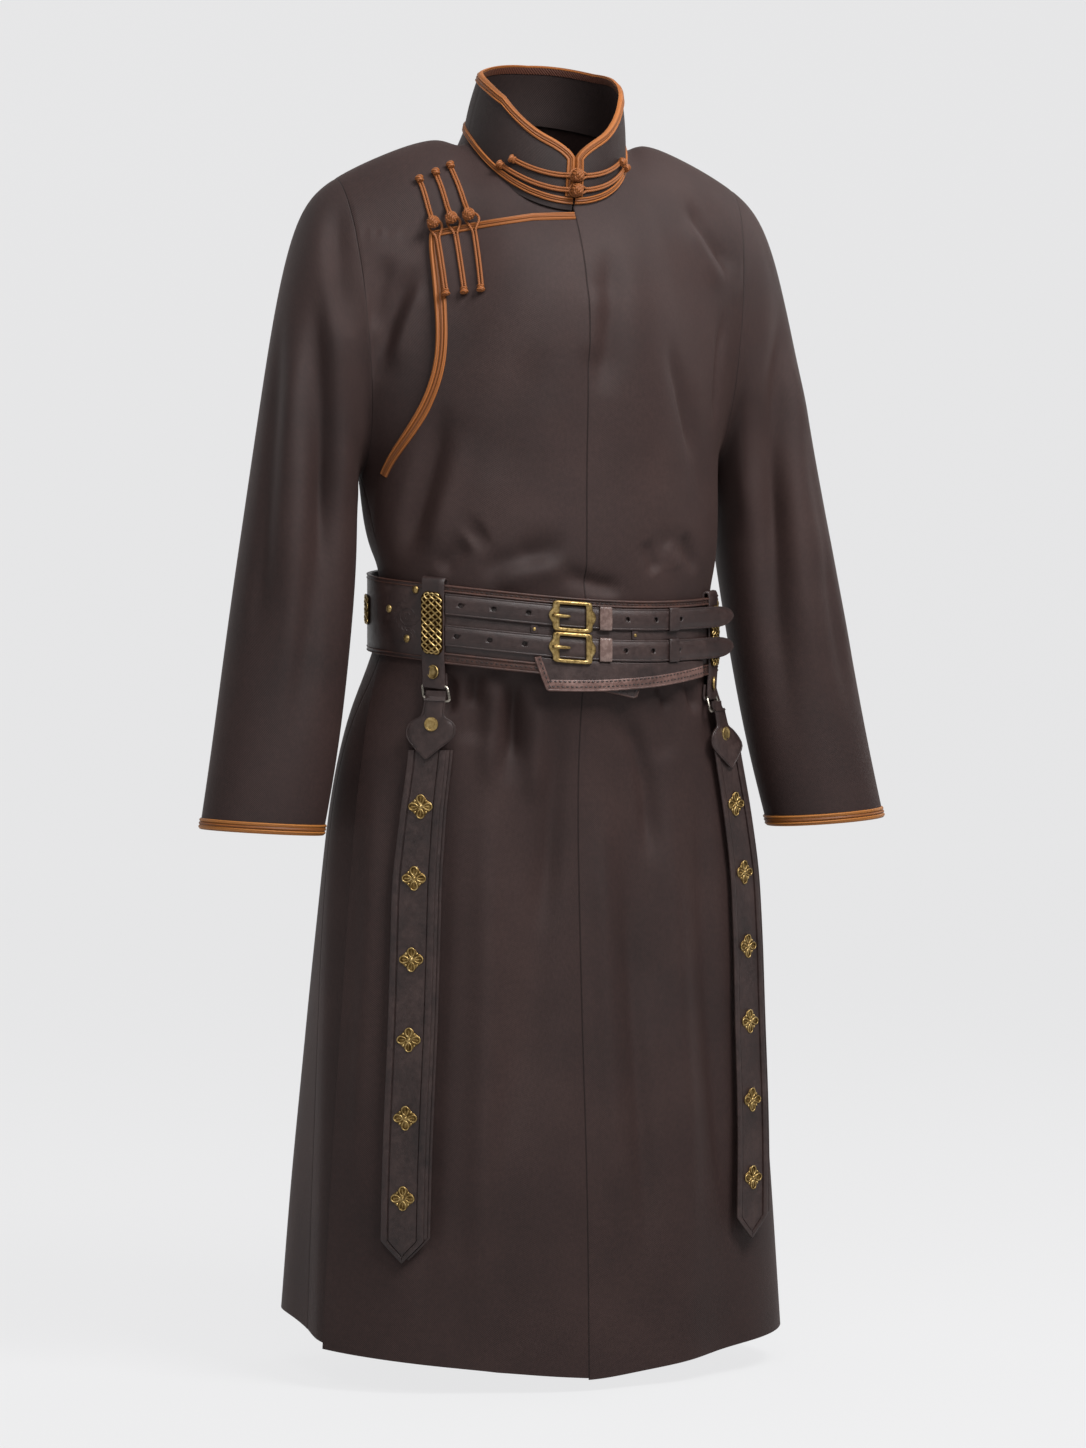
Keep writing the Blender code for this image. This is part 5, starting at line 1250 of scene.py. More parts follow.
# %% Collar
# the collar's height by angle from the centre front
COLLAR_RISE = [(0, 0.0585), (30, 0.0640), (60, 0.0715), (90, 0.0610), (120, 0.0565), (180, 0.0530)]
COLLAR_STEPS = 240
COLLAR_ROWS = 14
COLLAR_WALL = 0.0024
COLLAR_LEAN = 0.010
COLLAR_FORWARD = 0.005
COLLAR_SIDEWAYS = 0.0045   # its edge stands this much nearer the wearer's left than its foot
CORNER_WIDTH = 0.030
CORNER_DROP = 0.016
COLLAR_FOOT = 0.0005
COLLAR_GAP = 0.0012         # from the centre front to each end, along the neck
COLLAR_TUCK = -0.0040       # its seam allowance goes down inside the yoke this far
RIM_BRAID = 0.0080
NECK_BRAID = 0.0082
BINDING_DEPTH = 0.0075


def neck_loop(points, quads):
    """The neckline as a function of the angle round the neck, in degrees from the centre front."""
    edges = np.sort(np.stack([quads, np.roll(quads, -1, axis=1)], axis=2).reshape(-1, 2), axis=1)
    edges, uses = np.unique(edges, axis=0, return_counts=True)
    rim = points[np.unique(edges[uses == 1])]
    rim = rim[(rim[:, 2] > -0.12) & (np.abs(rim[:, 0]) < 0.12)]
    turns = np.degrees(np.arctan2(rim[:, 0], NECK_CENTRE_Y - rim[:, 1])) % 360
    order = np.argsort(turns)
    turns, rim = turns[order], rim[order]
    turns = np.concatenate([[turns[-1] - 360], turns, [turns[0] + 360]])
    rim = np.concatenate([rim[-1:], rim, rim[:1]])
    return lambda angle: np.array([np.interp(angle % 360, turns, rim[:, k]) for k in range(3)])


neck = neck_loop(folded_points, robe.quads)
NECK_AROUND = 2 * math.pi * NECK_HALF_WIDTH


def collar_height(along):
    """The collar's height before its front corners are rounded, at a distance along the neck."""
    turn = math.degrees(min(max(along, 0), NECK_AROUND - along) / NECK_HALF_WIDTH)
    return float(np.interp(turn, *zip(*COLLAR_RISE)))


def collar_limit(along):
    """The collar's height, which rounds down to its front ends."""
    share = max(1 - min(along, NECK_AROUND - along) / CORNER_WIDTH, 0)
    return collar_height(along) - CORNER_DROP * (1 - math.sqrt(max(1 - share * share, 0)))


def on_collar(along, height, lift=0.0):
    """A point on the collar's outer face: along the neck, up from its foot, and off it."""
    foot = neck(math.degrees(along / NECK_HALF_WIDTH))
    centre = np.array([0, NECK_CENTRE_Y])
    away = foot[:2] - centre
    radius = np.linalg.norm(away)
    share = height / collar_height(along % NECK_AROUND)
    swell = 0.0015 * math.sin(math.pi * min(max(share, 0), 1))
    flat = centre + away / radius * (radius - 0.0003 - COLLAR_LEAN * share + swell + lift)
    return Vector((flat[0] + COLLAR_SIDEWAYS * share, flat[1] - COLLAR_FORWARD * share,
                   foot[2] + COLLAR_FOOT + height))


def make_collar():
    rings = []
    for step in range(COLLAR_STEPS + 1):
        along = COLLAR_GAP + (NECK_AROUND - 2 * COLLAR_GAP) * step / COLLAR_STEPS
        limit = collar_limit(along) - 0.0006
        heights = [COLLAR_TUCK] + [limit * k / COLLAR_ROWS for k in range(COLLAR_ROWS + 1)]
        edge = [(limit + 0.0005, -COLLAR_WALL * 0.3), (limit + 0.0005, -COLLAR_WALL * 0.7)]
        section = [(h, 0.0) for h in heights] + edge + [(h, -COLLAR_WALL) for h in reversed(heights)]
        rings.append([on_collar(along, height, lift) for height, lift in section])
    return Build().loft(rings).make("collar_cloth", suiting)


def collar_edge():
    """The collar's free edge from the foot of one front end to the other, in flat metres."""
    line = [(COLLAR_GAP, NECK_BRAID + 0.0008), (COLLAR_GAP, collar_limit(COLLAR_GAP))]
    for k in range(1, 13):
        along = CORNER_WIDTH * (1 - math.cos(math.radians(7.5 * k)))
        if along > COLLAR_GAP:
            line.append((along, collar_limit(along)))
    half = NECK_AROUND / 2
    line += [(along, collar_limit(along)) for along in np.linspace(CORNER_WIDTH, half, 50)[1:]]
    return line + [(NECK_AROUND - along, height) for along, height in reversed(line[:-1])]


def make_rim_braid():
    path = spaced(collar_edge(), 0.0022)
    ways = [-way for way in inward_ways(path)]
    top = braid_section(RIM_BRAID)[1:-1]
    over = [(-0.0010, -0.0002), (-0.0012, -COLLAR_WALL * 0.5), (-0.0008, -COLLAR_WALL - 0.0006)]
    tuck = [(0.0012, -COLLAR_WALL - 0.0008), (0.0014, -COLLAR_WALL + 0.0002)]
    section = [(RIM_BRAID, 0.0001)] + top[::-1] + over + tuck
    build = Build()
    build.loft(lay_section(path, section, on_collar, ways), across=section_shares(section, RIM_BRAID))
    inside = [(0.0010, -COLLAR_WALL + 0.0002), (0.0010, -COLLAR_WALL - 0.0007),
              (BINDING_DEPTH * 0.5, -COLLAR_WALL - 0.0010), (BINDING_DEPTH, -COLLAR_WALL - 0.0006),
              (BINDING_DEPTH, -COLLAR_WALL + 0.0002)]
    build.loft(lay_section(path, inside, on_collar, ways), 1)
    return build.make("collar_edge_braid", braid, binding)


def make_neck_braid():
    path = spaced([(COLLAR_GAP, NECK_BRAID), (NECK_AROUND - COLLAR_GAP, NECK_BRAID)], BRAID_STEP)
    ways = [np.array([0.0, -1.0])] * len(path)
    width = NECK_BRAID - 0.0014
    section = braid_section(width)
    rings = lay_section(path, section, on_collar, ways)
    return Build().loft(rings, across=section_shares(section, width)).make("neck_seam_braid", braid)


keep_cloth("collar", make_collar())
finish_piece(make_rim_braid(), "tape", "trim_collar")
finish_piece(make_neck_braid(), "tape", "trim_neck")
print("the collar stands", round(collar_height(0) * 1000), "mm high in front")

# %% [markdown]
# ## Braid on the wrap and the cuffs
#
# The wrap's braid starts at the centre front, runs along the top edge to a mitred corner by the frogs,
# and then curves down to the underarm. It lies on the cloth with its outer edge along the cut edge.
# Each cuff has a braid that turns over the edge, so it shows inside too.

# %% Braid on the wrap
WRAP_BRAID = 0.0090
WRAP_REACH = 0.14       # the wrap's usual distance from the body's axis, which turns angles into lengths
CHEST_SLOPE = 0.78      # the height of a step of 1 along the sloping top of the chest
CUFF_BRAID = 0.0100
CUFF_REACH = 0.050
CUFF_STEPS = 144


def wrap_outline():
    """The wrap's bound edge in flat metres, from the centre front to the underarm."""
    top = [(a, float(wrap_top_z(a))) for a in (-0.6, -12, -24, -38, -51, -60)]
    side = [(float(wrap_edge_angle(z)), z) for z in np.linspace(-0.099, -0.334, 48)]
    return [(math.radians(angle) * WRAP_REACH, z) for angle, z in top + side]


def on_wrap(along, z, lift=0.0):
    return body_skin.around(math.degrees(along / WRAP_REACH), z, lift)


def make_wrap_braid():
    path = spaced(wrap_outline(), BRAID_STEP)
    section = braid_section(WRAP_BRAID, -0.0003)
    slopes = np.interp([-point[1] for point in path], (0.105, 0.150), (CHEST_SLOPE, 1.0))
    ways = [way * slope for way, slope in zip(inward_ways(path), slopes)]
    rings = lay_section(path, section, on_wrap, ways)
    return Build().loft(rings, across=section_shares(section, WRAP_BRAID)).make("wrap_edge_braid", braid)


def cuff_frame(side):
    last, before = ARM[-1], ARM[-2]
    end = Vector(((last.outer_x + last.inner_x) / 2 * side + ARMS_SHIFT, last.middle_y,
                  (last.outer_z + last.inner_z) / 2))
    up = Vector(((before.outer_x + before.inner_x) / 2 * side + ARMS_SHIFT, before.middle_y,
                 (before.outer_z + before.inner_z) / 2)) - end
    slope = Vector((last.outer_x - last.inner_x, 0, last.outer_z - last.inner_z)).normalized()
    slope.x *= side
    return end, up.normalized(), slope


def make_cuff_braid(name, side):
    end, up, slope = cuff_frame(side)

    def on_cuff(along, height, lift=0.0):
        turn = along / CUFF_REACH
        way = slope * math.cos(turn) + Vector((0, -1, 0)) * math.sin(turn)
        cast_at = max(height, 0.0008)
        place, _ = sleeve_skin.cast(end + up * cast_at, way)
        return place + way * lift + up * (height - cast_at)

    path = [np.array([2 * math.pi * CUFF_REACH * k / CUFF_STEPS, 0.0]) for k in range(CUFF_STEPS)]
    ways = [np.array([0.0, 1.0])] * CUFF_STEPS
    top = braid_section(CUFF_BRAID)[1:-1]
    over = [(-0.0008, 0.0002), (-0.0010, -CLOTH_WALL * 0.5), (-0.0006, -CLOTH_WALL - 0.0010)]
    inside = [(0.0060, -CLOTH_WALL - 0.0010), (0.0062, -CLOTH_WALL * 0.6)]
    section = [(CUFF_BRAID, 0.0)] + top[::-1] + over + inside
    rings = lay_section(path, section, on_cuff, ways)
    build = Build().loft(rings, loop=True, across=section_shares(section, CUFF_BRAID))
    return build.make(f"cuff_braid_{name}", cuff_braid)


finish_piece(make_wrap_braid(), "tape", "trim_overlap")
for name, side in (("left", 1), ("right", -1)):
    finish_piece(make_cuff_braid(name, side), "tape", f"trim_cuff_{name}")
print("braid laid on the wrap and both cuffs")

# %% [markdown]
# ## Frogs
#
# A frog is a fastener made of one doubled cord. On the button half the cord ends in a woven ball, on
# the loop half it opens into a loop round that ball, and both halves finish in a small bound knob. The
# two strands are real cords, side by side. The ball is made as a sailor makes a monkey's fist: three
# sets of three turns, each set at right angles to the others, and each passing over one and under
# the next.

# %% Frogs
STRAND = 0.00130
BALL = 0.0049               # to the middle of the cord in the ball
BALL_CORD = 0.00125
BALL_WEAVE = 0.00055
LOOP_RADIUS = 0.0060
LOOP_NECK = 0.013
CORD_STEP = 0.0018
KNOB_LIFT = 0.0034
KNOB_PROFILE = [(-0.0036, 0.0020), (-0.0034, 0.0033), (-0.0024, 0.0038), (-0.0014, 0.0032), (-0.0008, 0.0031),
                (0.0002, 0.0040), (0.0014, 0.0045), (0.0026, 0.0038), (0.0032, 0.0022), (0.0033, 0.0004)]
# knob, ball and lower knob as seen from the front, and how far the loop half runs over the braid
ChestFrog = namedtuple("ChestFrog", "top ball foot taped")
CHEST_FROGS = [
    ChestFrog((-0.140, -0.048), (-0.1325, -0.0945), (-0.128, -0.160), 0.090),
    ChestFrog((-0.124, -0.041), (-0.1155, -0.0905), (-0.112, -0.158), 0.010),
    ChestFrog((-0.109, -0.034), (-0.0985, -0.0875), (-0.098, -0.156), 0.010),
]
CollarFrog = namedtuple("CollarFrog", "ball_height knob_height knob_angle")
COLLAR_FROGS = [CollarFrog(0.0300, 0.0250, 44.0), CollarFrog(0.0155, 0.0125, 52.0)]
BRAID_TOP = BRAID_RISE + BRAID_CORD


def woven_ball(build, middle, way):
    """Three sets of three turns round a core."""
    way = Vector(way).normalized()
    side = way.orthogonal().normalized()
    axes = [way, side, way.cross(side)]
    build.turned(middle - way * BALL, way, [(BALL * (1 - math.cos(t)), max(BALL * math.sin(t), 0.0001))
                                          for t in np.linspace(0, math.pi, 9)], sides=14)
    for k in range(3):
        axis, first, second = axes[k], axes[(k + 1) % 3], axes[(k + 2) % 3]
        for shift in (-1, 0, 1):
            offset = shift * BALL_CORD * 2.05
            radius = math.sqrt(BALL * BALL - offset * offset)
            build.cord([middle + axis * offset + (first * math.cos(t) + second * math.sin(t))
                        * (radius + BALL_WEAVE * math.cos(2 * t)) for t in round_turns(24)],
                       BALL_CORD, loop=True, sides=6)


def frog_half(name, lay, ball, knob, looped):
    """lay(flat point, distance from the ball, lift) puts a point on what the frog is sewn to."""
    ball, knob = np.array(ball), np.array(knob)
    length = float(np.linalg.norm(knob - ball))
    way = (knob - ball) / length
    side = np.array([-way[1], way[0]])
    build = Build()
    if looped:
        legs = []
        for along in np.arange(length - 0.002, 0.0, -CORD_STEP):
            open_share = float(smooth_step((LOOP_NECK - along) / LOOP_NECK))
            legs.append((along, STRAND + (LOOP_RADIUS - STRAND) * open_share))
        over = [(-LOOP_RADIUS * math.sin(t), LOOP_RADIUS * math.cos(t)) for t in np.linspace(0, math.pi, 11)]
        line = legs + over + [(along, -wide) for along, wide in reversed(legs)]
        build.cord([lay(ball + way * a + side * w, a, STRAND) for a, w in line], STRAND)
    else:
        for sign in (-1, 1):
            line = np.arange(0.0, length - 0.001, CORD_STEP)
            build.cord([lay(ball + way * a + side * sign * STRAND, a, STRAND) for a in line], STRAND)
        low, high = lay(ball, 0.0, 0.0), lay(ball, 0.0, 0.010)
        out = (high - low).normalized()
        woven_ball(build, low + out * (BALL + BALL_CORD + STRAND), out)
    end = lay(knob, length, KNOB_LIFT)
    build.turned(end, end - lay(knob - way * 0.006, length - 0.006, KNOB_LIFT), KNOB_PROFILE, sides=14)
    return build.make(name, cord_thread)


def make_chest_frogs():
    for number, frog in enumerate(CHEST_FROGS, 1):
        def on_yoke(spot, along, lift):
            rise = np.interp(along, (0.009, 0.016), (UNDER_RECESS + BRAID_TOP + 0.0002, 0.0002))
            return under_skin.seen(spot[0], spot[1], "front", float(rise) + lift)

        def on_chest(spot, along, lift, taped=frog.taped):
            rise = np.interp(along, (taped, taped + 0.004), (BRAID_TOP + 0.0001, 0.0002))
            return body_skin.seen(spot[0], spot[1], "front", float(rise) + lift)

        for part, lay, knob in (("button", on_yoke, frog.top), ("loop", on_chest, frog.foot)):
            piece = frog_half(f"chest_frog_{number}_{part}", lay, frog.ball, knob, part == "loop")
            finish_piece(piece, "tape", f"frog_chest_{number}_{part}")


def make_collar_frogs():
    def lay(spot, along, lift):
        rise = np.interp(along, (RIM_BRAID, RIM_BRAID + 0.004), (BRAID_TOP + 0.0001, 0.0002))
        return on_collar(spot[0], spot[1], float(rise) + lift)

    for number, frog in enumerate(COLLAR_FROGS, 1):
        reach = math.radians(frog.knob_angle) * NECK_HALF_WIDTH
        for part, sign in (("button", -1), ("loop", 1)):
            piece = frog_half(f"collar_frog_{number}_{part}", lay, (0.0, frog.ball_height),
                              (sign * reach, frog.knob_height), part == "loop")
            finish_piece(piece, "tape", f"frog_collar_{number}_{part}")


make_chest_frogs()
make_collar_frogs()
print(len(CHEST_FROGS) + len(COLLAR_FROGS), "frogs sewn on")

# %% [markdown]
# ## Leather, thread and metal
#
# The belt and straps are bridle leather, dyed a brown that is nearly black and waxed to a satin. It has
# a fine grain of cells under a millimetre wide, an uneven dye and a soft shine. The belt's edge bands
# and the flap's border are a thinner red-brown leather, paler where it is rubbed. The sewing is waxed
# thread. The fittings are brass that has gone brown in its hollows; behind the openwork knots a very
# dark brass plate stands for the shade there, as painted shade. The rings are plain steel.

# %% Leather, thread and metal materials
GRAIN = 0.0009          # one cell of the leather's grain


def leather_material(name, deep, main, light, roughness, grain=0.00010):
    material, tree, shader = new_material(name)
    place = add(tree, "ShaderNodeTexCoord").outputs["Object"]
    cells = add(tree, "ShaderNodeTexVoronoi", {"feature": "DISTANCE_TO_EDGE"}, Vector=place, Scale=1 / GRAIN)
    pebbles = add(tree, "ShaderNodeMapRange", Value=cells, i1=0.0, i2=0.22, i3=0.0, i4=1.0)
    dye = add(tree, "ShaderNodeTexNoise", Vector=place, Scale=24.0, Detail=4.0, Roughness=0.6)
    rub = add(tree, "ShaderNodeTexNoise", Vector=place, Scale=210.0, Detail=4.0, Roughness=0.65)
    tone = add(tree, "ShaderNodeMix", MIX, i0=0.42, i6=dye, i7=rub)
    stops = [(0.32, deep), (0.50, main), (0.68, light)]
    colour = add(tree, "ShaderNodeValToRGB", {"stops": stops}, Fac=tone)
    shine = add(tree, "ShaderNodeMapRange", Value=rub, i1=0.3, i2=0.7, i3=roughness - 0.07,
                i4=roughness + 0.09)
    creases = add(tree, "ShaderNodeTexNoise", Vector=place, Scale=75.0, Detail=3.0, Roughness=0.5)
    bump = add(tree, "ShaderNodeBump", Strength=0.35, Distance=0.0006, Height=creases)
    bump = add(tree, "ShaderNodeBump", Strength=0.6, Distance=grain, Height=pebbles, Normal=bump)
    finish(tree, shader, Base_Color=colour, Normal=bump, Roughness=shine, Specular_IOR_Level=0.38,
           Coat_Weight=0.06, Coat_Roughness=0.35)
    return material


def thread_material(name, colour, length):
    material, tree, shader = new_material(name)
    place = add(tree, "ShaderNodeTexCoord").outputs["Object"]
    twist = add(tree, "ShaderNodeTexNoise", Vector=place, Scale=1 / length, Detail=3.0, Roughness=0.7)
    # the twist noise, which is also the bump's height, lightens the thread where it stands high and darkens
    # it where it dips: painted highlight and painted shade
    shade = add(tree, "ShaderNodeMapRange", Value=twist, i1=0.3, i2=0.7, i3=0.55, i4=1.25)
    tint = add(tree, "ShaderNodeMix", MULTIPLY, i0=1.0, i6=rgb(colour), i7=shade)
    bump = add(tree, "ShaderNodeBump", Strength=0.6, Distance=0.0001, Height=twist)
    finish(tree, shader, Base_Color=tint, Normal=bump, Roughness=0.5)
    return material


def metal_material(name, deep, main, light, roughness):
    material, tree, shader = new_material(name)
    place = add(tree, "ShaderNodeTexCoord").outputs["Object"]
    tarnish = add(tree, "ShaderNodeTexNoise", Vector=place, Scale=230.0, Detail=5.0, Roughness=0.65)
    long_way = add(tree, "ShaderNodeMapping", Vector=place, Scale=(260.0, 260.0, 2400.0))
    scratches = add(tree, "ShaderNodeTexNoise", Vector=long_way, Scale=1.0, Detail=3.0, Roughness=0.6)
    stops = [(0.30, deep), (0.52, main), (0.72, light)]
    colour = add(tree, "ShaderNodeValToRGB", {"stops": stops}, Fac=tarnish)
    shine = add(tree, "ShaderNodeMapRange", Value=scratches, i1=0.3, i2=0.7, i3=roughness - 0.08,
                i4=roughness + 0.10)
    bump = add(tree, "ShaderNodeBump", Strength=0.5, Distance=0.00005, Height=scratches)
    bump = add(tree, "ShaderNodeBump", Strength=0.4, Distance=0.00012, Height=tarnish, Normal=bump)
    finish(tree, shader, Base_Color=colour, Metallic=1.0, Roughness=shine, Normal=bump)
    return material


bridle = leather_material("dark_bridle_leather", "#1a1110", "#2a1d1b", "#392a27", 0.43)
# the first keeper's leather: glossier, and lighter in colour as a painted sheen
sheen_painted_leather = leather_material("polished_bridle_leather", "#3b2f2b", "#5c4a45", "#7d6a63", 0.26, 0.00004)
edging = leather_material("red_brown_edge_leather", "#201310", "#38211a", "#523226", 0.50, 0.00014)
rubbed = leather_material("rubbed_border_leather", "#33221e", "#59413b", "#7a6059", 0.40, 0.00012)
# a darker leather for the cut walls of the punched holes: painted shade inside them
hole_shade_leather = leather_material("burnished_cut_leather", "#1a1313", "#241b1b", "#2e2423", 0.5)
dark_thread = thread_material("dark_waxed_thread", "#1d1412", 0.0006)
brass = metal_material("antique_brass", "#5f4b2c", "#a38a59", "#bfa979", 0.44)
brown_brass = metal_material("brass_gone_brown", "#3a2c18", "#6b5430", "#98804e", 0.45)
# the plate behind each openwork knot: a very dark brass that stands for the shade there, as painted shade
knot_ground_shade_brass = metal_material("brass_gone_dark", "#1c130a", "#33230f", "#4a3418", 0.55)
steel = metal_material("brushed_steel_wire", "#6e6860", "#9a948a", "#bdb6a8", 0.28)
print("leather, thread and metal ready")

# %% [markdown]
# ## Stitches and fittings that repeat
#
# Two Geometry Nodes trees set what repeats. The first turns a line of points into a curve, cuts it into
# equal steps and lays one stitch on each, turned to lie along the line and flat on the leather. The
# second sets one copy of a fitting on each point of a small mesh. Both read the "way" attribute, which
# is the direction off the surface. Each stitch is turned a little by a fixed seed, as hand sewing is.

# %% Trees that repeat a stitch or a fitting
VECTOR = {"data_type": "FLOAT_VECTOR"}


def new_tree(name, inputs):
    """A geometry tree with a Geometry socket at each end and named inputs."""
    tree = bpy.data.node_groups.new(name, "GeometryNodeTree")
    tree.interface.new_socket("Geometry", in_out="INPUT", socket_type="NodeSocketGeometry")
    tree.interface.new_socket("Geometry", in_out="OUTPUT", socket_type="NodeSocketGeometry")
    for label, kind in inputs:
        tree.interface.new_socket(label, in_out="INPUT", socket_type=kind)
    return tree, tree.nodes.new("NodeGroupInput")


def close_tree(tree, source, instances):
    """Realises the instances, gives them the material that was named, and joins the output."""
    real = add(tree, "GeometryNodeRealizeInstances", Geometry=instances)
    smooth = add(tree, "GeometryNodeSetShadeSmooth", Geometry=real)
    painted = add(tree, "GeometryNodeSetMaterial", Geometry=smooth, Material=source.outputs["Material"])
    add(tree, "NodeGroupOutput", Geometry=painted)
    return tree


def make_stitch_tree():
    tree, source = new_tree("stitches along a line", [
        ("Spacing", "NodeSocketFloat"), ("Length", "NodeSocketFloat"), ("Width", "NodeSocketFloat"),
        ("Seed", "NodeSocketInt"), ("Material", "NodeSocketMaterial")])
    curve = add(tree, "GeometryNodeMeshToCurve", Mesh=source.outputs["Geometry"])
    steps = add(tree, "GeometryNodeResampleCurve", {"mode": "LENGTH"}, Curve=curve,
                Length=source.outputs["Spacing"])
    way = add(tree, "GeometryNodeInputNamedAttribute", VECTOR, Name="way")
    along = add(tree, "GeometryNodeInputTangent")
    lie = add(tree, "FunctionNodeAxesToRotation", {"primary_axis": "Z", "secondary_axis": "X"},
              Primary_Axis=way, Secondary_Axis=along)
    sway = add(tree, "FunctionNodeRandomValue", VECTOR, Min=(-0.04, -0.04, -0.10),
               Max=(0.04, 0.04, 0.10), Seed=source.outputs["Seed"])
    sway = add(tree, "FunctionNodeEulerToRotation", Euler=sway)
    turn = add(tree, "FunctionNodeRotateRotation", {"rotation_space": "LOCAL"}, Rotation=lie, Rotate_By=sway)
    half = add(tree, "ShaderNodeMath", {"operation": "MULTIPLY"}, i0=source.outputs["Length"], i1=0.5)
    side = add(tree, "ShaderNodeMath", {"operation": "MULTIPLY"}, i0=source.outputs["Width"], i1=0.5)
    size = add(tree, "ShaderNodeCombineXYZ", X=half, Y=side, Z=side)
    ball = add(tree, "GeometryNodeMeshUVSphere", Segments=6, Rings=4, Radius=1.0)
    stitch = add(tree, "GeometryNodeTransform", Geometry=ball, Scale=size)
    laid = add(tree, "GeometryNodeInstanceOnPoints", Points=steps, Instance=stitch, Rotation=turn)
    return close_tree(tree, source, laid)


def make_fitting_tree():
    tree, source = new_tree("a fitting on each point", [
        ("Fitting", "NodeSocketObject"), ("Material", "NodeSocketMaterial")])
    fitting = add(tree, "GeometryNodeObjectInfo", {"transform_space": "ORIGINAL"},
                  Object=source.outputs["Fitting"])
    way = add(tree, "GeometryNodeInputNamedAttribute", VECTOR, Name="way")
    lie = add(tree, "FunctionNodeAxesToRotation", {"primary_axis": "Z", "secondary_axis": "Y"},
              Primary_Axis=way, Secondary_Axis=(0, 0, 1))
    laid = add(tree, "GeometryNodeInstanceOnPoints", Points=source.outputs["Geometry"],
               Instance=fitting.outputs["Geometry"], Rotation=lie)
    return close_tree(tree, source, laid)


stitch_tree = make_stitch_tree()
fitting_tree = make_fitting_tree()


def grown(name, tree, points, ways, joined, **inputs):
    """The mesh that a tree makes of points with their ways off the surface; joined makes them a line."""
    mesh = bpy.data.meshes.new(name)
    edges = [(k, k + 1) for k in range(len(points) - 1)] if joined else []
    mesh.from_pydata([tuple(p) for p in points], edges, [])
    mesh.attributes.new("way", "FLOAT_VECTOR", "POINT").data.foreach_set(
        "vector", np.array([tuple(w) for w in ways]).ravel())
    obj = link(bpy.data.objects.new(name, mesh))
    modifier = obj.modifiers.new("grow", "NODES")
    modifier.node_group = tree
    for item in tree.interface.items_tree:
        if item.in_out == "INPUT" and item.name in inputs:
            modifier[item.identifier] = inputs[item.name]
    made = evaluated_mesh(obj)
    obj.modifiers.remove(modifier)
    obj.data = made
    bpy.data.meshes.remove(mesh)
    return obj


def joined_object(name, parts):
    """One mesh of several, with their materials."""
    bm = bmesh.new()
    materials = []
    for part in parts:
        start = len(bm.faces)
        bm.from_mesh(part.data)
        bm.faces.ensure_lookup_table()
        own = list(part.data.materials)
        for material in own:
            if material not in materials:
                materials.append(material)
        for face in bm.faces[start:]:
            face.material_index = materials.index(own[face.material_index])
        old = part.data
        bpy.data.objects.remove(part)
        bpy.data.meshes.remove(old)
    mesh = bpy.data.meshes.new(name)
    bm.to_mesh(mesh)
    bm.free()
    for material in materials:
        mesh.materials.append(material)
    return link(bpy.data.objects.new(name, mesh))


print("trees:", stitch_tree.name, "and", fitting_tree.name)

# %% [markdown]
# ## The belt
#
# The belt is 4 mm thick and follows the pressed-in waist. A place on it is an angle round the body, a
# height from the belt's own middle line, and a ply, which is the lift off its outer face. Between the
# two hangers its edges carry red-brown bands with a roll at each side and stitches between. Behind the
# hangers there are only two fine rolls along each edge.

# %% Belt band
BELT_STEPS = 48
BELT_LIFT = 0.0014
BELT_WALL = 0.0040
SECTION_TURN = 1.5      # degrees between sections of what lies on the belt


class BeltBand:
    """The belt's outer face: a point at an angle, and a height from the belt's middle line."""

    def __init__(self, skin):
        self.radii = []
        for step in range(BELT_STEPS):
            angle = 360 * step / BELT_STEPS
            spots = [skin.around(angle, belt_middle(angle) + k * BELT_HEIGHT / 8) for k in range(-4, 5)]
            self.radii.append(max(math.hypot(spot.x, spot.y) for spot in spots))

    def radius(self, angle):
        """A smooth curve through the measured radii."""
        place = (angle % 360) * BELT_STEPS / 360
        first, share = int(place), place % 1
        a, b, c, d = (self.radii[(first + k) % BELT_STEPS] for k in (-1, 0, 1, 2))
        return b + 0.5 * share * (c - a + share * (2 * a - 5 * b + 4 * c - d + share * (3 * (b - c) + d - a)))

    def point(self, angle, height, lift=0.0):
        turn = math.radians(angle)
        radius = self.radius(angle) + lift
        return Vector((radius * math.sin(turn), -radius * math.cos(turn), belt_middle(angle) + height))

    def on(self, angle, height, ply=0.0):
        return self.point(angle, height, BELT_LIFT + BELT_WALL + ply)

    def way(self, angle, height=0.0):
        return (self.on(angle, height, 0.01) - self.on(angle, height)).normalized()


band = BeltBand(body_skin)
FRONT_BAND = (-60.0, 67.0)      # the edge bands run between the hangers
TOP_BAND = (0.0310, 0.0384)
LOW_BAND = (-0.0384, -0.0275)
ROLL = 0.0011
FINE_ROLLS = (0.0372, 0.0338)


def angles_between(start, end, step=SECTION_TURN):
    count = max(int(round((end - start) / step)), 1)
    return [start + (end - start) * k / count for k in range(count + 1)]


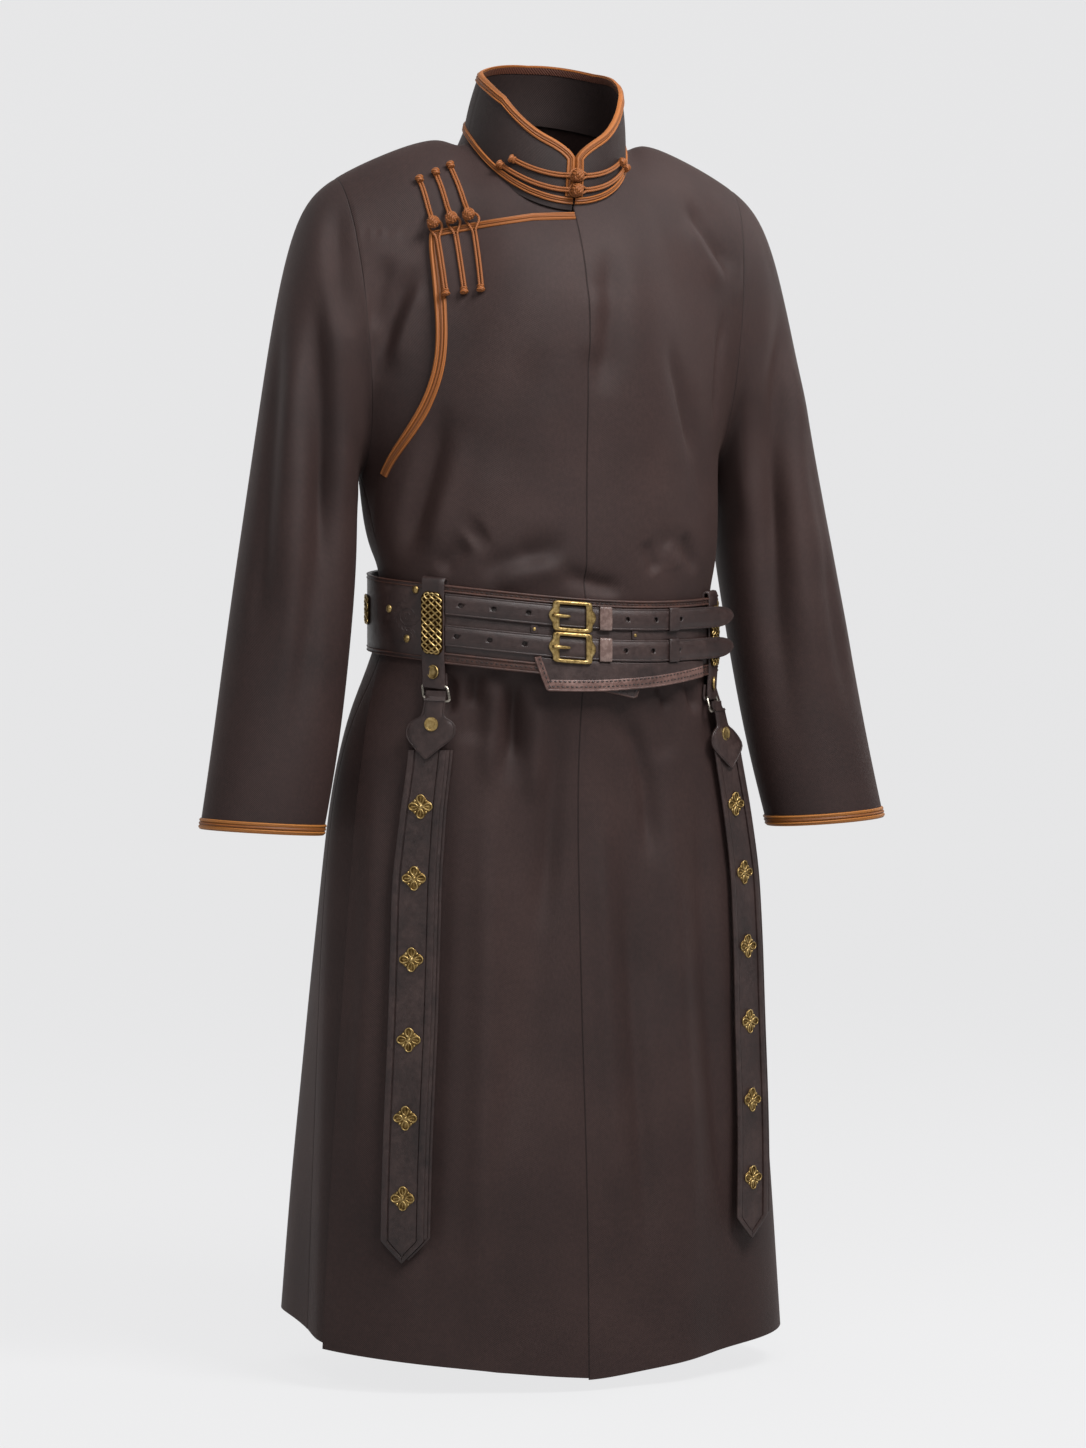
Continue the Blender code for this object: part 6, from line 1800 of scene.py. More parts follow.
def make_belt():
    half = BELT_HEIGHT / 2 - 0.0006
    section = [(-half + 0.0006, 0), (-half, 0.0006), (-half, BELT_WALL - 0.0008), (-half + 0.0008, BELT_WALL),
               (0.0, BELT_WALL), (half - 0.0008, BELT_WALL), (half, BELT_WALL - 0.0008), (half, 0.0006),
               (half - 0.0006, 0)]
    build = Build()
    build.loft([[band.point(a, h, BELT_LIFT + lift) for h, lift in section]
                for a in np.arange(0.0, 360.0, SECTION_TURN)], loop=True)
    front = angles_between(*FRONT_BAND)
    back = angles_between(FRONT_BAND[1], FRONT_BAND[0] + 360)
    for low, high in (TOP_BAND, LOW_BAND):
        outer = high if high > 0 else low
        inner = low if high > 0 else high
        sign = 1 if high > 0 else -1
        strip = [(inner, -0.0003), (inner, 0.0004), (inner + 0.0005 * sign, 0.0007),
                 (outer - 0.0010 * sign, 0.0007), (outer, 0.0), (outer, -BELT_WALL + 0.0004),
                 (outer - 0.0012 * sign, -BELT_WALL - 0.0001), (outer - 0.0012 * sign, -0.0003)]
        build.loft([[band.on(a, h, lift) for h, lift in strip] for a in front], 1)
        for height in (outer - 0.0010 * sign, inner + 0.0012 * sign):
            build.cord([band.on(a, height, 0.0010) for a in front], ROLL, 1)
    for sign in (-1, 1):
        for height in FINE_ROLLS:
            build.cord([band.on(a, height * sign, 0.0001) for a in back], 0.0006, 1, sides=6)
    return build.make("belt_leather", bridle, edging)


def sewn_line(name, spots, ways, spacing=0.0048, length=0.0034, width=0.0011, seed=1):
    return grown(name, stitch_tree, spots, ways, True, Spacing=spacing, Length=length, Width=width,
                 Seed=seed, Material=dark_thread)


def make_belt_stitches():
    front = angles_between(*FRONT_BAND)
    ways = [band.way(a) for a in front]
    rows = []
    for number, height in enumerate((0.0347, -0.0330)):
        spots = [band.on(a, height, 0.0009) for a in front]
        rows.append(sewn_line(f"belt_stitch_row_{number}", spots, ways, seed=3 + number))
    return joined_object("belt_stitches", rows)


finish_piece(make_belt(), "leather", "belt")
finish_piece(make_belt_stitches(), "leather")
length = sum((band.on(a + SECTION_TURN, 0) - band.on(a, 0)).length for a in np.arange(0, 360, SECTION_TURN))
print("the belt goes round", round(length, 3), "m")

# %% [markdown]
# ## Strips of leather
#
# A billet, a tab or a strap is a strip whose width changes along its length. Each cross-section starts
# at the underside, follows a profile in from one edge, crosses the middle and goes back. The profile
# holds the rounded edge and the crease line that an edge tool presses beside it.

# %% Leather strips
STRAP_WALL = 0.0022
PLY_GAP = 0.0004
# (inset in metres, share of the wall)
PLAIN_EDGE = [(0.0, 0.35), (0.0, 0.75), (0.0004, 0.96), (0.0008, 1.0)]
CREASED_EDGE = PLAIN_EDGE + [(0.0016, 1.0), (0.0019, 0.88), (0.0022, 1.0)]


def leaf(build, stations, lay, wall, edge, columns=2, kind=0):
    """Lofts a strip. A station is (along, low, high); lay(along, across, lift) places a point."""
    rings = []
    for along, low, high in stations:
        room = (high - low) * 0.48
        side = [(min(inset, room), share * wall) for inset, share in edge]
        left, right = low + side[-1][0], high - side[-1][0]
        middle = [(left + (right - left) * k / (columns + 1), side[-1][1]) for k in range(1, columns + 1)]
        trim = min(0.0006, room)
        under = [(high - trim - (high - low - 2 * trim) * k / (columns + 1), 0.0) for k in range(columns + 2)]
        ring = [(low + inset, lift) for inset, lift in side] + middle
        ring += [(high - inset, lift) for inset, lift in reversed(side)] + under
        rings.append([lay(along, across, lift) for across, lift in ring])
    return build.loft(rings, kind)


print("a strip has", len(CREASED_EDGE), "points down each edge")

# %% [markdown]
# ## Billets, keepers and buckles
#
# Two narrow straps pass through two brass buckles and two leather keepers each. Their punched holes
# are real ones, cut through, and their ends climb over the left hanger's plaque. A buckle's frame
# bulges in an ogee at each side, and its face slopes down to the window and to the rim.

# %% Billets and keepers
BILLET_HALF = 0.0105
Billet = namedtuple("Billet", "name height holes tab")
BILLETS = [Billet("upper", 0.0200, (-49.0, -37.4, -24.5, 17.7, 31.1, 43.7), -22.3),
           Billet("lower", -0.0105, (-50.4, -38.8, -26.0, 16.8, 29.7, 42.6), 21.5)]
BILLET_START = -54.2
BILLET_TIP = 75.5
BILLET_TAPER = 13.0
BILLET_FREE = 44.0              # past this angle a billet is stiff enough to stand away from the belt
BILLET_STIFF = 0.7              # how far its end goes from the belt's curve towards a straight line
HOLE_RADIUS = 0.0025
BUCKLE_ANGLE = -6.7
BELT_RADIUS = 0.135             # the belt's radius at the front, which turns lengths into angles
HANGER_RADIUS = 0.158
KEEPERS = [(7.5, 2.75), (39.5, 2.4)]
KEEPER_WALL = 0.0015
KEEPER_OVER = 0.0011
HANGER_WALL = 0.0024
STRAP_PLY = STRAP_WALL + PLY_GAP


def on_belt(angle, height, lift):
    spot = band.on(angle, height, PLY_GAP + lift)
    if angle <= BILLET_FREE:
        return spot
    start = band.on(BILLET_FREE, height, PLY_GAP + lift)
    along = (start - band.on(BILLET_FREE - 2, height, PLY_GAP + lift)).normalized()
    return spot.lerp(start + along * math.radians(angle - BILLET_FREE) * HANGER_RADIUS, BILLET_STIFF)


def make_billet(billet):
    straight = BILLET_TIP - BILLET_TAPER
    stations = [(a, BILLET_HALF) for a in angles_between(BILLET_START, straight)]
    stations += [(straight + BILLET_TAPER * share, BILLET_HALF * math.sqrt(1 - share ** 2.2 * 0.985))
                 for share in (0.15, 0.3, 0.45, 0.58, 0.7, 0.8, 0.88, 0.94, 0.98, 1.0)]
    build = Build()
    leaf(build, [(a, billet.height - half, billet.height + half) for a, half in stations], on_belt,
         STRAP_WALL, CREASED_EDGE)
    strap = build.make(f"billet_{billet.name}_leather", bridle, hole_shade_leather)
    # the cutters carry the darker leather onto the holes' walls, which paints the shade inside them
    cutter = Build()
    for angle in billet.holes:
        way = band.way(angle, billet.height)
        base = band.on(angle, billet.height, PLY_GAP - 0.001)
        cutter.turned(base, way, [(0.0, HOLE_RADIUS), (0.006, HOLE_RADIUS)], 1, 24)
    holes = cutter.make("hole_cutters", bridle, hole_shade_leather)
    modifier = strap.modifiers.new("holes", "BOOLEAN")
    modifier.object = holes
    modifier.solver = "EXACT"
    made = evaluated_mesh(strap)
    strap.modifiers.remove(modifier)
    strap.data = made
    bpy.data.objects.remove(holes)
    return strap


def make_keeper(name, height, middle, half, ridged):
    """A loop over the strap: it rises from the belt at each side, and fine ridges run along it."""
    reach = BILLET_HALF + KEEPER_OVER
    path = [(-reach, 0.0002), (-reach, 0.0012), (-reach + 0.0004, STRAP_PLY + 0.0002),
            (-reach + 0.0012, STRAP_PLY + 0.0006), (-reach / 2, STRAP_PLY + 0.0007), (0, STRAP_PLY + 0.0007)]
    path += [(-h, lift) for h, lift in reversed(path[:-1])]
    count = 13 if ridged else 5
    rings = []
    for h, lift in path:
        ring = [(-1.0, 0.3 * KEEPER_WALL), (-1.0, 0.75 * KEEPER_WALL)]
        for k in range(count):
            bump = 0.00028 * abs(math.sin(math.pi * 3 * k / (count - 1))) if ridged else 0.0
            ring.append((-0.95 + 1.9 * k / (count - 1), KEEPER_WALL + bump))
        ring += [(1.0, 0.75 * KEEPER_WALL), (1.0, 0.3 * KEEPER_WALL), (0.9, 0.0), (-0.9, 0.0)]
        flare = 1.0 if abs(h) < reach - 0.002 else 0.96
        rings.append([band.on(middle + half * a * flare, height + h, lift + rise) for a, rise in ring])
    # the ridged keeper takes the lighter leather, which paints its sheen
    return Build().loft(rings).make(name, sheen_painted_leather if ridged else bridle)


for billet in BILLETS:
    finish_piece(make_billet(billet), "leather", f"billet_{billet.name}")
    for number, (middle, half) in enumerate(KEEPERS, 1):
        keeper_name = f"keeper_{billet.name}_{number}"
        finish_piece(make_keeper(keeper_name + "_leather", billet.height, middle, half, number == 1),
                     "leather", keeper_name)
print("each billet has", len(BILLETS[0].holes), "holes")

# %% Buckles
WINDOW = (0.0132, 0.0112)
# the frame's outer edge for a quarter, from the side's middle to the middle of the upper bar
OGEE = [(0.0232, 0.0), (0.0229, 0.0020), (0.0221, 0.0040), (0.0208, 0.0058), (0.0198, 0.0074),
        (0.0195, 0.0100), (0.0193, 0.0124), (0.0185, 0.0138), (0.0165, 0.0147), (0.0120, 0.0151),
        (0.0060, 0.0151), (0.0, 0.0151)]
# the face from the window out: (share of the way to the outer edge, lift)
FRAME_FACE = [(0.0, 0.0002), (0.0, 0.0019), (0.10, 0.0028), (0.30, 0.0034), (0.44, 0.0034), (0.52, 0.0029),
              (0.62, 0.0030), (0.78, 0.0027), (0.94, 0.0018), (1.0, 0.0010), (1.0, 0.0002)]


def buckle_rim():
    """Matching points of the window's edge and the outer edge, all the way round."""
    quarter = []
    for x, z in OGEE:
        if z < 0.0110:
            inner = (WINDOW[0], z * WINDOW[1] / 0.0130)
        elif x > 0.0180:
            inner = (WINDOW[0] - 0.0004, WINDOW[1] - 0.0004)
        else:
            inner = (x * WINDOW[0] / 0.0175, WINDOW[1])
        quarter.append((inner, (x, z)))
    upper = quarter + [((-a, b), (-x, z)) for (a, b), (x, z) in reversed(quarter[:-1])]
    return upper + [((a, -b), (x, -z)) for (a, b), (x, z) in reversed(upper[1:-1])]


def on_buckle(height, x, z, lift):
    return band.on(BUCKLE_ANGLE + math.degrees(x / BELT_RADIUS), height + z, STRAP_PLY + PLY_GAP + lift)


def make_buckle(billet):
    rings = []
    for (a, b), (x, z) in buckle_rim():
        rings.append([on_buckle(billet.height, a + (x - a) * share, b + (z - b) * share, lift)
                      for share, lift in FRAME_FACE])
    build = Build().loft(rings, loop=True)
    return build.make(f"buckle_{billet.name}_brass", brass, sharp=35)


def make_prong(billet):
    """The prong: it grips the left bar, crosses the window's edge and ends in a blunt point."""
    path = [(-0.0190, 0.0006), (-0.0192, 0.0030), (-0.0180, 0.0046), (-0.0150, 0.0048), (-0.0120, 0.0040),
            (-0.0090, 0.0028), (-0.0060, 0.0020), (-0.0036, 0.0016), (-0.0024, 0.0014)]
    radii = [0.0013, 0.0016, 0.0018, 0.0018, 0.0017, 0.0016, 0.0015, 0.0012, 0.0005]
    build = Build().cord([on_buckle(billet.height, x, 0.0, lift) for x, lift in path], radii, sides=12)
    return build.make(f"prong_{billet.name}_brass", brass)


for billet in BILLETS:
    finish_piece(make_buckle(billet), "brass", f"buckle_{billet.name}")
    finish_piece(make_prong(billet), "brass", f"prong_{billet.name}")
print("buckles:", len(buckle_rim()), "points round each frame")

# %% [markdown]
# ## The belt's two ends
#
# The outer end runs to a slanted point that hangs below the belt. Its lower and slanted edges carry a
# red-brown border with a bead along the very edge and two rows of stitches. The tip of the other end
# comes out from under it.

# %% Flap and under end
FLAP_WALL = 0.0020
FLAP_TOP = -0.0222
FLAP_LEFT = [(-21.9, -0.0224), (-21.6, -0.0250), (-19.3, -0.0400), (-17.2, -0.0524), (-16.6, -0.0532)]
FLAP_LOW = [(4.0, -0.0502), (32.0, -0.0447), (57.0, -0.0380)]
FLAP_STEP = 0.003
FLAP_BORDER = 0.0100
UNDER_TIP = [(7.0, -0.0500), (15.0, -0.0530), (21.6, -0.0562), (23.2, -0.0548), (24.2, -0.0480)]
UNDER_END_LIFT = -0.0033        # from the belt's outer face


def low_edge(angle):
    return float(np.interp(angle, *zip(*FLAP_LEFT, *FLAP_LOW)))


def flat_edge(line):
    """A line of (angle, height) on the belt in flat metres, a step apart."""
    return spaced([(math.radians(angle) * BELT_RADIUS, height) for angle, height in line], FLAP_STEP)


def on_flap(along, height, lift):
    return band.on(math.degrees(along / BELT_RADIUS), height, PLY_GAP + lift)


flap_edge = flat_edge(FLAP_LEFT + FLAP_LOW)
flap_ways = inward_ways(flap_edge)
flap_corner = len(flat_edge(FLAP_LEFT)) - 1


def make_flap():
    build = Build()
    stations = [(a, low_edge(a), FLAP_TOP) for a in
                (-21.9, -21.2, -20.0, -18.8, -17.6, -16.8, -16.2, *angles_between(-15.0, 57.0, 2.0))]
    leaf(build, stations, lambda a, h, lift: band.on(a, h, PLY_GAP + lift), FLAP_WALL, PLAIN_EDGE, 3)
    border = [(0.0004, FLAP_WALL - 0.0006), (0.0002, FLAP_WALL), (0.0010, FLAP_WALL + 0.0004),
              (FLAP_BORDER - 0.0006, FLAP_WALL + 0.0004), (FLAP_BORDER, FLAP_WALL + 0.0001),
              (FLAP_BORDER, FLAP_WALL - 0.0006)]
    slim = [(min(i, 0.0056), lift) for i, lift in border]
    last = flap_corner - 1
    build.loft(lay_section(flap_edge[:flap_corner], slim, on_flap, flap_ways[:flap_corner]), 1)
    build.loft(lay_section(flap_edge[last:], border, on_flap, flap_ways[last:]), 1)
    build.cord([on_flap(*p, FLAP_WALL * 0.5 + 0.0003) for p in flap_edge], 0.0012, 1)
    return build.make("belt_flap_leather", bridle, rubbed)


def make_flap_stitches():
    rows = []
    for number, (inset, first) in enumerate(((0.0034, 1), (0.0084, flap_corner))):
        flat = [point + way * inset for point, way in zip(flap_edge[first:], flap_ways[first:])]
        spots = [on_flap(*p, FLAP_WALL + 0.0005) for p in flat]
        outs = [band.way(math.degrees(p[0] / BELT_RADIUS), p[1]) for p in flat]
        rows.append(sewn_line(f"flap_stitch_row_{number}", spots, outs, 0.0047, 0.0034, 0.0013, 11 + number))
    return joined_object("flap_stitches", rows)


def make_under_end():
    build = Build()
    stations = [(a, float(np.interp(a, *zip(*UNDER_TIP))), -0.0386) for a in angles_between(7.0, 24.2, 0.8)]
    leaf(build, stations, lambda a, h, lift: band.on(a, h, UNDER_END_LIFT + lift), 0.0025, PLAIN_EDGE, 3)
    edge = [band.on(a, h, UNDER_END_LIFT + 0.0016) for a, h in UNDER_TIP]
    build.cord(edge, 0.0011, 1)
    return build.make("belt_under_end_leather", bridle, edging)


def make_under_stitches():
    line = [(9.0, -0.0482), (15.0, -0.0502), (20.8, -0.0530), (22.4, -0.0500)]
    spots = [band.on(a, h, UNDER_END_LIFT + 0.0026) for a, h in line]
    return sewn_line("under_end_stitches", spots, [band.way(a, h) for a, h in line], 0.0046, 0.0033, seed=17)


finish_piece(make_flap(), "leather", "belt_flap_outer")
finish_piece(make_flap_stitches(), "leather")
finish_piece(make_under_end(), "leather", "belt_flap_inner")
finish_piece(make_under_stitches(), "leather")
print("flap edge", round(len(flap_edge) * FLAP_STEP, 3), "m")

# %% [markdown]
# ## Hanger loops, knotwork plaques and rings
#
# A loop of leather folds over the belt's upper edge, runs down its face and folds again round the ring.
# On it sits an openwork plaque. Its knot is one endless strand that runs on diagonals and turns back at
# every border, three times across for ten times down, and goes over and under itself by turns.

# %% Hanger loops
BELT_SIDE_RADIUS = 0.155
HANGER_HALF = 0.0105
HANGER_OVER = 0.0045
HANGER_UNDER = 0.0220
KNOT_PLATE_HALF = 0.0300
RING_HALF = 0.0150
RING_WIRE = 0.0014
RING_DROP = 0.0130
TAB_LIFT = 0.0078
TAB_WALL = 0.0024
Hanger = namedtuple("Hanger", "name angle side")
HANGERS = [Hanger("right", -58.5, -1), Hanger("left", 65.5, 1)]
LOOP_LOW = -BELT_HEIGHT / 2 - HANGER_UNDER
LOOP_HIGH = BELT_HEIGHT / 2 + HANGER_OVER
# the loop's middle line from the cloth, over the belt's edge, down to the ring and back up behind:
# (height, ply of its middle)
LOOP_LINE = [
    (0.0350, -0.0047), (0.0395, -0.0046), (0.0425, -0.0038), (0.0438, -0.0015), (0.0434, 0.0006),
    (0.0415, 0.0016), (0.0385, 0.0018), (0.0300, 0.0018), (0.0150, 0.0018), (0.0, 0.0018),
    (-0.0150, 0.0018), (-0.0300, 0.0018), (-0.0380, 0.0017), (-0.0450, 0.0012), (-0.0540, 0.0008),
    (-0.0600, 0.0012), (-0.0625, 0.0006), (-0.0634, -0.0014), (-0.0620, -0.0032), (-0.0585, -0.0036),
    (-0.0480, -0.0026),
]


def bent_strip(build, line, half, wall, place, columns=5):
    """A strip that is bent along its length: line is (height, lift of its middle)."""
    line = [np.array(p) for p in line]
    across = np.linspace(-0.965, 0.965, columns)
    ring = [(-1.0, -0.3), (-1.0, 0.3)] + [(a, 0.5) for a in across]
    ring += [(1.0, 0.3), (1.0, -0.3)] + [(a, -0.5) for a in across[::-1]]
    rings = []
    for k, spot in enumerate(line):
        along = line[min(k + 1, len(line) - 1)] - line[max(k - 1, 0)]
        out = np.array([along[1], -along[0]]) / np.linalg.norm(along) * wall
        rings.append([place(spot[0] + out[0] * t, a * half, spot[1] + out[1] * t) for a, t in ring])
    return build.loft(rings)


def make_hanger_loop(hanger):
    def place(height, across, lift):
        return band.on(hanger.angle + math.degrees(across / BELT_SIDE_RADIUS), height, lift)
    build = bent_strip(Build(), LOOP_LINE, HANGER_HALF, HANGER_WALL, place)
    return build.make(f"hanger_loop_{hanger.name}_leather", bridle)


for hanger in HANGERS:
    finish_piece(make_hanger_loop(hanger), "leather", f"hanger_loop_{hanger.name}")
print("each loop is", round(LOOP_HIGH - LOOP_LOW, 3), "m from fold to fold")

# %% Knotwork plaques
KNOT_STRAND = 0.00080
KNOT_RISE = 0.00050
KNOT_GROUND = 0.0009    # the wall of the plate behind the knot
KNOT_ROUNDING = 0.985   # under 1, so that the strand's bends are round
KNOT_REACH = 0.8898     # how far the rounded wave gets, by which it is stretched back to 1
KNOT_STEPS = 8          # points of the strand for each of its bends


def triangle(turns):
    """A wave of straight runs between -1 and 1 with its corners rounded."""
    return 2 / math.pi * math.asin(KNOT_ROUNDING * math.sin(2 * math.pi * turns)) / KNOT_REACH


def knot_strand(across, down):
    """Places of one endless strand: (x and y from -1 to 1, over or under from 1 to -1)."""
    count = 2 * across * down
    spots = []
    for step in range(count * KNOT_STEPS):
        turns = (step + 0.5 * KNOT_STEPS) / (count * KNOT_STEPS)
        x, y = triangle(down * turns), triangle(across * turns)
        rising = math.cos(2 * math.pi * down * turns) * math.cos(2 * math.pi * across * turns)
        column, row = (x + 1) * across, (y + 1) * down
        edge = min(column, 2 * across - column, row, 2 * down - row)
        over = math.cos(math.pi * column) * math.copysign(1, rising) * float(smooth_step(edge / 0.7))
        spots.append((x, y, over))
    return spots


def plaque_half(share, half):
    """The plaque's half width, which narrows to a blunt point at both ends."""
    return half * (1 - 0.42 * max((abs(share) - 0.80) / 0.20, 0) ** 1.6)


def make_plaque(name, middle, height, half, half_height, across, down, base, ground):
    def lay(x, y, lift):
        return band.on(middle + math.degrees(x / BELT_SIDE_RADIUS), height + y, base + lift)
    build = Build()
    rows = [-1.0, -0.96, -0.9, -0.8] + [k / 10 for k in range(-6, 7, 2)] + [0.8, 0.9, 0.96, 1.0]
    stations = [(s * half_height, -plaque_half(s, half), plaque_half(s, half)) for s in rows]
    leaf(build, stations, lambda y, x, lift: lay(x, y, lift), KNOT_GROUND, PLAIN_EDGE, 3, 1)
    room, long_room = half - KNOT_STRAND, half_height - KNOT_STRAND
    path = [lay(x * plaque_half(y, room), y * long_room, 2 * KNOT_GROUND + KNOT_RISE * over)
            for x, y, over in knot_strand(across, down)]
    build.cord(path, KNOT_STRAND, loop=True, sides=6)
    rim = [(plaque_half(s, half) * side, s * half_height) for side, order in ((1, rows), (-1, rows[::-1]))
           for s in order]
    build.cord([lay(x, y, 0.0010) for x, y in rim], 0.0004, 1, loop=True, sides=6)
    # the ground plate takes the very dark brass: painted shade behind the knot's openwork
    return build.make(name, brass, ground)


for hanger in HANGERS:
    plaque = make_plaque(f"knot_{hanger.name}_brass", hanger.angle, 0.0, 0.0098, KNOT_PLATE_HALF, 3, 10,
                         PLY_GAP + HANGER_WALL + 0.0003, knot_ground_shade_brass)
    finish_piece(plaque, "brass", f"knot_{hanger.name}")
# the small plaque at the belt's right side, which the edge of the body hides from the front
finish_piece(make_plaque("knot_side_brass", -92.0, 0.0030, 0.0100, 0.0145, 3, 4, 0.0002, knot_ground_shade_brass), "brass")
print("each knot has", len(knot_strand(3, 10)), "points")

# %% Rings, and the skins that things hang on
skins = (smooth_body, body_skin)
PROBE_ANGLE = 4.0
PROBE_HEIGHT = 0.012
# each strap's line from its point up: (z, angle)
STRAP_LINES = {
    "right": [(-1.105, -62.5), (-0.900, -63.5), (-0.730, -64.5), (-0.660, -63.5), (-0.600, -61.5)],
    "left": [(-1.105, 66.0), (-0.960, 70.5), (-0.810, 74.0), (-0.730, 75.0), (-0.660, 73.0), (-0.600, 70.0)],
}
TAB_TURN = (-0.545, -0.615)     # the tab turns from the hanger's angle to the strap's between these


def strap_angle(side, z):
    return float(np.interp(z, *zip(*STRAP_LINES[side])))


def furthest(angle, z):
    return max((skin.around(angle, z) for skin in skins), key=lambda spot: math.hypot(spot.x, spot.y))


def outermost(angle, z, lift):
    """The point at this angle and height on whichever surface stands further out, lifted off it."""
    across = furthest(angle + PROBE_ANGLE, z) - furthest(angle - PROBE_ANGLE, z)
    upward = furthest(angle, z + PROBE_HEIGHT) - furthest(angle, z - PROBE_HEIGHT)
    return furthest(angle, z) + across.cross(upward).normalized() * lift


def ring_bottom(hanger):
    return belt_middle(hanger.angle) + LOOP_LOW - 0.0019 - RING_DROP


def rounded_loop(corners, radius, steps=5):
    """A closed line through straight runs with rounded corners."""
    made = []
    for k, corner in enumerate(corners):
        before, after = corners[k - 1], corners[(k + 1) % len(corners)]
        a = corner + (before - corner).normalized() * radius
        b = corner + (after - corner).normalized() * radius
        made += [a.lerp(corner, s).lerp(corner.lerp(b, s), s) for s in (n / steps for n in range(steps + 1))]
    return made


def make_ring(hanger):
    side = (band.on(hanger.angle + 2, 0, 0) - band.on(hanger.angle - 2, 0, 0)).normalized() * RING_HALF
    top = band.on(hanger.angle, LOOP_LOW - 0.0001, 0.0)
    low = outermost(hanger.angle, ring_bottom(hanger), TAB_LIFT - 0.0008)
    path = rounded_loop([top + side * 0.90, top - side * 0.90, low - side * 0.94, low + side * 0.94], 0.0042)
    return Build().cord(path, RING_WIRE, loop=True, sides=12).make(f"ring_{hanger.name}_steel", steel)


for hanger in HANGERS:
    finish_piece(make_ring(hanger), "wire", f"ring_{hanger.name}")
print("ring wire", RING_WIRE * 2000, "mm")

# %% [markdown]
# ## Hanging straps and heart tabs
#
# Each strap has two layers: a front with a raised rim round a sunk panel, and a backing that shows
# beside it. A strap is stiff, so it is laid on the highest points of the skirt, stays straight across
# its width, and runs in a smooth line to its pointed end. A short tab folds round the ring and widens
# to a heart that covers the strap's upper end.

# %% Hanging straps
STRAP_HALF = 0.0215
STRAP_TOP = -0.604
STRAP_TIP = {"right": -1.103, "left": -1.096}
STRAP_POINT = 0.022
STRAP_SLIM = 0.0025     # each half is this much narrower at the top, and full from STRAP_FULL_Z down
STRAP_FULL_Z = -0.760
STRAP_SLIM_LENGTH = 0.150
BACKING_SHIFT = 0.0060
BACKING_SHORT = 0.003
BACKING_LIFT = 0.0012
FRONT_LIFT = 0.0040
STRAP_LEAF = 0.0026
STRAP_STEPS = 64
PANEL_EDGE = [(0.0, 0.30), (0.0, 0.72), (0.0005, 0.94), (0.0011, 1.0), (0.0054, 1.0), (0.0062, 0.92),
              (0.0065, 0.30), (0.0072, 0.30), (0.0078, 0.60)]
BACKING_EDGE = PLAIN_EDGE + [(0.0026, 1.0), (0.0030, 0.8), (0.0034, 1.0)]
STRAP_TURN = {"right": 0.0, "left": -14.0}      # the left strap is turned a little to the front


class StrapBase:
    """The hanging strap's middle line, with its directions across and out, smoothed down its length."""

    def __init__(self, side):
        levels = np.linspace(STRAP_TOP + 0.010, STRAP_TIP[side] - 0.006, STRAP_STEPS)
        rows = []
        for z in levels:
            angle = strap_angle(side, z)
            middle = furthest(angle, z)
            spread = math.degrees(STRAP_HALF / math.hypot(middle.x, middle.y))
            spots = [furthest(angle + spread * a, z) for a in (-1, -0.5, 0, 0.5, 1.3)]
            turned = Matrix.Rotation(math.radians(STRAP_TURN[side]), 3, "Z")
            across = turned @ (spots[4] - spots[0]).normalized()
            out = across.cross(Vector((0, 0, 1))).normalized()
            high = max((spot - middle).dot(out) for spot in spots)
            rows.append((*(middle + out * high), *across))
        table = np.array(rows)
        for _ in range(6):
            raised = table[:, :3].copy()
            table[1:-1] = table[:-2] * 0.25 + table[1:-1] * 0.5 + table[2:] * 0.25
            outward = np.stack([table[:, 4], -table[:, 3], np.zeros(len(table))], axis=1)
            lost = np.maximum(((raised - table[:, :3]) * outward).sum(axis=1), 0)
            table[:, :3] += outward * lost[:, None] * 0.7
        self.levels, self.table = levels[::-1], table[::-1]

    def place(self, z, across, lift):
        values = [np.interp(z, self.levels, self.table[:, k]) for k in range(6)]
        side = Vector(values[3:]).normalized()
        return Vector((values[0], values[1], z)) + side * across + side.cross(Vector((0, 0, 1))) * lift


def strap_stations(side, short):
    tip = STRAP_TIP[side] + short
    shoulder = tip + STRAP_POINT
    stations = [(z, STRAP_HALF - STRAP_SLIM * float(smooth_step((z - STRAP_FULL_Z) / STRAP_SLIM_LENGTH)))
                for z in np.linspace(STRAP_TOP, shoulder, 56)]
    stations += [(shoulder - STRAP_POINT * share, STRAP_HALF * (1 - share ** 1.08 * 0.985))
                 for share in (0.06, 0.15, 0.3, 0.45, 0.6, 0.75, 0.87, 0.95, 1.0)]
    return stations


Layer = namedtuple("Layer", "name shift short lift wall edge")
STRAP_LAYERS = [Layer("strap", 0.0, 0.0, FRONT_LIFT, STRAP_LEAF, PANEL_EDGE),
                Layer("strap_backing", BACKING_SHIFT, BACKING_SHORT, BACKING_LIFT, STRAP_WALL, BACKING_EDGE)]


def make_strap(side, base, layer):
    build = Build()
    stations = [(z, layer.shift - half, layer.shift + half) for z, half in strap_stations(side, layer.short)]
    leaf(build, stations, lambda z, across, lift: base.place(z, across, layer.lift + lift), layer.wall,
         layer.edge, 3)
    return build.make(f"{layer.name}_{side}_leather", bridle)


strap_bases = {hanger.name: StrapBase(hanger.name) for hanger in HANGERS}
for side, base in strap_bases.items():
    for layer in STRAP_LAYERS:
        finish_piece(make_strap(side, base, layer), "leather", f"{layer.name}_{side}")
print("straps hang", round((STRAP_TOP - STRAP_TIP["right"]) * 1000), "mm")

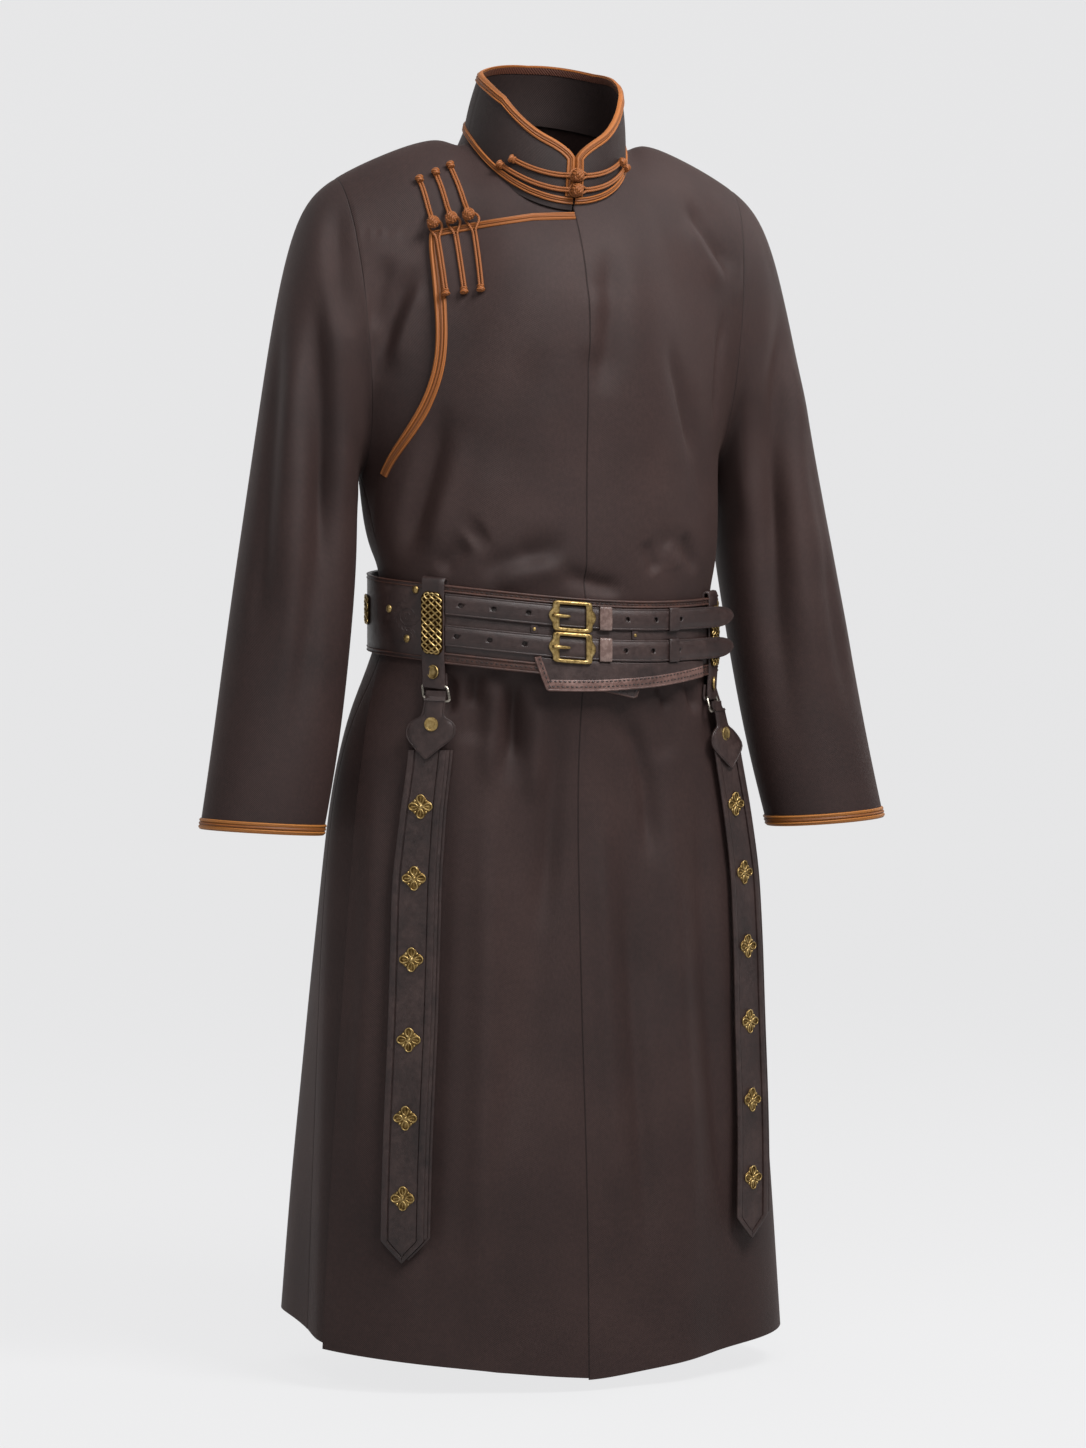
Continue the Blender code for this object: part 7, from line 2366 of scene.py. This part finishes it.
# %% Heart tabs
# from the ring's lower bar down: (drop, half width)
HEART = [(0.0000, 0.0108), (0.0060, 0.0109), (0.0120, 0.0112), (0.0150, 0.0118), (0.0172, 0.0140),
         (0.0192, 0.0182), (0.0215, 0.0213), (0.0245, 0.0236), (0.0280, 0.0248), (0.0320, 0.0249),
         (0.0360, 0.0236), (0.0400, 0.0205), (0.0440, 0.0163), (0.0480, 0.0120), (0.0515, 0.0082),
         (0.0545, 0.0048), (0.0570, 0.0018)]
TAB_STEP = 0.005        # between the rows of the tab's table, which has this many above and below the ring
TAB_ABOVE, TAB_BELOW = 2, 14
TAB_FOLD = [(-0.0060, -0.0022), (-0.0010, -0.0026), (0.0018, -0.0018), (0.0030, 0.0), (0.0024, 0.0014)]


def tab_angle(hanger, z):
    share = min(max((z - TAB_TURN[0]) / (TAB_TURN[1] - TAB_TURN[0]), 0), 1)
    return hanger.angle + (strap_angle(hanger.name, TAB_TURN[1]) - hanger.angle) * share


class TabBase:
    """The tab's middle line and its direction across: off the cloth at first, then on the strap's end."""

    def __init__(self, hanger, top, strap):
        spots = []
        for k in range(-TAB_ABOVE, TAB_BELOW):
            z = top - k * TAB_STEP
            if z < STRAP_TOP + 0.006:
                middle = strap.place(z, 0, FRONT_LIFT + STRAP_LEAF + PLY_GAP)
                spots.append((*middle, *(strap.place(z, 0.01, 0) - strap.place(z, 0, 0)).normalized()))
                continue
            middle = outermost(tab_angle(hanger, z), z, TAB_LIFT)
            spread = math.degrees(0.010 / math.hypot(middle.x, middle.y))
            left = outermost(tab_angle(hanger, z) - spread, z, TAB_LIFT)
            right = outermost(tab_angle(hanger, z) + spread, z, TAB_LIFT)
            spots.append((*middle, *(right - left).normalized()))
        table = np.array(spots)
        for _ in range(2):
            table[1:-1] = table[:-2] * 0.25 + table[1:-1] * 0.5 + table[2:] * 0.25
        self.table = table

    def place(self, drop, across, lift):
        row = drop / TAB_STEP + TAB_ABOVE
        values = [np.interp(row, range(len(self.table)), self.table[:, k]) for k in range(6)]
        side = Vector(values[3:]).normalized()
        out = side.cross(Vector((0, 0, 1))).normalized()
        curl = across * across / 0.60       # the heart bends a little round the hip
        return Vector(values[:3]) + side * across + out * (lift - curl)


def make_tab(hanger):
    base = TabBase(hanger, ring_bottom(hanger), strap_bases[hanger.name])
    build = Build()
    stations = [(drop, -half, half) for drop, half in HEART]
    leaf(build, stations, base.place, TAB_WALL, CREASED_EDGE, 5)
    bent_strip(build, [(-h, lift + 0.0014) for h, lift in TAB_FOLD[::-1]], 0.0107, TAB_WALL,
               lambda height, across, lift: base.place(-height - 0.0030, across, lift))
    return build.make(f"tab_{hanger.name}_leather", bridle), base


tab_bases = {}
for hanger in HANGERS:
    tab, tab_bases[hanger.name] = make_tab(hanger)
    finish_piece(tab, "leather", f"tab_{hanger.name}")
print("hearts:", round(max(half for _, half in HEART) * 2000, 1), "mm wide")

# %% [markdown]
# ## Rosettes, rivets and tooling
#
# Twelve cast rosettes are set down the straps: four dished petals with raised rims, a bead between each
# pair, and a ringed boss. Large flat rivets hold the folds at the rings and small domed ones are set
# in the belt beside the plaques. Beside the right plaque a scroll is tooled into the leather.

# %% Rosettes and rivets
ROSETTE_HALF = 0.0121
# the plate's levels: (height, share of the outline)
PLATE = [(0.0, 0.10), (0.0, 0.96), (0.0006, 1.0), (0.0011, 0.95), (0.0013, 0.70), (0.0016, 0.10)]
# turned forms: (height, radius)
BEAD = [(0.0, 0.0014), (0.0006, 0.0013), (0.0011, 0.0009), (0.0013, 0.0003)]
BOSS = [(0.0, 0.0027), (0.0008, 0.0026), (0.0010, 0.0021), (0.0007, 0.0017), (0.0011, 0.0014),
        (0.0016, 0.0009), (0.0018, 0.0002)]
FLAT_RIVET = [(-0.0004, 0.0068), (0.0006, 0.0070), (0.0012, 0.0067), (0.0013, 0.0060), (0.0009, 0.0055),
              (0.0009, 0.0030), (0.0010, 0.0003)]
DOME_RIVET = [(-0.0004, 0.0039), (0.0005, 0.0040), (0.0013, 0.0035), (0.0021, 0.0022), (0.0025, 0.0003)]
SMALL_RIVET = [(-0.0004, 0.0018), (0.0004, 0.0018), (0.0009, 0.0012), (0.0011, 0.0002)]
STUD_HEIGHTS = {
    "right": (-0.659, -0.729, -0.808, -0.886, -0.962, -1.040),
    "left": (-0.663, -0.732, -0.806, -0.881, -0.959, -1.036),
}


def petal_line(turn, inner, outer, half, count=20):
    """A petal's outline: narrow at the boss and broad and blunt at its end."""
    line = []
    for t in round_turns(count):
        reach = (outer + inner) / 2 - (outer - inner) / 2 * math.cos(t)
        side = half * math.sin(t) * (0.62 + 0.38 * (reach - inner) / (outer - inner))
        line.append(Vector((reach * math.cos(turn) - side * math.sin(turn),
                            reach * math.sin(turn) + side * math.cos(turn), 0)))
    return line


def make_rosette():
    """The rosette's plate and, apart from it, its relief, which is rubbed brighter."""
    plate, build = Build(), Build()
    outline = [(t, ROSETTE_HALF * (0.70 + 0.25 * abs(math.cos(2 * t)) ** 1.2)) for t in round_turns(64)]
    rings = []
    for lift, share in PLATE:
        rings.append([Vector((r * share * math.cos(t), r * share * math.sin(t), lift)) for t, r in outline])
    plate.loft(rings)
    for k in range(4):
        turn = math.pi / 2 * k
        rim = petal_line(turn, 0.0028, 0.0114, 0.0040)
        build.cord([p + Vector((0, 0, 0.0015)) for p in rim], 0.00072, loop=True, sides=8)
        vein = [Vector((r * math.cos(turn), r * math.sin(turn), 0.0014)) for r in (0.0030, 0.0060, 0.0092)]
        build.cord(vein, [0.0006, 0.0005, 0.0003], sides=6)
        corner = turn + math.pi / 4
        bead = Vector((0.0079 * math.cos(corner), 0.0079 * math.sin(corner), 0.0008))
        build.turned(bead, (0, 0, 1), BEAD, sides=12)
    build.turned((0, 0, 0.0012), (0, 0, 1), BOSS, sides=24)
    return plate.make("rosette_plate", brown_brass), build.make("rosette_relief", brass)


def make_rivet(name, profile, sides):
    return Build().turned((0, 0, 0), (0, 0, 1), profile, sides=sides).make(name, brass)


def set_fittings(name, fitting, spots, ways, metal=brass):
    return grown(name, fitting_tree, spots, ways, False, Fitting=fitting, Material=metal)


rosette_plate, rosette_relief = make_rosette()
flat_rivet = make_rivet("flat_rivet", FLAT_RIVET, 32)
dome_rivet = make_rivet("dome_rivet", DOME_RIVET, 20)
small_rivet = make_rivet("small_rivet", SMALL_RIVET, 14)
for side, base in strap_bases.items():
    for number, z in enumerate(STUD_HEIGHTS[side], 1):
        spot = base.place(z, 0, FRONT_LIFT + STRAP_LEAF * 0.5)
        way = (base.place(z, 0, 0.02) - spot).normalized()
        name = f"rosette_{side}_{number}"
        parts = [set_fittings(name + "_plate", rosette_plate, [spot], [way], brown_brass),
                 set_fittings(name + "_relief", rosette_relief, [spot], [way])]
        finish_piece(joined_object(name, parts), "brass", f"stud_{side}_{number}")
print("rosette:", len(rosette_plate.data.polygons) + len(rosette_relief.data.polygons), "faces")

# %% Rivets on the belt and tabs
BELT_RIVETS = [(-65.3, 0.0305), (-75.8, 0.0085), (-68.6, -0.0185)]      # (angle, height)
LOOP_RIVET = -0.0475
TAB_RIVET_DROP = 0.0235


def rivet_spots(hanger):
    """One flat rivet through the hanger's loop and one through its heart tab: (place, way out)."""
    base = tab_bases[hanger.name]
    tab_spot = base.place(TAB_RIVET_DROP, 0.0, TAB_WALL)
    tab_way = (base.place(TAB_RIVET_DROP, 0.0, 0.02) - tab_spot).normalized()
    return [(band.on(hanger.angle, LOOP_RIVET, HANGER_WALL), band.way(hanger.angle)), (tab_spot, tab_way)]


flat_spots = [pair for hanger in HANGERS for pair in rivet_spots(hanger)]
finish_piece(set_fittings("flat_rivets", flat_rivet, *zip(*flat_spots)), "brass")
domes = []
for hanger in HANGERS:
    for angle, height in BELT_RIVETS:
        turn = angle if hanger.side < 0 else hanger.angle + (HANGERS[0].angle - angle)
        domes.append((band.on(turn, height, 0.0), band.way(turn, height)))
finish_piece(set_fittings("dome_rivets", dome_rivet, *zip(*domes)), "brass")


def make_small_tab(middle):
    """A small tab of leather between the two billets, held by one rivet."""
    build = Build()
    stations = [(h, -0.0032, 0.0032) for h in np.linspace(0.0006, 0.0089, 5)]
    leaf(build, stations, lambda h, x, lift: band.on(middle + math.degrees(x / BELT_RADIUS), h, lift),
         0.0016, PLAIN_EDGE, 1)
    return build.make(f"small_tab_{int(middle)}", bridle)


tabs = [make_small_tab(billet.tab) for billet in BILLETS]
finish_piece(joined_object("small_tabs", tabs), "leather")
small_spots = [(band.on(billet.tab, 0.0047, 0.0016), band.way(billet.tab)) for billet in BILLETS]
finish_piece(set_fittings("small_rivets", small_rivet, *zip(*small_spots)), "brass")
for fitting in (rosette_plate, rosette_relief, flat_rivet, dome_rivet, small_rivet):
    bpy.data.objects.remove(fitting)
print(len(flat_spots), "flat rivets and", len(domes), "domed ones")

# %% Tooling on the belt
SCROLL_ANGLE = -68.0
SCROLL_HEIGHT = 0.0040


def on_scroll(x, y, lift):
    return band.on(SCROLL_ANGLE + math.degrees(x / BELT_SIDE_RADIUS), SCROLL_HEIGHT + y, lift)


def make_scroll():
    """A tooled scroll: a spiral in low relief and short strokes that fan out from it."""
    build = Build()
    for turn_way, scale, shift in ((1, 1.0, 0.0), (-1, 0.7, -0.0190)):
        spiral = []
        for k in range(60):
            turn = k / 59 * 4.2 * math.pi * turn_way
            reach = scale * (0.0012 + 0.0105 * k / 59)
            spiral.append(on_scroll(reach * math.cos(turn), shift + reach * math.sin(turn), -0.0001))
        build.cord(spiral, [0.00045] * 56 + [0.0004, 0.0003, 0.0002, 0.0001], sides=6)
    for k in range(11):
        turn = math.radians(100 + 17 * k)
        a, b = 0.0128, 0.0172 - 0.0002 * k
        stroke = [on_scroll(r * math.cos(turn + 0.12 * n), r * math.sin(turn + 0.12 * n), -0.0001)
                  for n, r in enumerate((a, (a + b) / 2, b))]
        build.cord(stroke, [0.0002, 0.0004, 0.0002], sides=6)
    return build.make("tooled_scroll", bridle)


finish_piece(make_scroll(), "leather")
print("tooling done")
